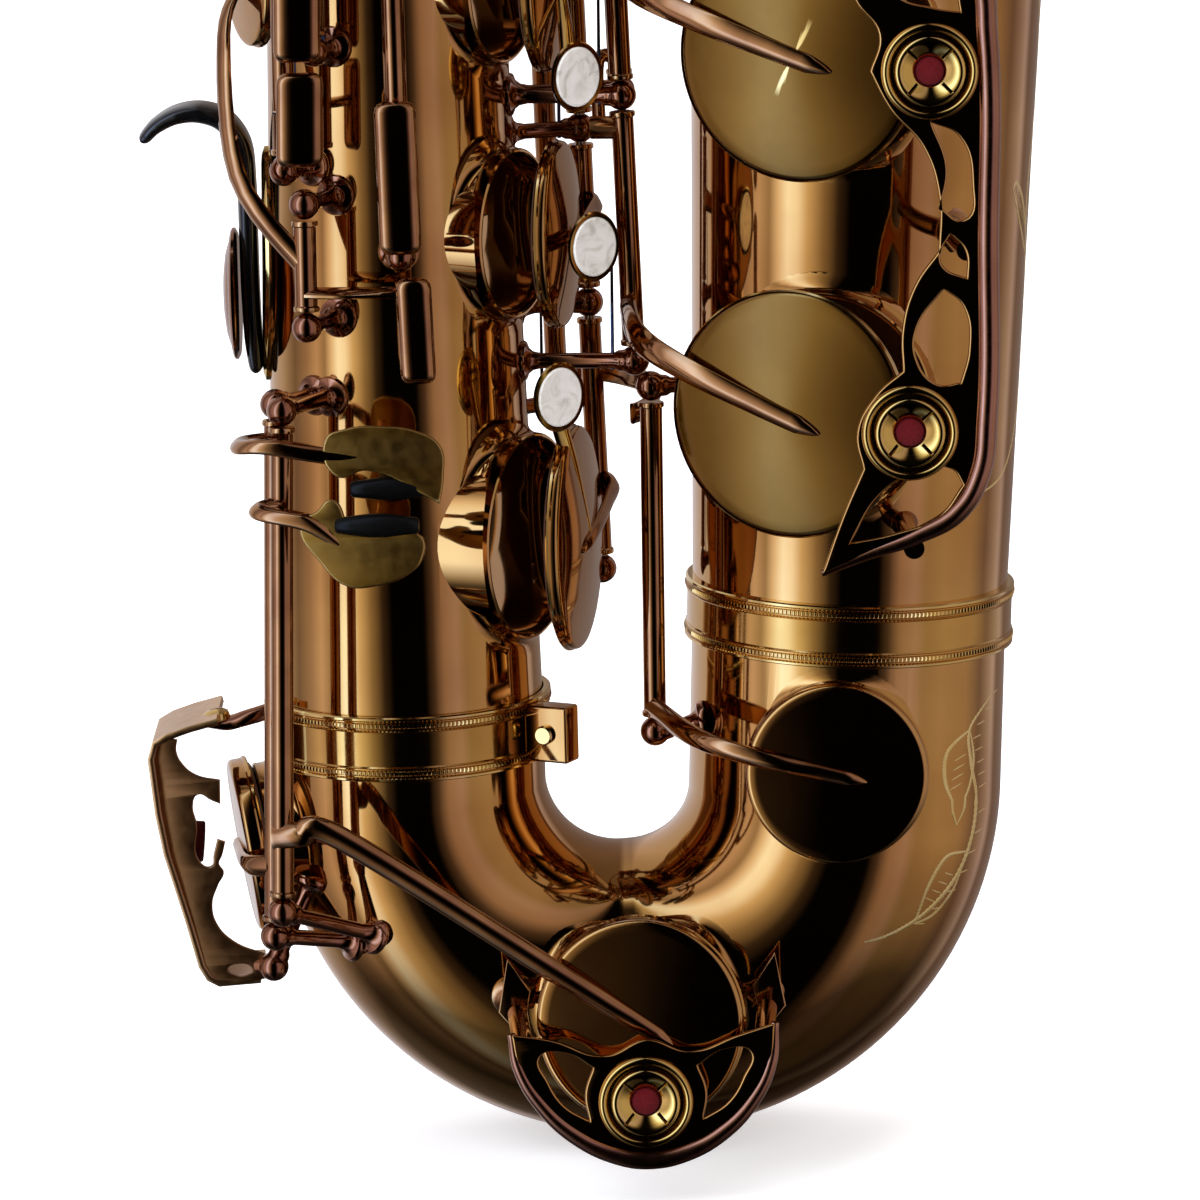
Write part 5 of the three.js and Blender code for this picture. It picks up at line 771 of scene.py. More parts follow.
def moulded(name, stations, side, steps=8, sides=32):
    """A smooth arm of soft oval section with domed ends: stations are (centre, width along side, thickness)."""
    places = []
    for i, t, spot, way in routed([Vector(s[0]) for s in stations], steps):
        wide, thick = (stations[i][k] + (stations[i + 1][k] - stations[i][k]) * t for k in (1, 2))
        places.append((spot, way, wide, thick))
    for end, sign in ((0, -1), (-1, 1)):
        spot, way, wide, thick = places[end]
        dome = []
        for a in [math.radians(degrees) for degrees in (25, 50, 72, 86)]:
            reach = sign * thick / 2 * math.sin(a)
            dome.append((spot + way * reach, way, wide - thick * (1 - math.cos(a)), thick * math.cos(a)))
        places = dome[::-1] + places if sign < 0 else places + dome
    rings = []
    for spot, way, wide, thick in places:
        lift = Vector(side).cross(way).normalized()
        rings.append([spot + Vector(side) * (math.copysign(abs(math.cos(a)) ** 0.7, math.cos(a)) * wide / 2)
                      + lift * (math.copysign(abs(math.sin(a)) ** 0.7, math.sin(a)) * thick / 2)
                      for a in [2 * math.pi * j / sides for j in range(sides)]])
    return skinned(name, rings)


def saddle_plate(name, azimuth, height, width, tall, thickness, centre_lift=0.0):
    """An oval plate bent to the body tube and soldered to it, with rounded edges."""
    rings = []
    for share, lift in [(1.0, 0.0), (1.0, 0.55), (0.94, 0.92), (0.86, 1.0), (0.5, 1.0 + centre_lift),
                        (0.02, 1.0 + centre_lift)]:
        ring = []
        for a in [2 * math.pi * j / 48 for j in range(48)]:
            at = height + tall / 2 * share * math.sin(a)
            swing = math.degrees(width / 2 * share * math.cos(a) / body_radius(at))
            ring.append(body_point(azimuth + swing, at, lift * thickness - 0.05))
        rings.append(ring)
    return skinned(name, rings)


def glossy(name, tint, roughness, coat=0.0, grain=0.0, grain_mm=1.0, shine=0.5):
    """A plain moulded or natural surface, with an optional fine grain."""
    material, tree, spot = blank_material(name)
    cloud = add_node(tree, "ShaderNodeTexNoise", inputs={"Vector": spot, "Scale": 1000 / grain_mm, "Detail": 5.0})
    shade = add_node(tree, "ShaderNodeMapRange", inputs={0: cloud.outputs[0], 1: 0.3, 2: 0.7, 3: 0.82, 4: 1.08})
    tinted = add_node(tree, "ShaderNodeMix", {"data_type": "RGBA", "blend_type": "MULTIPLY"},
                      {0: 1.0, 6: colour(tint), 7: shade.outputs[0]})
    bump = add_node(tree, "ShaderNodeBump", inputs={"Strength": grain, "Distance": 0.0003, "Height": cloud.outputs[0]})
    return finished(material, {
        "Base Color": tinted.outputs[2], "Roughness": roughness, "Normal": bump.outputs[0],
        "Specular IOR Level": shine, "Coat Weight": coat, "Coat Roughness": 0.04})


# The hook's and rest's black plastic, as it leaves the mould.
black_plastic = glossy("moulded black plastic", "#0b0b0c", 0.16, 0.2, 0.03, 3.0)
hook_back = towards(180)
hook_plate = coated(saddle_plate("plate", 180, 200, 16, 52, 1.6), gold_lacquer)
fitted("thumb_hook_plate", [hook_plate])
hook_face = body_radius(200) + 1.8


def hook_at(height, reach):
    return Vector((0, 0, height)) + hook_back * (hook_face + reach)


hook_stations = [(hook_at(177.6, 1.8), 9, 3.2), (hook_at(184, 2.2), 10.6, 4.0), (hook_at(195, 2.45), 11, 4.2),
                 (hook_at(207, 2.45), 11, 4.2), (hook_at(218.5, 2.5), 11.4, 4.3), (hook_at(226.6, 3.4), 12.4, 4.7),
                 (hook_at(231.8, 6.9), 13.4, 4.8), (hook_at(233.8, 12), 14, 4.5), (hook_at(233.4, 17.2), 13.4, 4.0),
                 (hook_at(231.2, 21.6), 11.4, 3.4), (hook_at(228.7, 24.2), 8.6, 2.8)]
thumb_hook = coated(moulded("hook", hook_stations, (0, 1, 0), 10, 40), black_plastic)
fitted("thumb_hook", [thumb_hook], 60)
screw_seat = Vector((0, 0, 193.5)) + hook_back * (hook_face + 5.0)
screw_profile = [(0, 0), (13.6, 0), (14.5, 0.5), (14.5, 1.1), (13.9, 1.5), (12.6, 1.75), (11.8, 1.75), (11.2, 2.1),
                 (9, 2.75), (5, 3.25), (0, 3.4)]
hook_screw = coated(turned("screw", screw_profile, screw_seat, hook_back, 72), post_lacquer)
fitted("thumb_hook_screw", [hook_screw])


# Sling ring and thumb rest, behind the left hand's keys: a brass ring on an oval plate, and a plastic button.

SLING_RADIUS, SLING_WIRE = 8, 1.7
sling_wire = oval_section(SLING_RADIUS - SLING_WIRE, 0, SLING_WIRE, SLING_WIRE)
sling = coated(turned("ring", sling_wire, EYE, UP, 64), gold_lacquer)
sling_plate = coated(saddle_plate("plate", 180, 404, 12, 26, 1.4), gold_lacquer)
fitted("sling_ring", [sling_plate, sling])
rest = coated(saddle_plate("rest", 172, 521, 17, 24, 4, 0.08), black_plastic)
fitted("thumb_rest", [rest], 50)


# Pad cups. Each is a spun dish with a rolled lip, and the leather pad is shellacked into it. Key arms are cast,
# filed to a ridge, and end on the cup in a point.

CUP_GAP = 0.4
# The pads' leather, tanned dark; then the lacquers of the polished cups, of the two biggest cups, which are brushed
# satin, of the keys' arms and tubes, which is redder, and of the satin touches.
leather = glossy("tan kid leather", "#4a2f20", 0.5, 0.0, 0.25, 1.2)
cup_lacquer = lacquered("bronze lacquered cups", "#a9763c", "#c08c4a", "#f0cc7e", 0.06, 18.0, 0.9)
satin_lacquer = lacquered("satin brushed bronze cups", "#66440f", "#785216", "#f0cc7e", 0.15, 40.0, 0.9)
key_lacquer = lacquered("copper lacquered keys", "#946440", "#b07e50", "#e2b478", 0.1, 10.0, 0.7)
touch_lacquer = lacquered("satin bronze touches", "#a0762e", "#ac8136", "#f8dc90", 0.36, 40.0, 1.0)


def cup_reach(hole_name):
    return HOLES[hole_name]["bore"] / 2 + CHIMNEY_WALL + 1.7


def cup_top(hole_name):
    return CUP_GAP + (5.4 if HOLES[hole_name]["bore"] > 20 else 4.2)


def crown_of(hole_name, lift=0.0):
    return HOLES[hole_name]["rim"] + HOLES[hole_name]["normal"] * (cup_top(hole_name) + lift)


def cup(hole_name, material=None, dome=0.6, crown=0.25):
    """A pad cup and its pad, laid out shut: dome is how far its back bulges, crown how far past its arm's seat."""
    reach, crown = cup_reach(hole_name), cup_top(hole_name) + crown
    lip, edge = reach + 0.35, crown - dome
    profile = [(reach - 1.0, 2.2), (reach - 0.8, 1.35), (lip - 0.3, 1.2), (lip, 1.5), (lip, 2.0), (reach, 2.35),
               (reach, edge - 1.0), (reach - 0.12, edge - 0.55), (reach - 0.5, edge - 0.2), (reach - 1.1, edge)]
    profile += [((reach - 1.1) * share, crown - dome * share ** 1.6) for share in
                (0.92, 0.84, 0.74, 0.62, 0.5, 0.38, 0.26, 0.14, 0.0)]
    back = coated(turned("cup", profile, HOLES[hole_name]["rim"], HOLES[hole_name]["normal"], 96),
                  material or cup_lacquer)
    soft = [(0, 2.2), (0, CUP_GAP + 0.1), (reach - 3.2, CUP_GAP), (reach - 1.9, CUP_GAP), (reach - 1.2, CUP_GAP + 0.45),
            (reach - 0.85, 1.5), (reach - 0.85, 2.2)]
    pad = coated(turned("pad", soft, HOLES[hole_name]["rim"], HOLES[hole_name]["normal"], 48), leather)
    return [back, pad]


def arm(points, face, widths, thick=2.2, steps=6):
    """A key's arm, tab or foot, in the lacquer of its tube."""
    return coated(strap("arm", points, face, widths, thick, steps), key_lacquer)


def cup_arm(hinge, height, hole_name, width=5.0, dome=0.6):
    """The arm from a hinge over a cup's rim to a point past its crown."""
    normal = HOLES[hole_name]["normal"]
    start, crown = on_hinge(hinge, height), crown_of(hole_name, 0.05)
    flat = start - crown
    level = flat.dot(normal)
    flat -= normal * level
    reach = flat.length
    out = flat.normalized()
    radius = cup_reach(hole_name)
    shoulder = crown + out * (radius + (reach - radius) * 0.5) + normal * (level * 0.25 + 0.5 - dome * 0.3)
    points = [start + normal * 0.4, shoulder, crown + out * radius * 0.9 + normal * (0.4 - dome * 0.6),
              crown + out * radius * 0.3, crown - out * radius * 0.14, crown - out * radius * 0.34]
    return arm(points, normal, [*[width * share for share in (1, 0.92, 0.8, 0.68, 0.6)], 0.4],
               [2.4, 2.3, 2.0, 1.8, 1.6, 0.4])


def hinge_tube(hinge, low, high):
    """A key's hinge tube between two posts, with a turned collar at either end."""
    clear = BALL_RADIUS + 0.2
    start, end = on_hinge(hinge, low + clear), on_hinge(hinge, high - clear)
    length = (end - start).length
    profile = [(0, 0), (2.7, 0), (2.85, 0.2), (2.85, 1.0), (2.45, 1.3), (2.45, length - 1.3), (2.85, length - 1.0),
               (2.85, length - 0.2), (2.7, length), (0, length)]
    return coated(turned("tube", profile, start, end - start, 28), key_lacquer)


def key(node, parts, hinge=None, hole_name=None, open_angle=0):
    """Joins a key's parts, stands it open by its rest angle and fits it."""
    piece = joined(node + "_smooth", parts)
    if open_angle:
        opened(piece, hinge, hole_name, open_angle)
    fitted(node, [piece])


# Lower stack. The right hand's D, E and F cups turn on one rod and carry the F sharp shut; each has a pearl of
# mother of pearl pressed into a gold holder, which stands on the cup's edge.

# Mother of pearl: pale, clouded and silky under a clear gloss.
pearl_white, pearl_tree, pearl_spot = blank_material("polished mother of pearl")
pearl_cloud = add_node(pearl_tree, "ShaderNodeTexNoise",
                       inputs={"Vector": pearl_spot, "Scale": 190.0, "Detail": 3.0, "Distortion": 1.6})
pearl_tint = add_node(pearl_tree, "ShaderNodeValToRGB", inputs={0: pearl_cloud.outputs[0]})
set_ramp(pearl_tint.color_ramp, [(0.3, colour("#c9c3b8")), (0.5, colour("#e9e4da")), (0.7, colour("#f4f0ea"))])
finished(pearl_white, {
    "Base Color": pearl_tint.outputs[0], "Roughness": 0.22, "Coat Weight": 0.4, "Sheen Weight": 0.1,
    "Subsurface Weight": 0.08, "Subsurface Radius": (0.002, 0.002, 0.002)})
PEARL_RADIUS = 6.4


def pearl_holder(foot, normal, radius=PEARL_RADIUS):
    outer = radius + 1.2
    profile = [(0, 0), (outer * 0.62, 0), (outer * 0.7, 0.25), (outer - 0.25, 2.0), (outer, 2.45), (outer - 0.3, 2.75),
               (radius + 0.15, 2.75), (radius + 0.15, 1.2), (0, 1.2)]
    return coated(turned("holder", profile, foot, normal, 48), gold_lacquer)


def pearl(foot, normal, radius=PEARL_RADIUS):
    profile = [(0, 1.3), (radius - 0.1, 1.3), (radius, 1.5), (radius, 2.75), (radius - 0.35, 3.05),
               (radius * 0.75, 3.0), (radius * 0.45, 2.85), (0, 2.78)]
    return coated(turned("pearl", profile, foot, normal, 48), pearl_white)


PEARL_BEARING = -46
stack = HINGES["stack"]
for letter, low, high, arm_at, open_angle, pearl_at in [
    ("d", 127, 187.5, 147, 13, (24.5, -26, 173.5)), ("e", 187.5, 226.5, 210, 13, (33.2, -25.5, 205.7)),
    ("f", 226.5, 286, 262, 13, (30.4, -26, 242.6)), ("f_sharp", 286, 328, 308, 12, None),
]:
    parts = [*cup(letter, dome=2.3, crown=0.5), hinge_tube(stack, low, high),
             cup_arm(stack, arm_at, letter, 5.6, 1.6)]
    if pearl_at:
        face_way = towards(PEARL_BEARING - open_angle)
        crown = crown_of(letter, -0.6)
        foot = Vector(pearl_at)
        foot += face_way * max(0.6 - (foot - crown).dot(face_way), 0)
        parts.append(pearl_holder(foot, face_way))
        parts.append(coated(strap("stem", [crown + face_way * 0.3, crown.lerp(foot, 0.5) + face_way * 0.2,
                                           foot - face_way * 0.6], face_way, [2.2, 4.2, 4.6], [1.2, 1.8, 1.8]),
                            gold_lacquer))
        disc = pearl(foot, face_way)
        opened(disc, stack, letter, open_angle)
        fitted(letter + "_pearl", [disc])
    key(letter + "_key", parts, stack, letter, open_angle)

# The rods' ground steel, with a dull bloom in places.
steel, steel_tree, steel_spot = blank_material("ground steel rod")
steel_haze = add_node(steel_tree, "ShaderNodeTexNoise", inputs={"Vector": steel_spot, "Scale": 900.0})
steel_dull = add_node(steel_tree, "ShaderNodeMapRange", inputs={0: steel_haze.outputs[0], 3: 0.12, 4: 0.3})
finished(steel, {"Base Color": colour("#b9b9ba"), "Metallic": 1.0, "Roughness": steel_dull.outputs[0]})


def pivot_rod(hinge):
    """The rod that a stack turns on, screwed a little past its end posts."""
    low, high = hinge["low"] - hinge["axis"] * 3.0, hinge["high"] + hinge["axis"] * 3.0
    return coated(bar("rod", low, high, 1.3, edge=0.3), steel)


fitted("lower_stack_rod", [pivot_rod(stack)])


# Upper stack. The left hand's G, A and B cups with the small C and bis pads, on their own rod.

upper = HINGES["upper_stack"]
for letter, low, high, arm_at, pearl_size in [
    ("g", 336, 379, 358, PEARL_RADIUS), ("a", 379, 416, 398, PEARL_RADIUS),
    ("bis", 416, 444, 426, PEARL_RADIUS * 0.6), ("b", 444, 477, 461, PEARL_RADIUS), ("c", 477, 508, 492, None),
]:
    parts = [*cup(letter), hinge_tube(upper, low, high), cup_arm(upper, arm_at, letter)]
    if pearl_size:
        foot = crown_of(letter, 1.1)
        parts += [pearl_holder(foot, HOLES[letter]["normal"], pearl_size),
                  pearl(foot, HOLES[letter]["normal"], pearl_size)]
    key(letter + "_key", parts, upper, letter, 13)
fitted("upper_stack_rod", [pivot_rod(upper)])


# Left little finger's table: oval touches on the long keys of the bell and on the G sharp.

def solid_of(curve):
    """The mesh of a curve."""
    made = bpy.data.objects.new(curve.name, curve)
    bpy.context.collection.objects.link(made)
    pick(made)
    bpy.ops.object.convert(target="MESH")
    return bpy.context.object


def plate(name, outlines, thickness, placing, bevel, resolution):
    """A flat plate. The first outline is its edge and the rest are windows; a third value marks a corner."""
    curve = bpy.data.curves.new(name, "CURVE")
    curve.dimensions = "2D"
    curve.fill_mode = "BOTH"
    curve.extrude = thickness / 2 - bevel
    curve.bevel_depth = bevel
    curve.bevel_resolution = 2
    curve.offset = -bevel
    curve.resolution_u = resolution
    for number, outline in enumerate(outlines):
        area = sum(a[0] * b[1] - b[0] * a[1] for a, b in zip(outline, [*outline[1:], outline[0]]))
        if (area > 0) == (number > 0):
            outline = outline[::-1]
        spline = curve.splines.new("BEZIER")
        spline.use_cyclic_u = True
        spline.bezier_points.add(len(outline) - 1)
        for knot, place in zip(spline.bezier_points, outline):
            knot.co = (place[0], place[1], 0)
            knot.handle_left_type = knot.handle_right_type = "VECTOR" if len(place) > 2 else "AUTO"
    made = edited(solid_of(curve), WELD)
    made.data.transform(placing @ Matrix.Translation((0, 0, thickness / 2)))
    return made


def oval(half_length, half_width, count=8):
    return [(half_length * math.cos(2 * math.pi * i / count), half_width * math.sin(2 * math.pi * i / count))
            for i in range(count)]


TOUCH_THICKNESS = 1.8


def oval_touch(centre, normal, long_way, half_length, half_width):
    return coated(plate("touch", [oval(half_length, half_width)], TOUCH_THICKNESS, stand(centre, normal, long_way),
                        0.6, 8), key_lacquer)


def body_strap(start, stations):
    """An arm that keeps its distance from the body tube, through (azimuth, height, reach) stations."""
    points = [start] + [body_point(*station) for station in stations]
    return arm(points, [Vector((p.x, p.y, 0)) for p in points], 5.0)


TABLE_REACH = 21.0
ARM_SEAT = TABLE_REACH - 2.2 + 0.6


def table_touch(azimuth, height, half_length, half_width):
    return oval_touch(body_point(azimuth, height, TABLE_REACH), towards(azimuth), UP, half_length, half_width)


g_sharp = HINGES["g_sharp"]
key("g_sharp_key", [
    *cup("g_sharp"), hinge_tube(g_sharp, 322, 392), cup_arm(g_sharp, 352, "g_sharp"),
    body_strap(on_hinge(g_sharp, 384), [(108, 392, ARM_SEAT - 4), (118, 398, ARM_SEAT)]),
    table_touch(118, 398, 11, 6.5)])


# Low B flat, low B and its lever. Both cups lie on the bell and are reached by rods that run between the tubes.

low_b = HINGES["low_b"]
tab = on_hinge(low_b, 229)
low_b_parts = [
    *cup("low_b", satin_lacquer, 3.4), hinge_tube(low_b, 177.5, 236),
    cup_arm(low_b, 190, "low_b", 6.4, 2.4),
    arm([tab + Vector((out, 0, 0)) for out in (0, -3.5, -7)], (0, -1, 0), 5)]
key("low_b_key", low_b_parts, low_b, "low_b", 10)
key("low_b_flat_key", [
    *cup("low_b_flat", satin_lacquer, 3.4), hinge_tube(low_b, 236, 414),
    cup_arm(low_b, 266, "low_b_flat", 6.4, 2.4),
    body_strap(on_hinge(low_b, 408), [(-2, 407, 28.5), (8, 406, 27.5), (27, 405, ARM_SEAT)]),
    table_touch(27, 405, 14, 6.5)], low_b, "low_b_flat", 8.5)
lever = HINGES["low_b_lever"]
lever_start = on_hinge(lever, 243)
lever_foot = lever_start + Vector((-4.5, -3.7, 0))
lever_low = Vector((lever_foot.x, lever_foot.y, 229))
key("low_b_lever", [
    hinge_tube(lever, 236, 414),
    arm([lever_start, lever_foot, lever_low, lever_low + Vector((0, -4.2, 0))],
        [(0, -1, 0), (0, -1, 0), (0, -1, -1), (0, 0, 1)], 3, 2.0),
    body_strap(on_hinge(lever, 380), [(20, 381, ARM_SEAT + 2.4), (36, 384, ARM_SEAT + 0.5), (49, 393, ARM_SEAT)]),
    table_touch(49, 393, 8.5, 7)])


# Low C sharp. A shut key across the lower rings, held open by a lever from the table.

low_cs = HINGES["low_c_sharp"]
cs_tab = on_hinge(low_cs, 165)
key("low_c_sharp_key", [
    *cup("low_c_sharp"), hinge_tube(low_cs, low_cs["low"].z, low_cs["high"].z), cup_arm(low_cs, 101, "low_c_sharp"),
    arm([cs_tab + Vector((0, back, 0)) for back in (0, 6, 12)], (1, 0, 0), [5, 4, 3.4])])
cs_lever = HINGES["c_sharp_lever"]
key("low_c_sharp_lever", [
    hinge_tube(cs_lever, 162, 380),
    body_strap(on_hinge(cs_lever, 170), [(30, 169, 27), (14, 168, 29), (1, 166, 26), (-3, 165, 22.6)]),
    body_strap(on_hinge(cs_lever, 374), [(64, 380, ARM_SEAT), (66, 411, ARM_SEAT)]),
    table_touch(62, 411, 9, 7)])


# Right little finger: the E flat and low C keys, whose bean shaped touches meet at two black rollers.

PINKY_WAY = Vector((0, -1, 0.12)).normalized()
LOW_C_OPEN = 6.6
low_c, low_eb = HINGES["low_c"], HINGES["low_e_flat"]
eb_outline = [(-12.9, 4.5), (-8.6, 6.6), (-0.6, 7.0), (6.6, 5.8), (11.6, 2.6), (12.2, -4.1), (11.2, -9.9, 0),
              (8.6, -8.4), (-4.2, -2.4), (-10.7, -3.5)]
c_outline = [(-13.6, 7.1), (-10.2, 9.4), (-6.9, 11.9), (-2.2, 5.1), (4, 4.3), (12.5, 3.9), (12.6, -0.6), (10.3, -3.6),
             (2.3, -6.7), (-4, -6.6), (-9, -2.2)]


def pinky_touch(centre, outline):
    return coated(plate("touch", [outline], TOUCH_THICKNESS, stand(centre, PINKY_WAY, (1, 0, 0)), 0.5, 8),
                  touch_lacquer)


# The rollers' black, which mirrors less than the hook's.
roller_black = glossy("turned black rollers", "#080808", 0.3, shine=0.12)


def roller(x, z):
    """A roller that swells towards its middle, on its spindle along X."""
    half = 9.0
    profile = [(0, -half), (1.3, -half), (1.75, -half + 0.5), (2.15, -half * 0.6), (2.6, -half * 0.2),
               (2.6, half * 0.2), (2.15, half * 0.6), (1.75, half - 0.5), (1.3, half), (0, half)]
    return coated(turned("roller", profile, Vector((x, -50.4, z)), (1, 0, 0), 28), roller_black)


eb_start = on_hinge(low_eb, 166)
eb_left = low_c["low"].x - 2.5
eb_points = [eb_start, (eb_left - 2.5, eb_start.y - 4, eb_start.z), (eb_left - 2.2, -45.5, eb_start.z + 0.6),
             (eb_left + 3.5, -49.4, eb_start.z + 1.4), (-13.9, -50, 165.5), (-6, -49.6, 165)]
key("low_e_flat_key", [
    *cup("low_e_flat"), hinge_tube(low_eb, low_eb["low"].z, low_eb["high"].z), cup_arm(low_eb, 72, "low_e_flat"),
    arm(eb_points, [(0, 0, 1), (-0.3, 0, 1), (-0.6, -0.3, 1), (0, -0.8, 0.7), PINKY_WAY, PINKY_WAY],
        [4.6, 4.4, 4.2, 4.0, 3.6, 3.0], 2.0),
    pinky_touch(Vector((-1.5, -50, 164.6)), eb_outline)])
fitted("e_flat_roller", [roller(-0.3, 158.2)])

c_start = on_hinge(low_c, 153.5)
c_points = [c_start, (c_start.x - 4.2, c_start.y - 3.0, c_start.z - 0.6), (c_start.x - 2.2, -48.0, c_start.z - 1.2),
            (-17.5, -50.0, 151), (-11, -49.6, 146.5)]
c_root = on_hinge(low_c, 80.5)
c_bend = Vector((-14, -43.4, 80.5))
c_crown = crown_of("low_c", 0.1)
c_far = (c_crown - c_bend).normalized()
c_rim_reach = cup_reach("low_c")
c_arm = [c_root + Vector((-1.5, 0, 0.2)), c_root + Vector((4, -1.6, 0.6)), c_bend,
         *[c_crown + c_far * along for along in (-c_rim_reach, -4, 5, c_rim_reach * 0.42)]]
low_c_parts = [
    *cup("low_c"), hinge_tube(low_c, low_c["low"].z, low_c["high"].z),
    arm(c_arm, (0, -1, 0.25), [6.4, 5.4, 5.2, 5.0, 4.0, 3.4, 0.4], [2.6, 2.6, 2.6, 2.5, 1.9, 1.7, 0.4], 8),
    arm(c_points, [(0, 0, 1), (-0.3, -0.2, 1), (-0.5, -0.5, 1), (0, -0.9, 0.5), PINKY_WAY],
        [4.6, 4.4, 4.2, 4.0, 3.0], 2.0),
    pinky_touch(Vector((-5.5, -50, 144.2)), c_outline)]
key("low_c_key", low_c_parts, low_c, "low_c", LOW_C_OPEN)
c_roller = roller(-2.6, 150.6)
opened(c_roller, low_c, "low_c", LOW_C_OPEN)
fitted("low_c_roller", [c_roller])


# Right hand's side keys: long hinge tubes with bar touches low on the horn, which lift small cups high on it.

def bar_touch(low, high, width, depth):
    """A bar touch with a pillowed face."""
    low, high = Vector(low), Vector(high)
    inset = (high - low).normalized() * depth / 2
    back = Vector((0, -depth / 2, 0))
    return coated(moulded("touch", [(low + inset + back, width, depth), (high - inset + back, width, depth)], (1, 0, 0),
                          6, 48), key_lacquer)


for side_name, arm_at, touch_at, low_end, high_end, width in [
    ("side_b_flat", 440, 236, (-18.2, -39, 226.4), (-17.6, -39, 246.6), 10),
    ("side_c", 478, 261, (-18, -39, 248.8), (-17.4, -39, 271), 10),
    ("high_e", 594, 284, (-15.5, -40, 273.4), (-15, -40, 294), 9),
    ("high_f_sharp", 650, 224, (2.8, -41, 207.4), (2.4, -41, 240.2), 9),
]:
    side_hinge = HINGES[side_name]
    middle = Vector(low_end).lerp(Vector(high_end), 0.5) + Vector((0, -0.6, 0))
    root = on_hinge(side_hinge, touch_at)
    key(side_name + "_key", [
        *cup(side_name), hinge_tube(side_hinge, side_hinge["low"].z, side_hinge["high"].z),
        cup_arm(side_hinge, arm_at, side_name),
        arm([root, root.lerp(middle, 0.5), middle], UP, 5),
        bar_touch(low_end, high_end, width, 4.6)])

trill = HINGES["trill"]
trill_low, trill_high = Vector((5.8, -41, 179.4)), Vector((5.2, -41, 202.4))
trill_root = on_hinge(trill, 198)
trill_meet = trill_low.lerp(trill_high, (198 - trill_low.z) / (trill_high.z - trill_low.z)) + Vector((0, -0.6, 0))
trill_route = [on_hinge(trill, 205), body_point(-134, 224, 18.5), body_point(-150, 252, 13), crown_of("trill", -0.4)]
key("trill_f_sharp_key", [
    *cup("trill"), hinge_tube(trill, 191.5, 218),
    arm(trill_route, [Vector((p.x, p.y, 0)) for p in trill_route], [5, 5, 5, 3]),
    arm([trill_root, trill_root.lerp(trill_meet, 0.35), trill_meet], UP, [5, 8, 3.5]),
    bar_touch(trill_low, trill_high, 7.6, 4.6)])


# Palm keys, octave vent and octave lever, high on the left side.

for palm_name, low, high in [("palm_d", 508, 552), ("palm_e_flat", 560, 596), ("palm_f", 604, 642)]:
    palm, height = HINGES[palm_name], (low + high) / 2
    key(palm_name + "_key", [
        *cup(palm_name), hinge_tube(palm, low, high), cup_arm(palm, HOLES[palm_name]["root"].z, palm_name),
        body_strap(on_hinge(palm, height), [(113, height, 14), (128, height, 14.4)]),
        oval_touch(body_point(128, height, 16), towards(128), UP, 11, 6)])
octave = HINGES["octave"]
key("octave_vent_key", [*cup("octave"), hinge_tube(octave, 538, 568), cup_arm(octave, 552, "octave", 4)])
octave_lever = HINGES["octave_lever"]
key("octave_lever", [
    hinge_tube(octave_lever, 498, 530),
    body_strap(on_hinge(octave_lever, 514), [(144, 522, 8.4), (154, 532, 10.6), (168, 541, 10), (186, 541, 7.4)]),
    oval_touch(body_point(186, 541, 9), towards(186), UP, 5, 8)])


# Key guards. Pierced plates in front of the big cups, with turned bosses that hold the adjustable felt stops.

def facing(depth):
    """The upright plane that looks at the player's front, at a depth."""
    return Matrix(((1, 0, 0, 0), (0, 0, -1, depth), (0, 1, 0, 0), (0, 0, 0, 1)))


FRONT = Vector((0, -1, 0))
# Felt, dyed crimson and pressed hard.
felt = glossy("pressed crimson felt", "#5a0006", 0.95, 0.0, 0.8, 0.9)


def guard_boss(centre):
    """A boss with its threaded stop screwed in: an outer ring, a groove, and a slotted dish round the felt."""
    ring = [(3.2, 0), (10.25, 0), *oval_section(9.3, 1.9, 0.95, 1.15, 10, math.pi), (8.3, 0.9), (7.6, 0.9),
            (7.5, 2.6), (7.2, 3.1), (6.7, 3.3), (6.2, 3.2), (5.6, 2.9), (4.8, 2.35), (4.0, 1.75), (3.2, 1.1), (3.2, 0)]
    boss = turned("boss", ring, centre, FRONT, 72)
    slots = [rounded_box("slot", centre + FRONT * 3.0, (0.8, 3.2, 3.0), stand((0, 0, 0), FRONT, UP)
                         @ Matrix.Rotation(math.radians(45 + 90 * k), 4, "Z") @ Matrix.Translation((0, 5.0, 0)), 0.1)
             for k in range(4)]
    return coated(cut(boss, joined("slots", slots)), gold_lacquer)


def guard_felt(node, centre, end):
    """The felt stop in a guard's boss, which reaches back to a depth, with the nub that it is turned by."""
    back = abs(end - centre.y)
    profile = [(0, -back), (5.7, -back), (6, -back + 0.3), (6, -0.4), (5.7, -0.1), (3.0, -0.1), (3.0, 1.2), (2.6, 1.6),
               (0, 1.75)]
    made = coated(turned("felt", profile, centre, FRONT, 32), felt)
    fitted(node, [made], 50)


def leg(foot, head):
    """A guard's leg, with its round foot soldered to the tube."""
    base = 5.0
    length = (head - foot).length
    profile = [(0, 0), (base, 0), (base, 0.8), (base * 0.75, 1.4), (2.6, 3), (2.2, 5), (2.2, length), (0, length)]
    return coated(turned("leg", profile, foot, head - foot, 28), key_lacquer)


def boss_hole(boss):
    """The window in a guard's plate that its boss is screwed into."""
    return [(boss.x + across, boss.z + rise) for across, rise in oval(8.2, 8.2, 10)]


# The guards' rolled rims, coppery where the plate was dressed after bending.
rim_copper = lacquered("copper lacquered rolled rims", "#8a5a44", "#a3705a", "#d9a07a", 0.2, 14.0, 0.6)


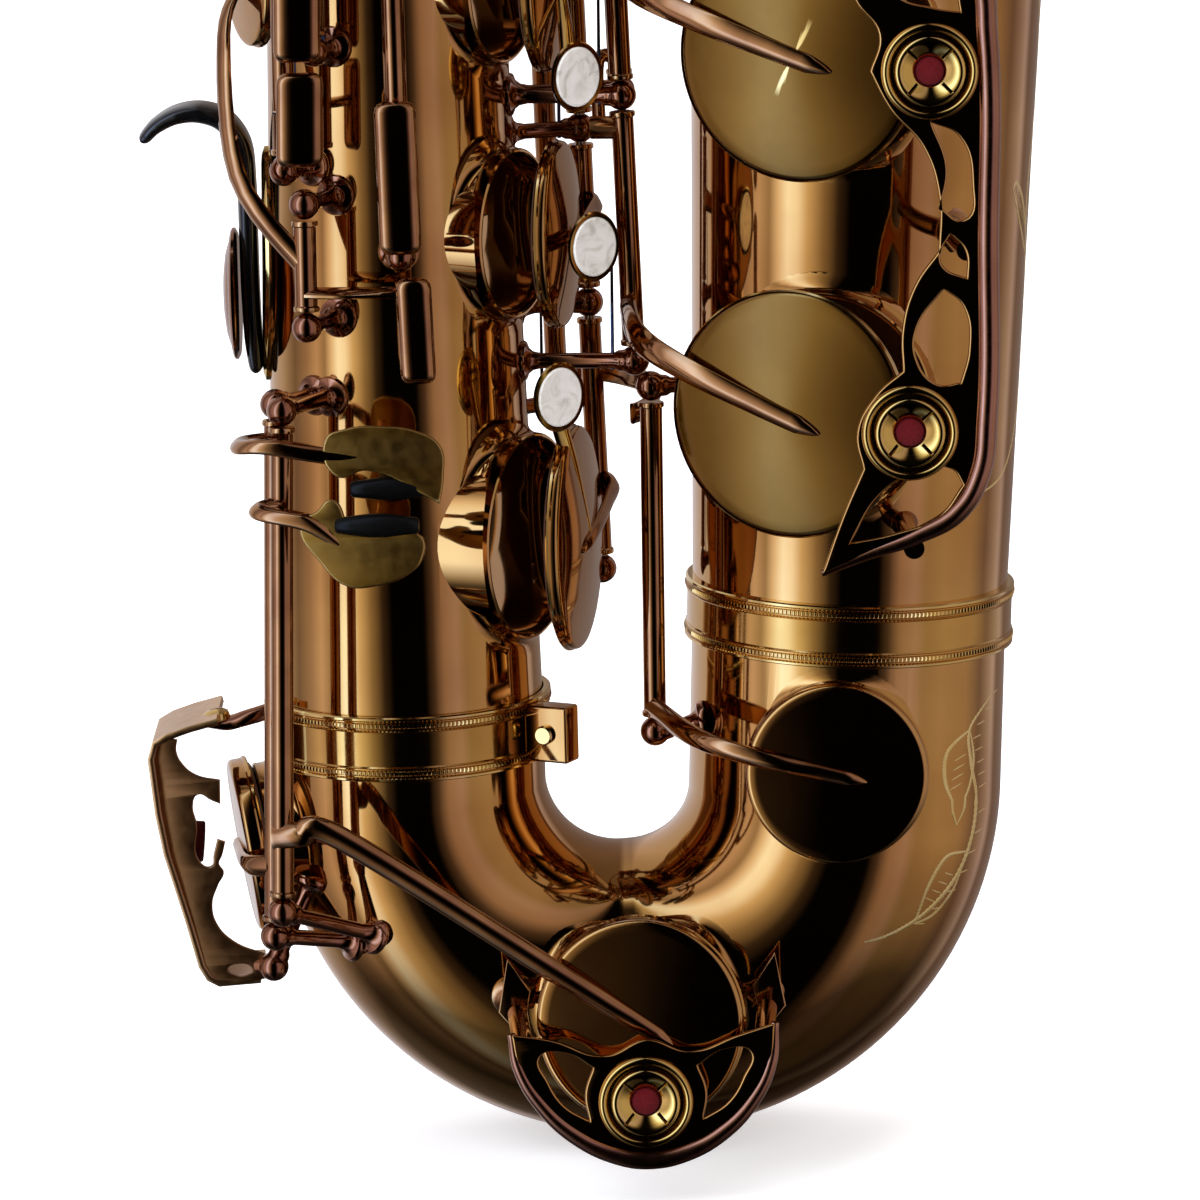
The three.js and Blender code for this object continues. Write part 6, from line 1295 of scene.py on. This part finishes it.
def rolled_edge(name, points, shares, radius, material):
    """A wire rolled along the edge of a plate, which thins to its share of the radius at each point."""
    curve = bpy.data.curves.new(name, "CURVE")
    curve.dimensions = "3D"
    curve.bevel_depth = radius
    curve.bevel_resolution = 4
    curve.use_fill_caps = True
    curve.resolution_u = 10
    spline = curve.splines.new("BEZIER")
    spline.bezier_points.add(len(points) - 1)
    for knot, place, share in zip(spline.bezier_points, points, shares):
        knot.co = place
        knot.radius = share
        knot.handle_left_type = knot.handle_right_type = "AUTO"
    return coated(solid_of(curve), material)


BELL_GUARD_DEPTH, C_GUARD_DEPTH, EB_GUARD_DEPTH = -63, -57, -18.6
bell_outline = [
    (90.5, 139.9, 0), (99.5, 143.5), (110.9, 147.5), (119.5, 152.5), (124.2, 160.5), (125.8, 172), (126.6, 210),
    (126.9, 254), (125.2, 266), (118, 273), (104, 276, 0), (97.5, 270.5), (99.5, 261.6), (104.4, 254.2),
    (102.4, 246.5, 0), (106.5, 238.5), (113.2, 230.5), (116.4, 220), (116.2, 208.3, 0), (111, 201), (108.3, 191.9),
    (108.3, 183, 0), (102.5, 178), (98.4, 170.2), (99.6, 162.3, 0), (95.2, 152.5)]
bell_windows = [
    [(115.2, 235.4, 0), (120.8, 232.5), (123.4, 222.5), (121.7, 214.8), (116.8, 217.5, 0), (118.3, 226)],
    [(118.8, 211.8, 0), (121.8, 208.3), (122.0, 202.5, 0), (117.4, 204.8), (116.6, 207.5)],
    [(117.2, 200.2, 0), (121.2, 196.5), (122.2, 187.2), (120.4, 180.2, 0), (115.6, 180.0), (111.2, 185.8),
     (111.6, 192.5)],
    [(96.6, 146.4, 0), (103.2, 156.8), (110.5, 161.2), (118.2, 161.8), (120.6, 158.4, 0), (115.4, 151.8),
     (106.0, 148.2)],
    [(104.4, 268.8, 0), (112.5, 270.2), (119.2, 266.3), (121.4, 258.5, 0), (116.2, 259.4), (108.4, 262.2)],
]
bell_bosses = [Vector((109.6, BELL_GUARD_DEPTH, 169.9)), Vector((114.9, BELL_GUARD_DEPTH, 246.3))]
bell_plate = coated(plate("guard", [bell_outline, *bell_windows, *[boss_hole(boss) for boss in bell_bosses]], 1.6,
                          facing(BELL_GUARD_DEPTH), 0.45, 8), body_lacquer)
bell_rim = rolled_edge("rim", [(x, -63.6, z) for x, z, *_ in bell_outline[:11]],
                       [0.3, 0.5, 0.75, 0.95, 1, 1, 1, 1, 1, 0.85, 0.35], 2.4, rim_copper)
bell_legs = []
for across, up_share in [(0.54, 0.035), (0.87, 0.502), (0.6, 0.97)]:
    head = Vector((90.5 + across * 36.4, -63.8, 140 + up_share * 136))
    bell_foot = BELL_ORIGIN + BELL_AXIS * (head.z - BELL_ORIGIN.z)
    bell_foot.x += (head.x - bell_foot.x) * 0.8
    outward = (head - bell_foot).normalized()
    bell_legs.append(leg(bell_foot + outward * (BOW_BELL_RADIUS - 3.5), head))
fitted("bell_key_guard", [bell_plate, bell_rim, *[guard_boss(b) for b in bell_bosses], *bell_legs])
guard_felt("low_b_felt", bell_bosses[0], -60.4)
guard_felt("low_b_flat_felt", bell_bosses[1], -60.4)

c_boss = Vector((50.5, C_GUARD_DEPTH, 23.4))
c_outline_points = [(21.8, 39.0, 0), (23.2, 31.5), (27.6, 23.4), (35.5, 15.6), (45, 11.0), (51, 10.2), (58, 11.3),
                    (66.5, 15.6), (74, 23.4), (77.8, 31.5), (78.8, 40.2, 0), (70.4, 37.6), (60.5, 34.4), (51, 37.2),
                    (41.6, 33.8), (31.0, 37.4)]
c_eyes = [[(28.0, 34.0), (33.5, 34.6), (39.2, 31.2, 0), (37.4, 25.5), (38.2, 19.4, 0), (33.0, 22.8), (29.6, 28.2)]]
c_eyes.append([(101.2 - x, *rest) for x, *rest in c_eyes[0]])
c_plate = coated(plate("guard", [c_outline_points, *c_eyes, boss_hole(c_boss)], 1.6, facing(C_GUARD_DEPTH), 0.45, 10),
                 body_lacquer)
c_rim = rolled_edge("rim", [(x, -57.4, z) for x, z, *_ in c_outline_points[:11]],
                    [0.45, 0.7, 0.85, 1, 1.1, 1.15, 1.1, 1, 0.85, 0.7, 0.45], 2.0, rim_copper)
c_legs = []
for side in (1, -1):
    head = Vector((50.3 + side * 26.0, -57.8, 36))
    c_foot = Vector((50.3 + side * 28, -31.8, 41))
    c_legs.append(leg(c_foot, head))
    tang = [(side * 1.2, 10.6, 0), (side * -3.8, 3.2, 0), (side * -1.4, -7.2, 0), (side * 3.4, -1.4, 0)]
    tang_place = facing(-40.6) @ Matrix.Translation((c_foot.x, c_foot.z, 0))
    c_legs.append(coated(plate("foot", [tang], 1.2, tang_place, 0.3, 6), key_lacquer))
fitted("low_c_guard", [c_plate, guard_boss(c_boss), c_rim, *c_legs])
guard_felt("low_c_felt", c_boss, -54.6)


# Low E flat guard. A side plate with its edge bent back into a broad flange, held by a screw on a post above and a
# ball post below; a threaded barrel through the flange carries the felt that stops the cup.

eb_outline_points = [(-50.5, 97.3, 0), (-50.8, 94.5), (-49.4, 91.6), (-46.7, 89.4), (-41.4, 88.2, 0), (-41.5, 82.8, 0),
                     (-43.4, 83.6), (-46.4, 84.9), (-47.6, 82.4), (-46.9, 78.2), (-46.7, 69.9), (-44.2, 68.6),
                     (-43.4, 71.4), (-42.5, 74.8, 0), (-40.7, 74.2, 0), (-41.5, 71.2), (-42.3, 69.2), (-41.3, 67.2),
                     (-42.6, 64.5), (-44.1, 59.9), (-43.2, 55.4), (-39.5, 51.4), (-32.8, 48.5, 0), (-32.8, 42.9, 0),
                     (-43.4, 41.7), (-45.6, 42.8), (-47.1, 45.8), (-49.5, 55.8), (-52.2, 65.3), (-54.0, 71.6),
                     (-55.4, 80.5), (-56.7, 93.0), (-56.2, 95.8), (-54.0, 97.6)]
eb_slot = [(-41.1, 45.2), (-40.0, 46.2), (-35.8, 45.0), (-36.9, 44.1), (-40.0, 43.9)]
# The side guard's lacquer, satin over brushed brass.
guard_satin = lacquered("satin copper lacquered guard", "#8a5f3c", "#a5764a", "#e2b478", 0.32, 16.0, 0.9)
eb_plate = coated(plate("guard", [eb_outline_points, eb_slot], 1.4, facing(EB_GUARD_DEPTH), 0.3, 8), guard_satin)
for vertex in eb_plate.data.vertices:  # bent back, more and more towards its outer edge
    vertex.co.y += 0.004 * max(-33 - vertex.co.x, 0) ** 2
flange_edge = [(-41.5, 101.4), (-47.5, 99.9), (-52.6, 98.2), (-55.4, 96.6), (-56.4, 93.2), (-55.2, 80.8), (-53.7, 71.8),
               (-51.9, 65.3), (-49.3, 55.8), (-46.9, 46.0), (-45.3, 43.2), (-43.2, 42.0), (-34, 42.6)]
flange_rings = []
for i, (x, z) in enumerate(flange_edge):
    ahead, behind = flange_edge[min(i + 1, len(flange_edge) - 1)], flange_edge[max(i - 1, 0)]
    edge_way = Vector((ahead[0] - behind[0], 0, ahead[1] - behind[1])).normalized()
    edge_out = edge_way.cross(Vector((0, 1, 0))).normalized()
    centre, half_wide, half_thick = Vector((x, -7.4, z)), 12.4, 0.75
    flange_rings.append([centre + Vector((0, a * half_wide, 0)) + edge_out * (b * half_thick) for a, b in
                         [(-1, -0.5), (-0.98, -1), (0.98, -1), (1, -0.5), (1, 0.5), (0.98, 1), (-0.98, 1), (-1, 0.5)]])
eb_flange = coated(skinned("flange", flange_rings), guard_satin)
screw_at = Vector((-42.3, -11.5, 101.5))
eb_screw = coated(turned("screw", [(0, -1.4), (2.9, -1.4), (3.1, -0.9), (2.9, 0.2), (1.9, 0.85), (0, 1.1)], screw_at,
                         Vector((-0.18, -0.05, 1)), 32), gold_lacquer)
cut(eb_screw, rounded_box("slot", screw_at + UP, (4.8, 0.6, 0.5), None, 0.1))
eb_foot = coated(strap("foot", [(-43.4, -11.5, 98.8), (-39, -12, 98.2), (-34.5, -12.5, 99.4), (-28.6, -10.6, 100.8)],
                       UP, [6.4, 5.2, 4.0, 4.4], [1.6, 3.0, 3.2, 3.2]), post_lacquer)
eb_ball = post(bow_point(14, 38), (-30.8, -22.5, 46.4))
eb_lug = coated(bar("lug", (-34.5, -18.6, 45.6), (-31.2, -20.8, 46.2), 1.9), post_lacquer)
felt_at = Vector((-52.6, -6, 71.7))
felt_way = Vector((1, 0, -0.08)).normalized()
felt_root = felt_at - felt_way * 0.8
barrel = [(0, 0), (4.6, 0), (5.3, 0.4), (5.3, 1.3), (4.9, 1.9), (4.9, 3.0), (4.1, 3.4), (0, 3.4)]
eb_barrel = coated(turned("barrel", barrel, felt_root, felt_way, 40), gold_lacquer)
fitted("low_e_flat_guard", [eb_plate, eb_flange, eb_screw, eb_foot, eb_ball, eb_lug, eb_barrel])
eb_felt = coated(turned("felt", [(0, 2.7), (4.2, 2.7), (4.6, 3.0), (4.6, 6.9), (4.3, 7.2), (0, 7.3)], felt_root,
                        felt_way, 32), felt)
fitted("low_e_flat_felt", [eb_felt], 50)


# Brace between body and bell: a cast ring on two necks, soldered to an oval flange on the body and held to the
# bell's flange by two screws.

BRACE_HEIGHT = 444.5
brace_left = body_point(0, BRACE_HEIGHT).x
brace_along = (BRACE_HEIGHT - BELL_ORIGIN.z) / BELL_AXIS.z
brace_right = bell_point(180, brace_along).x
brace_middle = Vector(((brace_left + brace_right) / 2, 0, BRACE_HEIGHT))
ring_section = [(8.5 + 1.5 * math.copysign(abs(math.cos(a)) ** 0.6, math.cos(a)),
                 2.2 * math.copysign(abs(math.sin(a)) ** 0.6, math.sin(a))) for a in
                [2 * math.pi * i / 24 for i in range(25)]]
brace_parts = [coated(turned("ring", ring_section, brace_middle, (0, 1, 0), 64), key_lacquer)]
for sign, face_x in [(-1, brace_left), (1, brace_right)]:
    near = brace_middle + Vector((sign * 9.4, 0, 0))
    flat = Vector((face_x - sign * 1.2, 0, BRACE_HEIGHT))
    brace_parts.append(coated(rounded_box("flange", Vector((face_x - sign * 0.6, 0, BRACE_HEIGHT)), (2.4, 4.4, 11.4),
                                          None, 0.9), key_lacquer))
    brace_parts.append(coated(bar("neck", near, flat, 2.1, 2.2), key_lacquer))
    for rise_sign in (-1, 1):
        seat = Vector((face_x - sign * 1.6, 0, BRACE_HEIGHT + rise_sign * 4.2))
        brace_parts.append(coated(turned("screw", [(0, 0), (1.5, 0), (1.5, 0.5), (1.1, 0.95), (0, 1.1)], seat,
                                         (-sign, 0, 0), 20), gold_lacquer))
fitted("bell_brace", brace_parts)


# Neck receiver: a turned socket over the body's top, split at the back between two lugs that a thumb screw draws
# together on the neck's tenon.

socket = [(15.0, 676.2), (16.6, 676.2), (17.2, 676.8), (17.2, 678.2), (16.7, 678.9), (16.7, 689), (17.3, 689.6),
          (17.3, 690.8), (16.7, 691.4), (16.7, 706.2), (17.4, 706.9), (17.6, 708.4), (17.6, 709.8), (17.0, 710.9),
          (14.9, 710.9), (14.9, 691), (15.0, 676.2)]
receiver_parts = [coated(turned("socket", socket, Vector(), UP, 96), key_lacquer)]
LUG_X, LUG_Z = -21.9, 702.6
for sign in (-1, 1):
    receiver_parts.append(coated(rounded_box("lug", Vector((-20.8, sign * 2.15, LUG_Z)), (9.2, 2.7, 11.6), None, 0.7),
                                 key_lacquer))
fitted("neck_receiver", receiver_parts)
thumb_screw = [coated(bar("shank", (LUG_X, -8.4, LUG_Z), (LUG_X, 5.4, LUG_Z), 1.7), key_lacquer)]
KNOB_TEETH, TOOTH_DEPTH = 24, 0.35
knob_rings = []
for reach, at in [(2.4, -8.2), (5.8, -8.4), (6.4, -8.9), (6.4, -10.6), (5.8, -11.2), (3.4, -11.4), (2.2, -11.2)]:
    ring = []
    for i in range(KNOB_TEETH * 4):
        round_knob = math.radians(i * 90 / KNOB_TEETH)
        out = reach - (TOOTH_DEPTH if i % 4 < 2 and reach > 5 else 0)
        ring.append(Vector((LUG_X + out * math.cos(round_knob), at, LUG_Z + out * math.sin(round_knob))))
    knob_rings.append(ring)
thumb_screw.append(coated(skinned("knob", knob_rings), key_lacquer))
fitted("receiver_screw", thumb_screw)


# Neck: a tapered tube bent back to the mouthpiece, on a turned tenon, with a cork glued round its end and the
# octave vent standing on top.

NECK_ROUTE = [(0, 712), (-1, 730), (-8, 751), (-27, 768), (-58, 775), (-94, 768), (-128, 756), (-160, 750), (-196, 752)]


def neck_bend(share):
    """The neck's centre and direction, at a share of its list of bends."""
    place = share * (len(NECK_ROUTE) - 1)
    i = min(int(place), len(NECK_ROUTE) - 2)
    t = place - i
    a, b, c, d = [Vector((NECK_ROUTE[k][0], 0, NECK_ROUTE[k][1])) for k in
                  (max(i - 1, 0), i, i + 1, min(i + 2, len(NECK_ROUTE) - 1))]
    second, third = a * 2 - b * 5 + c * 4 - d, b * 3 - a - c * 3 + d
    centre = b + (c - a) * (t / 2) + second * (t * t / 2) + third * (t ** 3 / 2)
    return centre, ((c - a) / 2 + second * t + third * (1.5 * t * t)).normalized()


bends = [neck_bend(i / 256) for i in range(257)]
travelled = [0.0]
for i in range(256):
    travelled.append(travelled[-1] + (bends[i + 1][0] - bends[i][0]).length)


def neck_at(share):
    """The neck's centre, radius and direction, at a share of its length."""
    i = min(range(257), key=lambda k: abs(travelled[k] - share * travelled[-1]))
    return bends[i][0], 12.4 + (6.3 - 12.4) * share, bends[i][1]


def above_neck(share, lift):
    centre, radius, way = neck_at(share)
    above = Vector((way.z, 0, -way.x))
    return centre + above * (radius + lift)


NECK_WALL = 1.0
neck_stations = [neck_at(i / 64) for i in range(65)]
tenon = [(11.6, 690.5), (12.9, 690.5), (13, 690.8), (13, 711.4), (15.2, 711.4), (16, 712.0), (16.2, 713.2),
         (15.8, 714.2), (14.6, 714.8), (15.0, 715.6), (14.4, 716.4), (12.6, 716.6), (11.6, 716.4), (11.6, 690.5)]
VENT_SHARE, PIVOT_SHARE = 0.62, 0.34
vent_root, vent_radius, _ = neck_at(VENT_SHARE)
vent_top = vent_root + UP * (vent_radius + 4)
vent = [(1.2, -4.6), (4.6, -4.2), (3.6, -2.6), (3.2, -1.6), (3.2, -0.2), (2.9, 0), (1.3, 0), (1.2, -4.6)]
neck_parts = [coated(hose("neck", neck_stations, NECK_WALL, 72), body_lacquer),
              coated(turned("tenon", tenon, Vector(), UP, 96), gold_lacquer),
              coated(turned("vent", vent, vent_top, UP, 32), gold_lacquer)]
neck_pivot = above_neck(PIVOT_SHARE, 6)
NECK_BALL = 1.9
ball_arc = [(NECK_BALL * math.sin(math.radians(a)), -NECK_BALL * math.cos(math.radians(a))) for a in range(15, 180, 15)]
for sign in (-1, 1):
    offset = Vector((0, sign * 7, 0))
    neck_parts += [
        coated(bar("lug", above_neck(PIVOT_SHARE, -2.6) + offset, neck_pivot + offset, 1.5, edge=0.3), gold_lacquer),
        coated(turned("ball", [(0, -NECK_BALL), *ball_arc, (0, NECK_BALL)], neck_pivot + offset, UP, 20), gold_lacquer)]
neck_parts.append(coated(bar("pin", neck_pivot - Vector((0, 8.4, 0)), neck_pivot + Vector((0, 8.4, 0)), 0.9), steel))
fitted("neck_tube", neck_parts)

# Cork, pressed and sanded.
cork_tan = glossy("pressed neck cork", "#b98a5c", 0.75, 0.0, 0.6, 1.6)
neck_end, _, neck_way = neck_at(1.0)
cork_profile = [(6.7, -34), (7.2, -34), (7.9, -33.2), (8, -32), (8, -1), (7.6, -0.2), (6.7, -0.2), (6.7, -34)]
fitted("neck_cork", [coated(turned("cork", cork_profile, neck_end, neck_way, 48), cork_tan)], 50)


# Neck octave key: a sprung strap along the neck, with the vent's pad at one end and a loop round the receiver at
# the other.

LOOP_RADIUS, LOOP_HEIGHT = 23.5, 717.5
key_points = [vent_top + UP * 3.6, above_neck(0.55, 2.4) + UP * 2, above_neck(0.46, 2.4), neck_pivot - UP * 0.6,
              above_neck(0.22, 5), above_neck(0.12, 7), above_neck(0.05, 7.4), Vector((LOOP_RADIUS, 0, LOOP_HEIGHT))]
key_faces = []
for i, here in enumerate(key_points):
    on_way = key_points[min(i + 1, len(key_points) - 1)] - key_points[max(i - 1, 0)]
    key_faces.append(Vector((-on_way.z, 0, on_way.x)).normalized())
loop_ring = oval_section(LOOP_RADIUS, 0, 1.05, 1.05, 16)
neck_key_parts = [
    arm(key_points, key_faces, [3.6, 4.4, 5, 5.4, 5, 5, 4.6, 3], 1.7, 10),
    coated(turned("loop", loop_ring, Vector((0, 0, LOOP_HEIGHT)), UP, 96), key_lacquer),
    coated(turned("tube", [(0.9, -4.4), (2.0, -4.4), (2.1, -4.2), (2.1, -3.4), (1.8, -3.1), (1.8, 3.1), (2.1, 3.4),
                           (2.1, 4.2), (2.0, 4.4), (0.9, 4.4), (0.9, -4.4)], neck_pivot, (0, 1, 0), 28), key_lacquer),
    coated(turned("cup", [(3.9, 0.9), (4.3, 0.9), (4.6, 1.2), (4.6, 2.9), (4.2, 3.4), (2, 3.7), (0, 3.75)],
                  vent_top + UP * 0.4, UP, 32), key_lacquer),
    coated(turned("pad", [(0, 2.4), (0, 0), (3.4, 0), (4.0, 0.5), (4.0, 2.4)], vent_top + UP * 0.4, UP, 28), leather),
]
fitted("neck_octave_key", neck_key_parts)


# Mouthpiece: turned and milled hard rubber, with a ring of plain shank, a flat table for the reed and a beak that
# slopes down to the tip.

MOUTH_START = neck_end - neck_way * 22
MOUTH_DOWN = Vector((neck_way.z, 0, -neck_way.x)).normalized()
if MOUTH_DOWN.z > 0:
    MOUTH_DOWN = -MOUTH_DOWN
# Hard rubber, turned and polished.
hard_rubber = glossy("polished hard rubber", "#0e0d0d", 0.14, 0.6, 0.02, 4.0)


def mouth_point(distance, across, drop):
    return MOUTH_START + neck_way * distance + Vector((0, across, 0)) + MOUTH_DOWN * drop


mouth_rings = []
for distance, half_width, top, bottom in [
    (0, 11.9, 11.9, 11.9), (0.5, 12.5, 12.5, 12.5), (1.6, 12.6, 12.6, 12.6), (11.8, 12.6, 12.6, 12.6),
    (12.6, 12.4, 12.4, 12.4), (13.4, 11.7, 11.7, 11.7), (14.6, 11.7, 11.7, 11.7), (15.4, 12, 12, 12),
    (30, 12, 12, 12), (42.8, 12, 12, 12), (43.2, 12, 12, 9.25), (50, 11.9, 11.9, 9.2), (56, 11.7, 11.7, 9.2),
    (58, 11.6, 11.5, 9.2), (60, 11.5, 11.0, 9.2), (70, 10.6, 4.9, 9.2), (80, 9.5, -1.0, 9.2), (88, 8.6, -5.4, 9.2),
    (91.2, 8.3, -7.2, 9.2), (92, 8.0, -7.9, 9.0),
]:
    # The round section is cut flat at top and bottom.
    mouth_rings.append([
        mouth_point(distance, half_width * math.cos(angle), min(max(half_width * math.sin(angle), -top), bottom))
        for angle in [2 * math.pi * i / 72 for i in range(72)]])
mouth = edited(skinned("mouthpiece", mouth_rings), OUTWARD)
mouth_bore = bar("bore", mouth_point(-2, 0, 0), mouth_point(50, 0, 0), 8.3, sides=48)
mouth_window = bar("window", mouth_point(49, 0, -2.8), mouth_point(83, 0, 12), 5.2, sides=32)
cut(mouth, joined("cutters", [mouth_bore, mouth_window]), meets_itself=True)
fitted("mouthpiece", [coated(mouth, hard_rubber)], 32)


# Reed: a slip of cane, flat on the table, with its bark left on the heel and its vamp scraped thin to the tip.

# Dried cane, with its fibres along the reed.
cane, cane_tree, cane_spot = blank_material("dried reed cane")
along_cane = add_node(cane_tree, "ShaderNodeMapping", inputs={"Vector": cane_spot, "Scale": (30, 4500, 900)})
fibres = add_node(cane_tree, "ShaderNodeTexNoise",
                  inputs={"Vector": along_cane.outputs[0], "Scale": 1.0, "Detail": 4.0})
cane_tint = add_node(cane_tree, "ShaderNodeValToRGB", inputs={0: fibres.outputs[0]})
set_ramp(cane_tint.color_ramp, [(0.3, colour("#c9a560")), (0.7, colour("#e6cf94"))])
finished(cane, {"Base Color": cane_tint.outputs[0], "Roughness": 0.55, "Subsurface Weight": 0.1,
                "Subsurface Radius": (0.002, 0.0015, 0.001)})
REED_HEEL, REED_HALF = 47, 7.5
reed_rings = []
for distance, tall in [(0, 2.7), (0.3, 3.0), (20, 3.0), (21.5, 2.75), (24, 2.35), (29, 1.75), (35, 1.15), (40, 0.75),
                       (44, 0.5)]:
    reed_rings.append([mouth_point(REED_HEEL + distance, side * REED_HALF, 9.25 + drop) for side, drop in
                       [(-1, 0), (1, 0), (1, tall * 0.35), (0.93, tall * 0.72), (0.8, tall * 0.92), (0.5, tall),
                        (-0.5, tall), (-0.8, tall * 0.92), (-0.93, tall * 0.72), (-1, tall * 0.35)]])
fitted("reed", [coated(skinned("reed", reed_rings), cane)])


# Ligature: a band of plated brass round mouthpiece and reed, pierced for lightness, that two screws draw up.

LIG_INNER, LIG_OUTER = 14.35, 15.2
LIG_FOOT, LIG_LENGTH = 50, 19
band_lift = [(-0.2, 0), (0.1, 0.4), (0.1, 1.3), (-0.15, 1.7), (-0.15, 17.3), (0.1, 17.7), (0.1, 18.6), (-0.2, 19)]
band_profile = [(LIG_INNER, 0), *[(LIG_OUTER + lift, at) for lift, at in band_lift], (LIG_INNER, LIG_LENGTH),
                (LIG_INNER, 0)]
ligature_parts = [coated(turned("band", band_profile, mouth_point(LIG_FOOT, 0, 0), neck_way, 96), gold_lacquer)]
for share in (0.25, 0.75):
    screw_middle = mouth_point(LIG_FOOT + LIG_LENGTH * share, 0, LIG_OUTER + 2.2)
    across_way = Vector((0, 7.8, 0))
    ligature_parts.append(coated(bar("screw", screw_middle - across_way, screw_middle + across_way, 1.5), gold_lacquer))
    for side in (-1, 1):
        foot = screw_middle + Vector((0, side * 2.2, 0)) - MOUTH_DOWN * 2.6
        ligature_parts.append(coated(bar("lug", foot, foot + MOUTH_DOWN * 4.4, 1.9, edge=0.5), gold_lacquer))
    head = screw_middle - across_way
    ligature_parts.append(coated(turned("head", [(0, 0), (2.6, 0), (3.0, 0.3), (3.0, 2.0), (2.6, 2.3), (0, 2.3)], head,
                                        (0, 1, 0), 24), gold_lacquer))
fitted("ligature", ligature_parts)


scene = bpy.context.scene
scene.view_settings.view_transform = "Standard"
